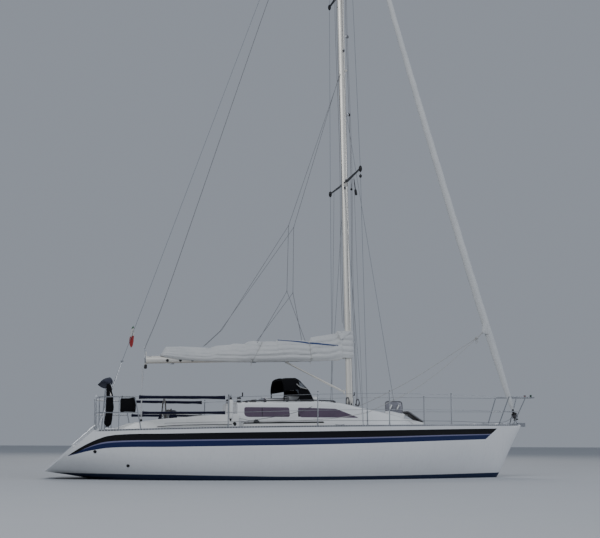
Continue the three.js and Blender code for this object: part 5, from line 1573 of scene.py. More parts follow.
@dataclass
class RigWork:
    """Mast, spreaders, standing rigging, lines aloft and masthead."""

    rake: float = math.radians(1.28)
    fore: float = 0.165
    head_z: float = 16.52
    tips: tuple[tuple[float, float, float], ...] = ((1.196, 1.366, 7.08), (1.086, 1.051, 11.975))
    roots: tuple[float, ...] = (7.04, 11.93)

    def at(self, z: float) -> float:
        """Mast's axis at a height."""
        return MAST_X - (z - MAST_FOOT_Z) * math.tan(self.rake)

    def build(self) -> None:
        """Makes the rig."""
        recast("mast", SPAR, angle=30.0, edge=0.002)
        for level in ("lower", "upper"):
            for side in Side:
                recast(f"spreader_{level}_{side.label}", DARK_ALLOY, edge=0.004)
        for name in ("cap_shroud", "lower_shroud"):
            for side in Side:
                dress(f"{name}_{side.label}", STAINLESS)
        for name in ("babystay", "backstay"):
            dress(name, STAINLESS)
        self._spreader_details()
        self._mast_details()
        self._masthead()
        self._turnbuckles()
        self._halyards()
        self._crossing_lines()

    def _spreader_details(self) -> None:
        """Adds brackets at the roots and boots at the tips."""
        metal, dark = Shape(), Shape()
        for (x, y, z), root in zip(self.tips, self.roots):
            axis = self.at(root)
            for side in (-1, 1):
                metal.box((axis - 0.085, side * 0.062 - 0.01, root - 0.075),
                          (axis + 0.035, side * 0.062 + 0.01, root + 0.085), 0.006)
                metal.rod((axis - 0.03, side * 0.055, root), (axis - 0.03, side * 0.16, root + 0.005), 0.034, 0.026,
                          14)
                dark.ball((x, side * y, z - 0.01), 0.036, (1.15, 1.0, 2.2), 14)
        lamp_x = self.at(7.04) - 0.02
        dark.rod((lamp_x + 0.03, -0.66, 7.0), (lamp_x + 0.07, -0.665, 6.72), 0.009, 0.011, 8)
        dark.turned([(0.0, 0.0), (0.026, 0.004), (0.03, 0.03), (0.028, 0.13), (0.012, 0.15), (0.0, 0.15)],
                    (lamp_x + 0.085, -0.667, 6.6), (-0.14, 0.0, 1.0), 14)
        dark.rod((lamp_x, -0.62, 7.0), (lamp_x - 0.02, -0.62, 6.78), 0.004, None, 6)
        dark.ball((lamp_x - 0.02, -0.62, 6.75), 0.03)
        dark.ball((1.198, -1.368, 6.896), 0.034, (1.0, 1.0, 1.3))
        metal.done("spreader_roots", SPAR)
        dark.done("spreader_boots", BLACK_MOULDING)

    def _mast_details(self) -> None:
        """Adds the track, lights, cleats and marks of the mast."""
        track, dark, metal = Shape(), Shape(), Shape()
        low, high = 3.0, 16.3
        aft = -self.fore / 2 - 0.004
        track.rod((self.at(low) + aft, 0.0, low), (self.at(high) + aft, 0.0, high), 0.011, None, 8)
        for z, dx, y in ((10.806, 0.095, 0.0), (8.796, 0.092, 0.0), (10.41, 0.0, -0.06), (11.55, -0.095, 0.0),
                         (7.12, -0.02, -0.06), (6.93, -0.05, -0.055)):
            x = self.at(z) + dx
            metal.box((x - 0.02, y - 0.02, z - 0.05), (x + 0.02, y + 0.02, z + 0.03), 0.008)
            dark.sheave((x + (0.035 if dx > 0 else 0.0), y, z - 0.02), UP, 0.02, 0.03, 0.028, 14)
        front = self.at(3.17)
        metal.ring((front + 0.095, 0.0, 3.17), (0, 1, 0), 0.018, 0.006, 18, 8)
        metal.box((front + 0.076, -0.012, 3.13), (front + 0.088, 0.012, 3.21), 0.004)
        dark.box((self.at(1.9) + 0.07, -0.02, 1.9), (self.at(1.9) + 0.09, 0.02, 1.98), 0.006)
        track.done("mast_track", SPAR)
        dark.done("mast_lights", BLACK_MOULDING)
        metal.done("mast_front_ring", STAINLESS)

    def _masthead(self) -> None:
        """Adds the wind vane, aerial and light on the masthead."""
        shape, lens = Shape(), Shape()
        x, z = self.at(self.head_z), self.head_z + 0.06
        shape.rod((x - 0.1, 0.03, z - 0.02), (x - 0.1, 0.03, 17.33), 0.006, 0.003, 8)
        shape.rod((x + 0.02, 0.0, z), (x + 0.26, 0.0, z + 0.3), 0.007, 0.005, 8)
        shape.rod((x + 0.26, 0.0, z + 0.28), (x + 0.26, 0.0, z + 0.42), 0.006, None, 8)
        for angle in turns(3):
            cup = (x + 0.26 + 0.05 * math.cos(angle), 0.05 * math.sin(angle), z + 0.3)
            shape.rod((x + 0.26, 0.0, z + 0.3), cup, 0.003, None, 6)
            shape.ball(cup, 0.014)
        vane = ((0.14, 0.4), (0.2, 0.44), (0.26, 0.41), (0.38, 0.405), (0.26, 0.4))
        shape.plate([(x + aft, -0.001, z + rise) for aft, rise in vane], (0, 0.002, 0))
        lens.turned([(0.0, 0.0), (0.034, 0.0), (0.034, 0.05), (0.03, 0.06), (0.0, 0.064)],
                    (x - 0.02, -0.035, z - 0.02), UP, 18)
        shape.done("masthead_gear", BLACK_MOULDING)
        lens.done("masthead_light", CLEAR_LENS)

    def _turnbuckles(self) -> None:
        """Puts turnbuckles and chainplates under every shroud and stay."""
        shape = Shape()
        feet: list[tuple[Vector, Vector]] = []
        for side in Side:
            for wire in ("cap_shroud", "lower_shroud"):
                node = f"{wire}_{side.label}"
                feet.append((middle(node, 2, 1.0, 1.22), middle(node, 2, 1.4, 1.6)))
        feet.append((middle("babystay", 2, 1.35, 1.45), middle("babystay", 2, 1.5, 1.6)))
        for foot, high in feet:
            line = (high - foot).normalized()
            for start, end, radius in ((0.02, 0.09, 0.011), (0.09, 0.13, 0.016), (0.13, 0.3, 0.0145),
                                       (0.3, 0.33, 0.017), (0.33, 0.42, 0.0095)):
                shape.rod(foot + line * start, foot + line * end, radius, None, 12)
            shape.rod(foot + line * 0.05 - Vector((0.02, 0, 0)), foot + line * 0.05 + Vector((0.02, 0, 0)), 0.008)
            shape.ring(foot + line * 0.012, (1, 0, 0), 0.013, 0.005, 16, 8)
            half = Vector((0.045, 0.016, 0.006))
            shape.box(foot - half, foot + half, 0.003)
        shape.done("turnbuckles", STAINLESS)

    def _halyards(self) -> None:
        """Leads the halyards that lie along the mast."""
        light, dark = Shape(), Shape()
        top = self.head_z - 0.15
        for y, dx, low, radius in ((-0.03, -0.135, 3.5, 0.0075), (0.05, -0.15, 3.62, 0.006), (0.03, 0.12, 1.8, 0.006),
                                   (-0.04, 0.13, 1.8, 0.0045), (-0.068, 0.004, 1.85, 0.006)):
            points = [(self.at(z) + dx + 0.02 * math.sin(z), y + 0.008 * math.sin(1.7 * z), z)
                      for z in grid(low, top, 24)]
            points[-1] = (self.at(top) + dx * 0.6, y * 0.5, top)
            dark.tube(points, radius, 6)
        for side in (-1, 1):
            light.tube([(1.17, side * 0.9, 7.02), (1.2, side * 1.1, 4.2), (1.22, side * 1.42, 1.5)], 0.004, 6)
        light.done("mast_halyards", WEATHERED_ROPE)
        dark.done("mast_halyards_dark", WEATHERED_ROPE)

    def _crossing_lines(self) -> None:
        """Leads the topping lift and the lazy jacks from the mast to the boom."""
        lift = Shape().rope([(0.86, 0.0, 16.45), (-0.755, 0.0, 11.52), (-2.275, 0.0, 6.68), (-3.113, 0.0, 4.03),
                             (-3.53, 0.0, 2.9)], 0.0075, 10)
        piece = lift.done("topping_lift", WEATHERED_ROPE, None)
        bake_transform(piece)
        jacks = Shape()
        for side in (-1, 1):
            mast = (1.08, side * 0.05, 9.8)
            first = (-0.217 + 0.085 * (side + 1), side * 0.1, 5.9)
            second = (-0.25 + 0.1 * (side + 1), side * 0.12, 4.32)
            for route in ([mast, first], [first, (-1.784, side * 0.13, 3.36), (-2.172, side * 0.15, 2.99)],
                          [first, second], [second, (-0.958, side * 0.16, 3.08)],
                          [second, (0.19, side * 0.16, 3.15)]):
                jacks.tube(route, 0.006, 6, smooth=False)
            for knot in (first, second):
                jacks.ball(knot, 0.013, sides=8)
        piece = jacks.done("lazy_jacks", WEATHERED_ROPE, None)
        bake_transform(piece)


@dataclass
class SailWork:
    """Mainsail flaked over the boom, boom with its gear, and the furled genoa."""

    top: tuple[Flat, ...] = (
        (-3.17, 0.1), (-3.114, 0.2), (-3.05, 0.295), (-2.727, 0.298), (-2.381, 0.28), (-2.049, 0.256),
        (-1.963, 0.283), (-1.885, 0.305), (-1.567, 0.322), (-1.473, 0.35), (-1.225, 0.334), (-1.2, 0.358),
        (-1.16, 0.384), (-1.058, 0.402), (-0.763, 0.396), (-0.469, 0.383), (-0.45, 0.43), (-0.02, 0.408),
        (0.339, 0.396), (0.355, 0.474), (0.636, 0.51), (0.975, 0.56), (1.0, 0.612), (1.108, 0.618),
    )
    hem: tuple[Flat, ...] = (
        (-3.17, 0.085), (-3.02, 0.045), (-2.756, -0.004), (-2.458, -0.034), (-2.112, -0.06), (-1.345, -0.084),
        (0.078, -0.094), (0.804, -0.082), (1.108, -0.06),
    )
    half: tuple[Flat, ...] = (
        (-3.17, 0.06), (-3.02, 0.085), (-2.01, 0.12), (-1.72, 0.138), (-1.18, 0.152), (-0.43, 0.158), (0.33, 0.154),
        (0.9, 0.13), (1.108, 0.112),
    )
    waist: tuple[Flat, ...] = (
        (0.0, 0.66), (0.08, 0.86), (0.2, 0.98), (0.36, 1.0), (0.6, 0.86), (0.8, 0.62), (0.93, 0.4), (0.985, 0.2),
        (1.0, 0.0),
    )
    ledge: tuple[Flat, ...] = ((-1.99, 0.085), (-1.4, 0.06), (-0.9, 0.054), (0.289, 0.141), (0.6, 0.16))
    ties: tuple[tuple[float, float], ...] = ((-0.807, -1.061), (0.296, 0.346))
    luff_slope: float = 0.02234
    stations: int = 172
    points: int = 34
    genoa: tuple[Flat, ...] = (
        (0.0, 0.036), (0.009, 0.056), (0.044, 0.077), (0.092, 0.096), (0.2, 0.096), (0.45, 0.085), (0.75, 0.063),
        (0.93, 0.04), (0.955, 0.019), (1.0, 0.016),
    )

    @staticmethod
    def axis(x: float) -> float:
        """Height of the boom's axis."""
        return 2.64 + (x + 3.5) * 0.0374

    def skin(self, x: float, share: float, side: float) -> Vector:
        """Point of the flaked sail's outside.

        Args:
            x: Place along the boom.
            share: Height from the hem, 0, to the top, 1.
            side: Side of the boat.

        Returns:
            The point.
        """
        high, low = table(self.top, x), table(self.hem, x)
        rise = low + (high - low) * share
        wide = table(self.half, x) * table(self.waist, share)
        near = ease((x + 2.2) / 2.9)
        body = 4 * share * (1 - share)
        phase = 0.55 * ripple(x * 0.9, side * 3.1, 0.0) + 0.16 * ripple(x * 3.4, side, 5.0)
        flute = abs(math.sin(math.pi * (4.3 * share + phase + side * 0.2)))
        wide += (0.01 + 0.026 * near) * (flute ** 0.6 - 0.66) * min(1.0, body * 1.6)
        wide += (0.012 - 0.004 * near) * ripple(x * 1.7, 2.3 * share, side * 4.0) * body
        wide += 0.006 * ripple(x * 6.0, 7.0 * share, side * 9.0) * body
        step = table(self.ledge, x) if x < 0.6 else 9.0
        if x > -1.99:
            wide += 0.016 * ease((rise - step) / 0.016) * ease((x + 1.99) / 0.15) * ease((share - 0.1) / 0.2) \
                * ease((0.94 - share) / 0.1)
        for over, under in self.ties:
            here = under + (over - under) * share
            pinch = math.exp(-((x - here) / 0.085) ** 2)
            wide -= 0.022 * pinch * body
            rise -= 0.012 * pinch * share
        return Vector((x + 0.012 * ripple(2.1 * x, 5.0 * share, side), side * max(wide, 0.0), self.axis(x) + rise))

    def build(self) -> None:
        """Makes the sails and the boom."""
        self._boom()
        self._bundle()
        self._luff_folds()
        self._tape()
        self._head_corner()
        self._ties()
        self._genoa()
        self._clew_and_sheets()
        self._drum()

    def _bundle(self) -> None:
        """Lofts the flaked sail: an outer skin, and an inner one that lies on the boom."""
        rings: list[list[Vector]] = []
        for x in grid(-3.168, 1.106, self.stations):
            shares = [0.5 - 0.5 * math.cos(math.pi * k / self.points) for k in range(self.points + 1)]
            outer = [self.skin(x, share, -1.0) for share in shares]
            outer += [self.skin(x, share, 1.0) for share in reversed(shares[:-1])]
            floor = self.axis(x)
            low = table(self.hem, x) + 0.004
            crown = max(0.094, low + 0.006)
            inner = ((0.064, low), (0.061, crown - 0.03), (0.03, crown))
            for y, rise in inner + tuple((-y, rise) for y, rise in reversed(inner)):
                outer.append(Vector((x, y, floor + max(rise, low))))
            rings.append(outer)
        bundle = Shape().loft(rings).done("flaked_mainsail", SAILCLOTH, BOOM, 70.0, replaces=["mainsail_flaked"])

    def _luff_folds(self) -> None:
        """Hangs the luff's folds beside the mast, where the boom swings."""
        for side in Side:
            rings: list[list[Vector]] = []
            for z in grid(2.79, 3.42, 64):
                share = (z - 2.79) / 0.63
                bulge = 0.022 * abs(math.sin(math.pi * (4.6 * share + 0.2 * side.value + 0.2))) + 0.006 * ripple(
                    5 * z, side.value)
                fade = min(1.0, 7 * share, 7 * (1 - share))
                axis = MAST_X - (z - MAST_FOOT_Z) * self.luff_slope
                outer = ((-0.235, 0.088), (-0.1, 0.098), (-0.02, 0.094), (0.03, 0.08), (0.062, 0.06))
                inner = ((0.06, 0.046), (0.03, 0.059), (-0.02, 0.064), (-0.1, 0.05), (-0.235, 0.045))
                rings.append([Vector((axis + dx + bulge * 0.4, side.value * (y - 0.006 + bulge * fade), z))
                              for dx, y in outer] + [Vector((axis + dx, side.value * y, z)) for dx, y in inner])
            folds = Shape().loft(rings).done(f"luff_folds_{side.label}", SAILCLOTH, None, 70.0)
            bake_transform(folds)

    def _tape(self) -> None:
        """Lays the blue edge tape along the flaked sail."""
        rows = ((-0.45, 0.413), (-0.2, 0.392), (-0.038, 0.378), (0.3, 0.335), (0.568, 0.3), (0.856, 0.27),
                (1.0, 0.262))
        upper, lower = [], []
        for x in grid(-0.45, 1.0, 40):
            high, low = table(self.top, x), table(self.hem, x)
            wide = 0.014 + 0.006 * math.sin(4 * x)
            for line, rise in ((upper, table(rows, x) + wide), (lower, table(rows, x) - wide)):
                share = min(0.985, (rise - low) / (high - low))
                point = self.skin(x, share, -1.0)
                line.append(point + Vector((0.0, -0.004, 0.003)))
        ridge = [(a + b) / 2 + Vector((0, -0.003, 0)) for a, b in zip(upper, lower)]
        tape = Shape().loft([upper, ridge, lower], open_rings=True)
        edge = thicken(tape.done("sail_edge_tape", BLUE_TAPE, BOOM, 70.0), 0.003, 0.0)

    @staticmethod
    def _head_corner() -> None:
        """Hangs the sail's head corner out beside the mast."""
        folds = []
        for k, share in enumerate(grid(0.0, 1.0, 12)):
            top = Vector((0.985 + 0.32 * share, -0.05 - 0.03 * share, 3.425 - 0.01 * share))
            low = Vector((1.06 + 0.27 * share, -0.115 + 0.02 * share, 3.2 + 0.2 * share ** 1.3))
            bow = Vector((0.0, -0.02, 0.0))
            folds.append([top.lerp(low, t) + bow * 4 * t * (1 - t) + Vector((0, 0.004 * ripple(3.0 * k, 4 * t), 0))
                          for t in grid(0.0, 1.0, 8)])
        corner = Shape().loft(folds, open_rings=True)
        head = thicken(corner.done("sail_head_corner", SAILCLOTH, None, 70.0), 0.004, 0.0)
        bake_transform(head)

    def _ties(self) -> None:
        """Ties the flaked sail to the boom."""
        ties = Shape()
        for over, under in self.ties:
            route: list[Vector] = []
            for side, shares in ((-1.0, grid(0.02, 1.0, 14)), (1.0, grid(0.98, 0.02, 14))):
                for share in shares:
                    x = under + (over - under) * share
                    point = self.skin(x, share, side)
                    route.append(point + Vector((0.0, side * 0.006, 0.005 * share)))
            floor = self.axis(under) - 0.104
            route += [Vector((under, 0.05, floor)), Vector((under, -0.05, floor))]
            ties.tube(route, 0.006, 8, closed=True)
            knot, tail = self.skin(under, 0.12, -1.0), self.skin(under, 0.1, -1.0)
            ties.ball(knot + Vector((0, -0.012, 0)), 0.02, (1.3, 0.8, 1.0))
            ties.rod(knot + Vector((0, -0.014, 0)), tail + Vector((-0.03, -0.01, -0.14)), 0.005, 0.007, 8)
        ties.done("sail_ties", GREY_ROPE, BOOM)

    def _boom(self) -> None:
        """Makes the boom, its vang and what hangs on them."""
        recast("boom", BOOM_ALLOY, BOOM, edge=0.003)
        recast("boom_vang", SPAR, BOOM, edge=0.002)
        dark, metal, ropes = Shape(), Shape(), Shape()
        end = self.axis(-3.5)
        for x in (-3.012, -2.715, -2.44):
            for side in (-1, 1):
                z = self.axis(x) - 0.02
                dark.turned([(0.0, 0.0), (0.032, 0.0), (0.034, 0.006), (0.02, 0.014), (0.0, 0.012)],
                            (x, side * 0.05, z), (0, side, 0), 18)
        metal.box((-3.528, -0.045, end - 0.07), (-3.5, 0.045, end + 0.085), 0.008)
        for y in (-0.02, 0.02):
            dark.sheave((-3.5, y, end + 0.03), (0, 1, 0), 0.03, 0.006, 0.024)
        metal.rod((-3.5, 0.0, end + 0.07), (-3.525, 0.0, end + 0.26), 0.012, 0.009)
        metal.ring((-3.528, 0.0, end + 0.27), (0, 1, 0), 0.016, 0.004, 16, 8)
        metal.ring((-3.49, 0.0, end - 0.1), (0, 1, 0), 0.018, 0.005, 16, 8)
        for x in (-2.9, -1.0):
            metal.box((x - 0.05, -0.012, self.axis(x) - 0.108), (x + 0.05, 0.012, self.axis(x) - 0.084), 0.004)
        ropes.rope([(-3.5, -0.03, end + 0.06), (-3.2, -0.04, end + 0.13), (-3.05, -0.03, end + 0.18)], 0.005)
        for y, dx in ((-0.028, 0.0), (0.02, 0.02), (-0.006, -0.024)):
            points = [(-3.56 - dx, y, end - 0.14), (-3.565, y * 1.4, 2.0), (-3.57 + dx, y, 1.3)]
            ropes.tube(points, 0.0055, 8, smooth=False)
        for x, z in ((-3.5, end - 0.15), (-3.572, 1.26)):
            dark.box((x - 0.032, -0.04, z - 0.05), (x + 0.032, 0.04, z + 0.05), 0.02)
        block = dark.done("boom_fittings_dark", BLACK_MOULDING, None)
        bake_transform(block)
        metal.done("boom_fittings", STAINLESS, BOOM)
        sheet = ropes.done("mainsheet", WHITE_ROPE, None)
        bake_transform(sheet)

    def _genoa(self) -> None:
        """Rolls the genoa round its foil, with its spiral edges."""
        rings: list[list[Vector]] = []
        for share in grid(0.0, 1.0, 260):
            t = 0.02 + 0.976 * share
            here = self.stay(t)
            line = (self.stay(t + 0.004) - self.stay(t - 0.004)).normalized()
            u = line.cross(Vector((0, 1, 0))).normalized()
            v = line.cross(u)
            radius = table(self.genoa, share)
            ring = []
            for angle in turns(40):
                spiral = (angle / math.tau + share * 21.0) % 1.0
                second = (angle / math.tau + share * 13.0 + 0.4) % 1.0
                reach = radius * (0.93 + 0.07 * spiral + 0.025 * second
                                  + 0.04 * ripple(share * 22.0, 1.2 * math.cos(angle), 1.2 * math.sin(angle)))
                ring.append(here + u * reach * math.cos(angle) + v * reach * math.sin(angle))
            rings.append(ring)
        roll = Shape().loft(rings).done("rolled_genoa", ROLLED_CLOTH, angle=60.0, replaces=["genoa_furled"])

    @staticmethod
    def _clew_and_sheets() -> None:
        """Makes the genoa's clew with its knots, the sheets and the lines that haul them in."""
        tip = Vector((4.674, -0.03, 3.47))
        high, low = Vector((4.725, -0.072, 3.9)), Vector((4.87, -0.088, 3.425))
        rows = [[high.lerp(tip, s).lerp(low.lerp(tip, s), t) + Vector((0, -0.02 * math.sin(math.pi * t), 0))
                 for t in grid(0.0, 1.0, 12)] for s in grid(0.0, 0.94, 8)]
        patch = Shape().loft(rows, open_rings=True)
        piece = thicken(patch.done("genoa_clew", ROLLED_CLOTH, angle=70.0), 0.006, 0.0)
        sheets, knots = Shape(), Shape()
        eye = Vector((4.545, 0.0, 3.335))
        knots.ring(tip + Vector((0.012, 0, 0)), (0, 1, 0), 0.016, 0.005, 20, 8)
        for y in (-0.02, 0.02):
            for start, bend in (((0.01, 0, 0.01), (0.02, y, 0.02)), ((0, 0, -0.01), (-0.015, y, -0.02))):
                knots.tube([tip + Vector(start), tip.lerp(eye, 0.5) + Vector(bend), eye], 0.0075, 8)
        for offset in ((0.012, -0.012, 0.01), (-0.018, 0.012, -0.012), (-0.01, -0.014, 0.022)):
            knots.ball(eye + Vector(offset), 0.027, (1.2, 0.9, 1.0))
        for x, y, length in ((-0.012, 0.01, 0.135), (0.02, -0.012, 0.1)):
            knots.rod(eye + Vector((x, y, 0)), eye + Vector((x + 0.008, y, -length)), 0.008, None, 8)
        near = [(4.545, -0.01, 3.33), (4.176, -0.143, 3.06), (3.678, -0.336, 2.675), (3.257, -0.499, 2.39),
                (2.814, -0.671, 2.12), (2.289, -0.874, 1.86), (1.607, -1.138, 1.574), (1.318, -1.24, 1.468),
                (0.6, -1.26, 1.345), (-0.4, -1.24, 1.275), (-1.1, -1.2, 1.25)]
        far = [(4.545, 0.01, 3.345), (4.153, 0.152, 3.08), (3.656, 0.344, 2.733), (3.0, 0.598, 2.3),
               (2.2, 0.91, 1.86), (1.318, 1.26, 1.47), (0.6, 1.27, 1.345), (-0.4, 1.24, 1.275),
               (-1.1, 1.2, 1.25)]
        for route in (near, far):
            side = -1 if route is near else 1
            route += [(-1.6, side * 1.2, 1.33), (-2.4, side * 1.17, 1.38), (-2.9, side * 1.235, 1.4)]
            sheets.rope(route, 0.0065)
        sheets.done("genoa_sheets", GREY_ROPE)
        knots.done("genoa_sheet_knots", GREY_ROPE)
        slack = Shape()
        for side in (-1, 1):
            slack.rope([(0.42, side * 0.9, 1.76), (0.29, side * 1.0, 1.66), (-0.361, side * 1.17, 1.44),
                        (-1.138, side * 1.21, 1.3), (-1.5, side * 1.25, 1.24)], 0.006)
        slack.done("barber_lines", DARK_ROPE)

    @staticmethod
    def stay(t: float) -> Vector:
        """Point of the forestay."""
        return Vector((5.545 - 4.455 * t - 0.38 * t * (1 - t), 0.0, 1.33 + 15.132 * t))

    def _drum(self) -> None:
        """Finishes the furler's drum, its guard and its line."""
        recast("furler_drum", BLACK_MOULDING, edge=0.004)
        foot, line = self.stay(0.004), (self.stay(0.02) - self.stay(0.0)).normalized()
        cage, metal, rope = Shape(), Shape(), Shape()
        for rise in (0.04, 0.125):
            cage.ring(foot + line * rise, line, 0.07, 0.007, 28, 8)
        for angle in turns(4, 0.5):
            out = Vector((math.cos(angle), math.sin(angle), 0.0)) * 0.07
            cage.rod(foot + line * 0.04 + out, foot + line * 0.125 + out, 0.006, None, 8)
        for k in range(6):
            rope.ring(foot + line * (0.055 + 0.011 * k), line, 0.05, 0.0055, 24, 6)
        metal.rod(foot - line * 0.1, foot + line * 0.02, 0.017, 0.014)
        metal.ring(foot + line * 0.29, line, 0.03, 0.008, 24, 8)
        rope.rope([foot + Vector((-0.05, -0.04, 0.09)), (4.95, -0.42, 1.3), (3.5, -0.9, 1.31), (1.83, -1.42, 1.3),
                   (0.1, -1.7, 1.28), (-1.85, -1.74, 1.24), (-3.2, -1.52, 1.2)], 0.0045, 8, 6)
        cage.done("furler_guard", BLACK_MOULDING)
        metal.done("furler_toggle", STAINLESS)
        rope.done("furling_line", DARK_ROPE)


@dataclass
class HoodWork:
    """Sprayhood: one stretched canopy on two hoops, with clear windows in front."""

    rows: tuple[tuple[float, float, float], ...] = (
        (-0.44, 0.76, 2.252), (-0.25, 0.765, 2.284), (-0.06, 0.755, 2.258), (0.06, 0.738, 2.15), (0.17, 0.715, 2.035),
        (0.225, 0.695, 1.94), (0.27, 0.68, 1.812),
    )
    hem_aft: Flat = (-0.52, 1.932)
    hem_fore: Flat = (-0.11, 1.998)
    sill_z: float = 1.7
    window_half: float = 0.62
    windows: tuple[tuple[float, float, float, float], ...] = (
        (0.03, 0.222, -0.57, -0.25), (0.03, 0.222, -0.18, 0.18), (0.03, 0.222, 0.25, 0.57),
    )

    @property
    def lines(self) -> Lines:
        """Smooth lines of the hood's half width and height."""
        return Lines(self.rows)

    def section(self, x: float) -> list[Vector]:
        """Starboard half of the canopy's section at x, from its lower edge to its crown.

        Args:
            x: Place along the boat.

        Returns:
            The points.
        """
        half, top = self.lines.at(x, HALF), self.lines.at(x, HEIGHT)
        shoulder = min(1.715, top - 0.06)
        marks = ((1.0, shoulder), (0.985, min(top - 0.02, shoulder + 0.45 * (top - shoulder))),
                 (0.93, min(top - 0.02, self.sill_z + 0.72 * (top - self.sill_z))),
                 (0.72, top - 0.06 * (top - self.sill_z)), (0.36, top), (0.0, top + 0.004))
        return flow([Vector((x, -share * half, z)) for share, z in marks], 7)

    def hem_z(self, x: float) -> float:
        """Height of the canopy's lower edge at x."""
        if x > self.hem_fore[0]:
            return self.hem_fore[1] - 0.29 * ease((x - self.hem_fore[0]) / 0.06)
        share = (x - self.hem_aft[0]) / (self.hem_fore[0] - self.hem_aft[0])
        return self.hem_aft[1] + (self.hem_fore[1] - self.hem_aft[1]) * share

    def build(self) -> None:
        """Makes the hood."""
        rows: list[list[Vector]] = []
        for x in grid(-0.438, 0.268, 46):
            line = [p for p in self.section(x) if p.z >= self.hem_z(x) or p.y > -0.3]
            first = line[0]
            line.insert(0, Vector((x, first.y - 0.001, min(first.z, self.hem_z(x)))))
            even = self._even(line, 30)
            sag = 1.0 - abs(2 * ((x + 0.44) / 0.38) - 1) if x < -0.06 else 0.0
            for i, p in enumerate(even):
                p.z -= 0.016 * max(0.0, sag) * (i / 30)
                p.y *= 1.0 - 0.004 * abs(ripple(9 * x, 5 * p.z))
                p.z += 0.003 * ripple(6 * x, 7 * p.y)
            rows.append(even + [Vector((p.x, -p.y, p.z)) for p in reversed(even[:-1])])
        for name, finish, clear in (("sprayhood_canopy", BLACK_CANVAS, False), ("sprayhood_windows", VINYL, True)):
            shape = Shape().loft(rows, open_rings=True)
            away = [face for face in shape.bm.faces if self._is_clear(face.calc_center_median()) != clear]
            bmesh.ops.delete(shape.bm, geom=away, context="FACES")
            piece = shape.done(name, finish, angle=70.0, replaces=["sprayhood"])
            thicken(piece, 0.0025 if clear else 0.004, 0.0)
            LOG.info("%s: %.2f square metres", name, sum(face.area for face in piece.data.polygons))
        self._hoops(rows)

    @staticmethod
    def _even(line: Sequence[Vector], count: int) -> list[Vector]:
        """Points at even steps along a line."""
        spans = [0.0]
        for a, b in zip(line, line[1:]):
            spans.append(spans[-1] + (b - a).length)
        out: list[Vector] = []
        i = 0
        for target in grid(0.0, spans[-1], count):
            while i < len(line) - 2 and spans[i + 1] < target:
                i += 1
            span = max(1e-9, spans[i + 1] - spans[i])
            out.append(line[i].lerp(line[i + 1], min(1.0, (target - spans[i]) / span)))
        return out

    def _is_clear(self, place: Vector) -> bool:
        """Whether a place of the canopy is window."""
        if abs(place.y) > self.window_half:
            return -0.07 < place.x < 0.15 and 2.03 < place.z < self.lines.at(place.x, HEIGHT) - 0.035
        return any(a < place.x < b and low < place.y < high for a, b, low, high in self.windows)

    def _hoops(self, rows: Sequence[Sequence[Vector]]) -> None:
        """Bends the hoops, the seams and the trim of the canvas."""
        metal, hoops, seams = Shape(), Shape(), Shape()
        for x, foot in ((-0.428, -0.428), (-0.075, -0.2)):
            half, top = self.lines.at(x, HALF) - 0.034, self.lines.at(x, HEIGHT) - 0.028
            arch = [(foot, -half + 0.01, self.sill_z), (x, -half, 1.8), (x, -half, 1.95),
                    (x, -0.93 * half, self.sill_z + 0.72 * (top - self.sill_z)), (x, -0.72 * half, top - 0.04),
                    (x, -0.36 * half, top)]
            arch += [(p[0], -p[1], p[2]) for p in reversed(arch)]
            hoops.rope(arch, 0.0145, 6, 10)
            for side in (-1, 1):
                metal.turned([(0.0, 0.0), (0.028, 0.0), (0.026, 0.01), (0.016, 0.016), (0.0, 0.016)],
                             (foot, side * (half - 0.01), 1.69), UP, 14)
        for index in (0, 22, len(rows) - 1):
            line = [point + Vector((0, 0, 0.003)) for point in rows[index]]
            seams.tube(line, 0.006 if index else 0.009, 8, smooth=False)
        for end, out in ((0, -0.003), (-1, 0.003)):
            seams.tube([row[end] + Vector((0, out, 0)) for row in rows], 0.006, 8, smooth=False)
        trim = [(x, self.lines.at(x, HALF) + 0.006, z)
                for x, z in ((-0.15, 2.12), (-0.1, 2.07), (-0.03, 2.035), (0.1, 2.01))]
        pale = Shape()
        for side in (-1, 1):
            pale.rope([(x, side * y, z) for x, y, z in trim], 0.009, 5)
        hoops.done("sprayhood_hoops", BLACK_CANVAS)
        metal.done("sprayhood_feet", STAINLESS)
        seams.done("sprayhood_seams", BLACK_CANVAS)
        pale.done("sprayhood_window_trim", GREY_ROPE)


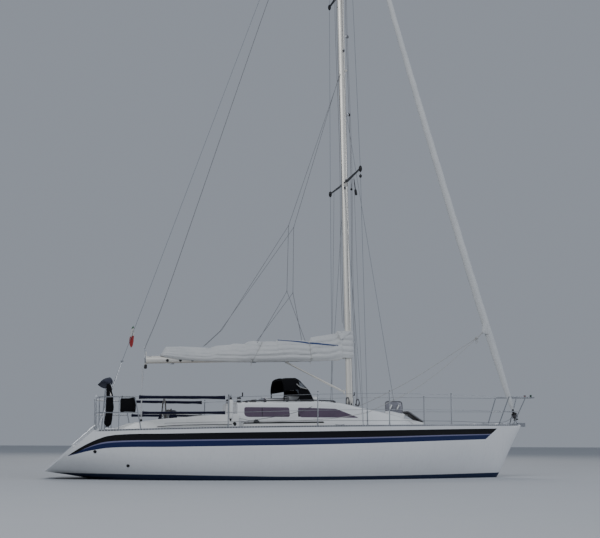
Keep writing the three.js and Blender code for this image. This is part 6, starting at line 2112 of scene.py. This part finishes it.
@dataclass
class CockpitWork:
    """Teak, steering, winches, mainsheet track, stern gear and ladder."""

    seat_z: float = 0.9
    sole_z: float = 0.47
    wheel_x: float = -3.06
    wheel_z: float = 1.33
    wheel_radius: float = 0.43
    traveller_x: float = -3.572

    def build(self) -> None:
        """Makes the cockpit."""
        for side in Side:
            recast(f"coaming_{side.label}", DECK, edge=0.012)
        self._teak()
        self._steering()
        self._winches()
        self._traveller()
        self._stern()

    def _teak(self) -> None:
        """Lays teak on the seats and on two parts of the sole."""
        shape = Shape()
        for side in (-1, 1):
            corners = [(-2.65, 0.42), (-1.6, 0.42), (-1.6, 0.93), (-2.65, 0.93)]
            outline = [(x, side * y, self.seat_z + 0.0005) for x, y in rounded(corners, 0.05)]
            shape.plate(outline, (0, 0, 0.009), 0.002)
        for x0, x1, y in ((-3.42, -2.72, 0.9), (-2.64, -1.28, 0.35)):
            outline = [(x, y, self.sole_z + 0.0005) for x, y in rounded([(x0, -y), (x1, -y), (x1, y), (x0, y)], 0.04)]
            shape.plate(outline, (0, 0, 0.009), 0.002)
        shape.done("cockpit_teak", TEAK_DECK)

    def _steering(self) -> None:
        """Finishes pedestal, compass, levers, wheel and its leather."""
        recast("steering_pedestal", PEDESTAL, edge=0.01)
        dark, metal = Shape(), Shape()
        x, z = self.wheel_x, self.wheel_z
        dark.turned([(0.0, 0.14), (0.078, 0.14), (0.086, 0.15), (0.086, 0.165), (0.07, 0.2), (0.03, 0.222),
                     (0.0, 0.225)], (x + 0.11, 0.0, z - 0.02), UP, 28)
        for y in (-0.055, 0.0, 0.055):
            dark.turned([(0.0, 0.0), (0.03, 0.0), (0.032, 0.006), (0.026, 0.008), (0.0, 0.006)],
                        (x + 0.039, y, z + 0.03 - 0.06 * (y == 0.0)), (-1, 0, 0), 18)
        metal.turned([(0.0, 0.0), (0.034, 0.0), (0.034, 0.012), (0.0, 0.014)], (x + 0.12, -0.076, z + 0.02),
                     (0, -1, 0), 18)
        metal.rod((x + 0.12, -0.09, z + 0.02), (x + 0.15, -0.1, z + 0.19), 0.008, 0.006)
        dark.ball((x + 0.152, -0.1, z + 0.2), 0.018)
        metal.ring((x + 0.11, 0.0, z + 0.135), UP, 0.084, 0.006, 32, 8)
        leather = Shape().ring((x, 0.0, z), (1, 0, 0), self.wheel_radius, 0.0145, 72, 12)
        bmesh.ops.rotate(leather.bm, cent=(x, 0, z), matrix=Matrix.Rotation(0.04, 3, "X"), verts=leather.bm.verts)
        wraps = Shape()
        for angle in turns(24):
            here = (x, self.wheel_radius * math.sin(angle), z + self.wheel_radius * math.cos(angle))
            wraps.ring(here, (0.0, math.cos(angle), -math.sin(angle)), 0.0145, 0.0018, 14, 6)
        dark.done("pedestal_instruments", BLACK_MOULDING)
        metal.done("pedestal_fittings", STAINLESS)
        dress("steering_wheel", STAINLESS)
        leather.done("wheel_leather", SAND_LEATHER, "wheel_group")
        wraps.done("wheel_stitching", GREY_ROPE, "wheel_group")
        hub = Shape().turned([(0.0, 0.034), (0.03, 0.032), (0.044, 0.022), (0.046, 0.0), (0.0, 0.0)],
                             (x - 0.012, 0, z), (-1, 0, 0), 28)
        for angle in turns(5):
            out = Vector((0.0, math.sin(angle), math.cos(angle)))
            hub.turned([(0.0, 0.0), (0.014, 0.0), (0.009, 0.05), (0.0, 0.05)],
                       Vector((x, 0, z)) + out * (self.wheel_radius - 0.012), -out, 12)
        hub.done("wheel_hub", STAINLESS, "wheel_group")

    def _winches(self) -> None:
        """Makes the covered primary winches and the bare halyard winches."""
        for side in Side:
            name = side.label
            low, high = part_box(f"winch_primary_{name}")
            centre = (Vector(low) + Vector(high)) / 2
            foot = low[2] + 0.012
            rings: list[list[Vector]] = []
            profile = ((0.084, 0.0), (0.087, 0.014), (0.084, 0.04), (0.074, 0.06), (0.066, 0.085), (0.066, 0.11),
                       (0.071, 0.132), (0.066, 0.15), (0.045, 0.16), (0.02, 0.163), (0.006, 0.163))
            for radius, rise in profile:
                ring = []
                for angle in turns(48):
                    skirt = max(0.0, 1 - rise / 0.07)
                    fold = 0.006 * skirt * math.sin(9 * angle + side.value) + 0.004 * ripple(
                        3 * math.cos(angle), 3 * math.sin(angle), 20 * rise + side.value)
                    ring.append(Vector((centre.x + (radius + fold) * math.cos(angle),
                                        centre.y + (radius + fold) * math.sin(angle), foot + rise)))
                rings.append(ring)
            cover = Shape().loft(rings).done(f"winch_cover_{name}", WINCH_CLOTH, angle=60.0,
                                             replaces=[f"winch_primary_{name}"])
            trim = Shape().tube([(centre.x + 0.089 * math.cos(a), centre.y + 0.089 * math.sin(a), foot + 0.006)
                                 for a in grid(0.0, math.tau * 23 / 24, 23)], 0.004, 6, closed=True)
            trim.turned([(0.0, 0.0), (0.076, 0.0), (0.076, 0.012), (0.0, 0.012)], (centre.x, centre.y, low[2]))
            trim.done(f"winch_cover_hem_{name}", WINCH_CLOTH)
            recast(f"winch_halyard_{name}", DARK_ALLOY, edge=0.002)
            low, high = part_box(f"winch_halyard_{name}")
            x, y = (low[0] + high[0]) / 2, (low[1] + high[1]) / 2
            top = Shape()
            for k in range(3):
                top.ring((x, y, low[2] + 0.05 + 0.011 * k), UP, 0.043, 0.0055, 28, 6)
            top.done(f"halyard_turns_{name}", WHITE_ROPE)
            gear = Shape().turned([(0.0, 0.0), (0.02, 0.0), (0.012, 0.008), (0.0, 0.008)], (x, y, high[2] - 0.002))
            end = (x + 0.05, y + side.value * 0.16)
            gear.rod((x, y, high[2] + 0.008), (*end, high[2] + 0.016), 0.009, 0.008)
            gear.rod((*end, high[2] + 0.01), (*end, high[2] + 0.1), 0.013, 0.015)
            gear.done(f"winch_handle_{name}", BLACK_MOULDING)

    def _traveller(self) -> None:
        """Finishes the mainsheet track and its car."""
        recast("traveller", TRACK, edge=0.002)
        shape = Shape()
        _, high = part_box("traveller")
        x = self.traveller_x
        shape.box((x - 0.055, -0.075, high[2] - 0.028), (x + 0.055, 0.075, high[2] + 0.012), 0.012)
        shape.box((x - 0.016, -0.03, high[2] + 0.01), (x + 0.016, 0.03, high[2] + 0.07), 0.01)
        for side in (-1, 1):
            for k in range(2):
                shape.sheave((x - 0.022 + 0.044 * k, side * 0.77, high[2] + 0.012), UP, 0.026, 0.008, 0.02)
            shape.rope([(x, side * 0.07, high[2] - 0.002), (x + 0.005, side * 0.4, high[2] + 0.004),
                        (x, side * 0.76, high[2] + 0.012)], 0.004, 6, 6)
        shape.done("traveller_car", BLACK_MOULDING)

    def _stern(self) -> None:
        """Finishes ladder and pushpit, and adds ladder treads, a stern lamp and the pushpit's feet."""
        dress("boarding_ladder", STAINLESS)
        dress("pushpit", STAINLESS)
        treads = Shape()
        pivot, run, out = Vector((-5.058, 0.0, 0.74)), Vector((0.743, 0.0, 0.669)), Vector((-0.669, 0.0, 0.743))
        for distance in (0.2, 0.41, 0.627):
            for k in (-1, 0, 1):
                centre = pivot + run * (distance + 0.017 * k) + out * 0.005
                treads.rod(centre - Vector((0, 0.125, 0)), centre + Vector((0, 0.125, 0)), 0.0095, None, 8)
        treads.done("ladder_treads", BLACK_MOULDING, "ladder_group")
        lamp = Shape().turned([(0.0, 0.0), (0.03, 0.0), (0.032, 0.02), (0.03, 0.05), (0.0, 0.055)],
                              (-4.598, -0.75, 1.755), UP, 18)
        lamp.done("stern_lamp", CLEAR_LENS)
        metal = Shape()
        for side in (-1, 1):
            for x, y in ((-4.15, 1.4), (-4.54, 1.02)):
                metal.turned([(0.0, 0.0), (0.035, 0.0), (0.03, 0.008), (0.018, 0.014), (0.0, 0.014)],
                             (x, side * y, deck_z(x, y) + 0.001), UP, 16)
        metal.done("pushpit_feet", STAINLESS)


@dataclass
class DeckWork:
    """Lifelines, tracks, cleats, bow rail and other deck gear."""

    stanchions: tuple[tuple[float, float, float], ...] = (
        (-1.876, 1.793, 1.81), (0.096, 1.767, 1.91), (1.828, 1.464, 1.966), (3.5, 0.935, 1.945),
    )
    cleats: tuple[Flat, ...] = ((-4.32, 1.2), (0.62, 1.655), (4.55, 0.46))
    track_y: float = 1.19
    car_x: float = -1.15
    turning_block: Flat = (-1.655, 1.3)

    def build(self) -> None:
        """Makes the deck gear."""
        for side in Side:
            dress(f"lifelines_{side.label}", STAINLESS)
            track = recast(f"genoa_track_{side.label}", WHITE_PLINTH, edge=0.003)
            track.data.materials.append(TRACK.material())
            car_foot = self._track_top(side.label, self.car_x) + 0.003
            for face in track.data.polygons:
                on_car = abs(face.center.x - self.car_x) < 0.1 and face.center.z > car_foot
                if on_car or all(self._on_rail(track.data.vertices[i].co) for i in face.vertices):
                    face.material_index = 1
            self._side(side)
        dress("pulpit", STAINLESS)
        recast("stem_fitting", STAINLESS, edge=0.002)
        self._bow()

    def _side(self, side: Side) -> None:
        """Makes one side's stanchion sockets, cleats, tracks and cars.

        Args:
            side: Side of the boat.
        """
        sign, name = side.value, side.label
        metal, dark = Shape(), Shape()
        for x, y, top in self.stanchions:
            foot = deck_z(x, y)
            metal.turned([(0.0, 0.0), (0.02, 0.0), (0.0185, 0.012), (0.0165, 0.085), (0.0, 0.085)],
                         (x, sign * y, foot + 0.004))
            metal.box((x - 0.045, sign * y - 0.024, foot - 0.004), (x + 0.045, sign * y + 0.024, foot + 0.008), 0.004)
            dark.ball((x, sign * y, top - 0.004), 0.0135, (1, 1, 0.8), 12)
        for x, y in self.cleats:
            foot = deck_z(x, y)
            slope = (HULL.at(x + 0.1, HALF) - HULL.at(x - 0.1, HALF)) / 0.2
            run = Vector((1.0, sign * slope, 0.0)).normalized()
            here = Vector((x, sign * y, foot))
            for share in (-0.035, 0.035):
                metal.rod(here + run * share, here + run * share + Vector((0, 0, 0.034)), 0.011, 0.009)
            horns = ((-0.105, 0.046), (-0.05, 0.036), (0.05, 0.036), (0.105, 0.046))
            metal.tube([here + run * share + Vector((0, 0, rise)) for share, rise in horns], 0.01, 10)
        y = sign * self.track_y
        for x in (self.car_x, 0.3):
            z = self._track_top(name, x)
            dark.box((x - 0.07, y - 0.03, z - 0.014), (x + 0.07, y + 0.03, z + 0.012), 0.008)
            if x == self.car_x:
                dark.sheave((x, y, z + 0.04), (0, 1, 0), 0.036, 0.014, 0.03, 20)
                for low, high in ((-0.022, -0.015), (0.015, 0.022)):
                    dark.box((x - 0.03, y + low, z + 0.006), (x + 0.03, y + high, z + 0.075), 0.004)
        line = [(x, y, self._track_top(name, x) + 0.001) for x in grid(-1.43, 0.37, 12)]
        rail = Shape().tube(line, 0.0135, 8, smooth=False)
        for x in grid(-1.4, 0.34, 24):
            rail.turned([(0.0, 0.0), (0.006, 0.0), (0.005, 0.003), (0.0, 0.003)],
                        (x, y, self._track_top(name, x) + 0.013), UP, 8)
        edge = [(x, HULL.at(x, HALF) - 0.22) for x in grid(0.33, 1.08, 10)]
        rail.tube([(x, sign * y, deck_z(x, y) + 0.008) for x, y in edge], 0.011, 8, smooth=False)
        base = [(x, sign * y, z) for x, y, z in ((-3.34, 1.395, 1.128), (-2.9, 1.404, 1.16), (-2.42, 1.402, 1.176),
                                                  (-2.0, 1.375, 1.185), (-1.72, 1.36, 1.192))]
        rail.rope(base, 0.008, 5)
        rail.done(f"genoa_rail_{name}", TRACK)
        (x, y), z = self.turning_block, deck_z(*self.turning_block)
        y *= sign
        dark.box((x - 0.03, y - 0.02, z), (x + 0.03, y + 0.02, z + 0.1), 0.012)
        dark.sheave((x, y, z + 0.07), (0, 1, 0), 0.042, 0.016, 0.036, 20)
        metal.done(f"deck_fittings_{name}", STAINLESS)
        dark.done(f"deck_blocks_{name}", BLACK_MOULDING)

    def _on_rail(self, place: Vector) -> bool:
        """Whether a corner of the genoa track stands on its rail and not on its plinth."""
        return abs(abs(place.y) - self.track_y) < 0.0168

    def _track_top(self, name: str, x: float) -> float:
        """Height of the genoa track's top at x."""
        on_track = [v.co for v in frame["nodes"][f"genoa_track_{name}"].data.vertices
                    if self._on_rail(v.co) and not -1.3 < v.co.x < -1.0]
        tops: dict[float, float] = {}
        for p in on_track:
            tops[round(p.x, 2)] = max(p.z, tops.get(round(p.x, 2), 0.0))
        return table(sorted(tops.items()), x)

    def _bow(self) -> None:
        """Makes the anchor locker's lid, bow lamps, fairleads and rollers."""
        lid, dark, metal = Shape(), Shape(), Shape()
        corners = [(4.3, -0.34), (4.98, -0.17), (4.98, 0.17), (4.3, 0.34)]
        outline = [(x, y, deck_z(x, y) + 0.001) for x, y in rounded(corners, 0.05)]
        lid.plate(outline, (0, 0, 0.007), 0.003)
        lid.done("anchor_locker_lid", DECK)
        for y in (-0.14, 0.14):
            metal.box((4.27, y - 0.03, deck_z(4.3, y) + 0.004), (4.33, y + 0.03, deck_z(4.3, y) + 0.014), 0.003)
        metal.ring((4.93, 0.0, deck_z(4.93, 0) + 0.012), UP, 0.02, 0.004, 16, 8)
        for side in (-1, 1):
            metal.tube([(5.06, side * 0.27, 1.245), (5.14, side * 0.245, 1.285), (5.26, side * 0.2, 1.285),
                        (5.34, side * 0.17, 1.25)], 0.01, 8)
            for x, y in ((4.928, 0.335), (5.405, 0.106)):
                metal.turned([(0.0, 0.0), (0.032, 0.0), (0.03, 0.006), (0.017, 0.012), (0.0, 0.012)],
                             (x, side * y, deck_z(x, y) + 0.001), UP, 16)
            lens = Shape().turned([(0.0, 0.0), (0.02, 0.0), (0.022, 0.01), (0.022, 0.03), (0.0, 0.032)],
                                  (5.86, side * 0.17, 1.932), UP, 18)
            for z in (1.922, 1.963):
                dark.turned([(0.0, 0.0), (0.027, 0.0), (0.027, 0.011), (0.0, 0.012)], (5.86, side * 0.17, z))
            lens.done(f"bow_lamp_{'port' if side > 0 else 'starboard'}", RED_LENS if side > 0 else GREEN_LENS)
        dark.sheave((5.722, 0.0, 1.252), (0, 1, 0), 0.026, 0.024, 0.016, 20)
        dark.done("bow_roller", BLACK_MOULDING)
        metal.done("bow_fittings", STAINLESS)


@dataclass
class SoftGoods:
    """Lifeline sleeves, rolled bimini, stern bag, fender and ensign."""

    pad_heights: tuple[tuple[str, float], ...] = (("upper", 0.086), ("lower", 0.072))
    frames: int = 16
    cap: float = 0.012
    bow_top: Flat = (-4.345, 2.108)
    bag_middle: Flat = (-3.965, -1.352)
    backstay_slope: float = 0.3425

    def build(self) -> None:
        """Makes the soft goods."""
        for side in Side:
            for level, high in self.pad_heights:
                self._sleeve(side, level, high)
        self._bimini()
        self._leg_sleeve()
        self._bag()
        self._fender()
        self._ensign()

    def _puff(self, piece: Piece, pressure: float, voxel: float = 0.008) -> None:
        """Swells a soft piece as cloth under pressure and keeps the result.

        Args:
            piece: The piece, a closed skin.
            pressure: Pressure inside it.
            voxel: Size of its even mesh.
        """
        remesh = piece.modifiers.new("Even mesh", "REMESH")
        remesh.mode = "VOXEL"
        remesh.voxel_size = voxel
        graph = bpy.context.evaluated_depsgraph_get()
        even = bpy.data.meshes.new_from_object(piece.evaluated_get(graph))
        piece.modifiers.clear()
        materials = list(piece.data.materials)
        piece.data = even
        even.materials.clear()
        for material in materials:
            even.materials.append(material)
        start = [v.co.copy() for v in even.vertices]
        cloth = piece.modifiers.new("Cloth", "CLOTH")
        cloth.settings.use_pressure = True
        cloth.settings.uniform_pressure_force = pressure
        cloth.settings.effector_weights.gravity = 0.0
        cloth.settings.quality = 5
        cloth.point_cache.frame_start, cloth.point_cache.frame_end = 1, self.frames
        scene = bpy.context.scene
        for step in range(1, self.frames + 1):
            scene.frame_set(step)
        settled = bpy.data.meshes.new_from_object(piece.evaluated_get(bpy.context.evaluated_depsgraph_get()))
        for vertex, before, after in zip(even.vertices, start, settled.vertices):
            move = after.co - before
            vertex.co = before + (move if move.length < self.cap else move.normalized() * self.cap)
        piece.modifiers.clear()
        bpy.data.meshes.remove(settled)
        scene.frame_set(1)
        even.shade_smooth()
        LOG.info("%s: settled as cloth, %d faces", piece.name, len(even.polygons))

    def _sleeve(self, side: Side, level: str, high: float) -> None:
        """Folds one quilted sleeve over a lifeline.

        Args:
            side: Side of the boat.
            level: Which lifeline.
            high: Height of the sleeve.
        """
        node = f"lifeline_pad_{level}_{side.label}"
        low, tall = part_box(node)
        a, b = middle(node, 0, low[0], low[0] + 0.06), middle(node, 0, tall[0] - 0.06, tall[0])
        run = (b - a).normalized()
        out = Vector((-run.y, run.x, 0.0)).normalized()
        rings: list[list[Vector]] = []
        length = (b - a).length
        for distance in grid(0.0, length, 84, fine_ends=True):
            here = a + run * distance
            end = min(1.0, distance / 0.02, (length - distance) / 0.02)
            channel = 1.0 - 0.14 * math.exp(-((distance % 0.3 - 0.15) / 0.012) ** 2)
            thick = 0.0165 * channel * (0.35 + 0.65 * max(0.0, end) ** 0.5)
            ring = []
            for angle in turns(28):
                up = math.copysign(abs(math.sin(angle)) ** 0.62, math.sin(angle))
                wave = 0.004 * ripple(6 * distance, up, side.value) + 0.003 * ripple(17 * distance, 2 * up)
                low_edge = 0.006 * ripple(3.3 * distance, 8.0 + side.value) if up < 0 else 0.0
                ring.append(here + out * (math.cos(angle) * thick * (1.15 - 0.3 * max(0.0, up)) + wave)
                            + Vector((0, 0, up * high / 2 - 0.006 + low_edge)))
            rings.append(ring)
        pad = Shape().loft(rings).done(f"{node}_sleeve", NAVY_COVER, angle=60.0, replaces=[node])
        self._puff(pad, 2.0)
        seams = Shape()
        for up in (-0.5, 0.47):
            for face in (-1, 1):
                seams.tube([a + run * d + out * face * 0.0175 + Vector((0, 0, up * high * 0.86 - 0.004))
                            for d in grid(0.03, length - 0.03, 30)], 0.0012, 4, smooth=False)
        ends = Shape()
        for point in (a, b):
            inward = (a + b) / 2 - point
            ends.ring(point + inward.normalized() * 0.03 + Vector((0, 0, 0.028)), run, 0.02, 0.003, 16, 6)
        seams.done(f"{node}_stitching", GREY_ROPE)
        ends.done(f"{node}_lashing", DARK_ROPE)

    def _bimini(self) -> None:
        """Rolls the bimini cloth round its folded bows and straps it."""
        low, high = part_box("bimini_roll")
        places = (-0.62, -0.2, 0.22, 0.64)
        bow_x, bow_z = self.bow_top

        def at(y: float, angle: float, over: float) -> Vector:
            """Point over the bundle's outside, wedge-shaped towards the stern."""
            strap = min(1.0, sum(math.exp(-((y - place) / 0.03) ** 2) for place in places))
            wedge = 1.0 + 1.05 * max(0.0, -math.cos(angle)) ** 3
            spiral = (angle / math.tau + 0.12 * math.sin(3 * y)) % 1.0
            reach = (0.07 + 0.012 * spiral + 0.012 * ripple(3 * y, math.cos(angle), math.sin(angle))
                     + 0.006 * ripple(11 * y, 3 * math.cos(angle), 3 * math.sin(angle)))
            reach = reach * (1.0 - 0.14 * strap) + over
            return Vector((bow_x + reach * wedge * 1.1 * math.cos(angle), y, bow_z + reach * 1.08 * math.sin(angle)))

        rings: list[list[Vector]] = []
        for share in grid(0.0, 1.0, 120, fine_ends=True):
            y = low[1] + 0.01 + (high[1] - low[1] - 0.02) * share
            end = 0.45 + 0.55 * min(1.0, 9 * share, 9 * (1 - share)) ** 0.5
            core = Vector((bow_x, y, bow_z))
            rings.append([core.lerp(at(y, angle, 0.0), end) for angle in turns(56)])
        roll = Shape().loft(rings).done("bimini_bundle", BIMINI_CLOTH, angle=60.0, replaces=["bimini_roll"])
        self._puff(roll, 2.5, 0.012)
        straps = Shape()
        for place in places:
            for offset in (-0.01, 0.0, 0.01):
                straps.tube([at(place + offset, a, 0.003) for a in grid(0.0, math.tau * 35 / 36, 35)], 0.006, 6,
                            closed=True)
        straps.done("bimini_straps", BLACK_CANVAS)

    def _leg_sleeve(self) -> None:
        """Wraps the dark cloth sleeve that hangs round the starboard bow's leg."""
        rings: list[list[Vector]] = []
        for z in grid(1.12, 2.04, 70):
            share = (z - 1.12) / 0.92
            reach = 0.06 + 0.018 * math.sin(math.pi * min(1.0, share * 1.2)) + 0.022 * ripple(6 * z, 2.0)
            reach *= min(1.0, 0.5 + 7 * share, 0.45 + 6 * (1 - share))
            lean = 0.02 * math.sin(5 * z)
            ring = []
            for angle in turns(36):
                fold = (1.0 + 0.13 * math.sin(5 * angle + 5 * z)
                        + 0.16 * ripple(7 * z, 2 * math.cos(angle), 2 * math.sin(angle))
                        + 0.08 * ripple(19 * z, 3 * math.cos(angle), 3 * math.sin(angle)))
                ring.append(Vector((self.bow_top[0] + lean + reach * fold * math.cos(angle),
                                    -0.86 + 0.75 * reach * fold * math.sin(angle), z)))
            rings.append(ring)
        sleeve = Shape().loft(rings).done("bimini_leg_sleeve", BLACK_CANVAS, angle=60.0)

    def _bag(self) -> None:
        """Hangs a canvas bag inside the quarter rail."""
        rings: list[list[Vector]] = []
        for z in grid(1.43, 1.735, 30, fine_ends=True):
            share = (z - 1.43) / 0.305
            swell = 0.03 + 0.05 * math.sin(math.pi * min(1.0, 0.1 + 0.8 * (1 - share)))
            end = min(1.0, 0.35 + 5 * share, 0.3 + 4 * (1 - share))
            ring = []
            for angle in turns(40):
                u = math.copysign(abs(math.cos(angle)) ** 0.6, math.cos(angle))
                v = math.copysign(abs(math.sin(angle)) ** 0.8, math.sin(angle))
                along = u * 0.165 * (0.92 + 0.08 * end) + 0.006 * ripple(8 * z, u)
                deep = v * swell * end * (1.0 + 0.15 * ripple(4 * u, 6 * z, v))
                slant = 0.028 * (u * 0.5) * share
                ring.append(Vector((self.bag_middle[0] + along, self.bag_middle[1] - 0.17 * along + deep, z + slant)))
            rings.append(ring)
        bag = Shape().loft(rings).done("quarter_bag", BLACK_CANVAS, angle=60.0)
        self._puff(bag, 2.0, 0.009)
        hooks = Shape()
        for x in (-4.1, -3.83):
            y = -1.435 + 0.17 * (self.bag_middle[0] - x) * 0.5
            route = ((0.06, 1.7), (0.03, 1.765), (-0.02, 1.768), (-0.02, 1.74))
            hooks.tube([(x, y + out, z) for out, z in route], 0.007, 8)
        hooks.done("quarter_bag_straps", BLACK_CANVAS)

    def _fender(self) -> None:
        """Turns the fender with its ends, caps and lanyard."""
        low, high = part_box("fender")
        x, y = (low[0] + high[0]) / 2, (low[1] + high[1]) / 2
        foot = low[2] + 0.01
        profile = [(0.0, 0.0), (0.016, 0.0), (0.02, 0.02), (0.022, 0.04), (0.036, 0.052), (0.05, 0.07),
                   (0.055, 0.1), (0.056, 0.25), (0.055, 0.4), (0.05, 0.435), (0.036, 0.455), (0.022, 0.468),
                   (0.02, 0.49), (0.017, 0.505), (0.0, 0.505)]
        Shape().turned(profile, (x, y, foot), UP, 36).done("fender_body", FENDER_VINYL, replaces=["fender"])
        caps = Shape()
        for start, end in ((0.0, 0.055), (0.448, 0.51)):
            ring = [(r + 0.0015, h) for r, h in profile if start - 0.001 <= h <= end]
            caps.turned([(0.0, ring[0][1])] + ring + [(0.0, ring[-1][1])], (x, y, foot), UP, 36)
        caps.done("fender_ends", BLACK_MOULDING)
        line = Shape().rope([(x, y, foot + 0.5), (x + 0.003, y + 0.002, foot + 0.56), (x - 0.008, y + 0.004, 1.76)],
                            0.005, 4)
        line.ball((x - 0.008, y + 0.002, min(1.775, high[2])), 0.014)
        line.done("fender_lanyard", DARK_ROPE)

    def _ensign(self) -> None:
        """Hangs the ensign limp from the backstay in soft folds."""
        low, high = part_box("ensign")
        y = (low[1] + high[1]) / 2
        rows: list[list[Vector]] = []
        for down in grid(0.0, 1.0, 54):
            middle_x = -3.812 - 0.024 * down + 0.006 * math.sin(7 * down)
            half = table(((0.0, 0.016), (0.08, 0.03), (0.4, 0.044), (0.72, 0.05), (0.9, 0.034), (1.0, 0.012)), down)
            row = []
            for fly in grid(-1.0, 1.0, 46):
                fold = math.sin(math.pi * (2.4 * fly + 0.5 * math.sin(2.2 * down)))
                row.append(Vector((middle_x + half * fly, y + (0.004 + 0.2 * half) * fold,
                                   high[2] - 0.006 - 0.475 * down + 0.02 * fly * (1 - down))))
            rows.append(row)
        shape = Shape().loft(rows, open_rings=True)
        flag = shape.done("ensign_cloth", FLAG, angle=70.0, outward=False, replaces=["ensign"])
        layer = flag.data.uv_layers.new(name="Cloth")
        for loop in flag.data.loops:
            point = flag.data.vertices[loop.vertex_index].co
            down = (high[2] - 0.004 - point.z) / 0.5
            slant = down + 1.1 * (point.x + 3.82) * (1 - down)
            layer.data[loop.index].uv = (table(((0.0, 0.0), (0.1, 0.333), (0.44, 0.666), (1.0, 1.0)), slant), down)
        thicken(flag, 0.0015, 0.0)
        LOG.info("ensign: %.3f square metres", sum(face.area for face in flag.data.polygons))
        toggles = Shape()
        for z, hoist in ((high[2] - 0.01, -3.82), (low[2] + 0.26, -3.868)):
            on_stay = Vector((-4.03 + self.backstay_slope * (z - 2.6), 0.004, z))
            toggles.ring(on_stay, (0.34, 0, 1), 0.01, 0.003, 14, 6)
            toggles.rod(on_stay, (hoist, y, z - 0.008), 0.0025, None, 6)
        toggles.done("ensign_toggles", WHITE_ROPE)


def main() -> None:
    """Builds every sub-assembly in order."""
    logging.basicConfig(level=logging.INFO, format="%(message)s")
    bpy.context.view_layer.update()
    Studio().build()
    for work in (HullWork(), CabinWork(), RigWork(), SailWork(), HoodWork(), CockpitWork(), DeckWork(), SoftGoods()):
        LOG.info("building %s", type(work).__name__)
        work.build()


if __name__ == "__main__":
    main()
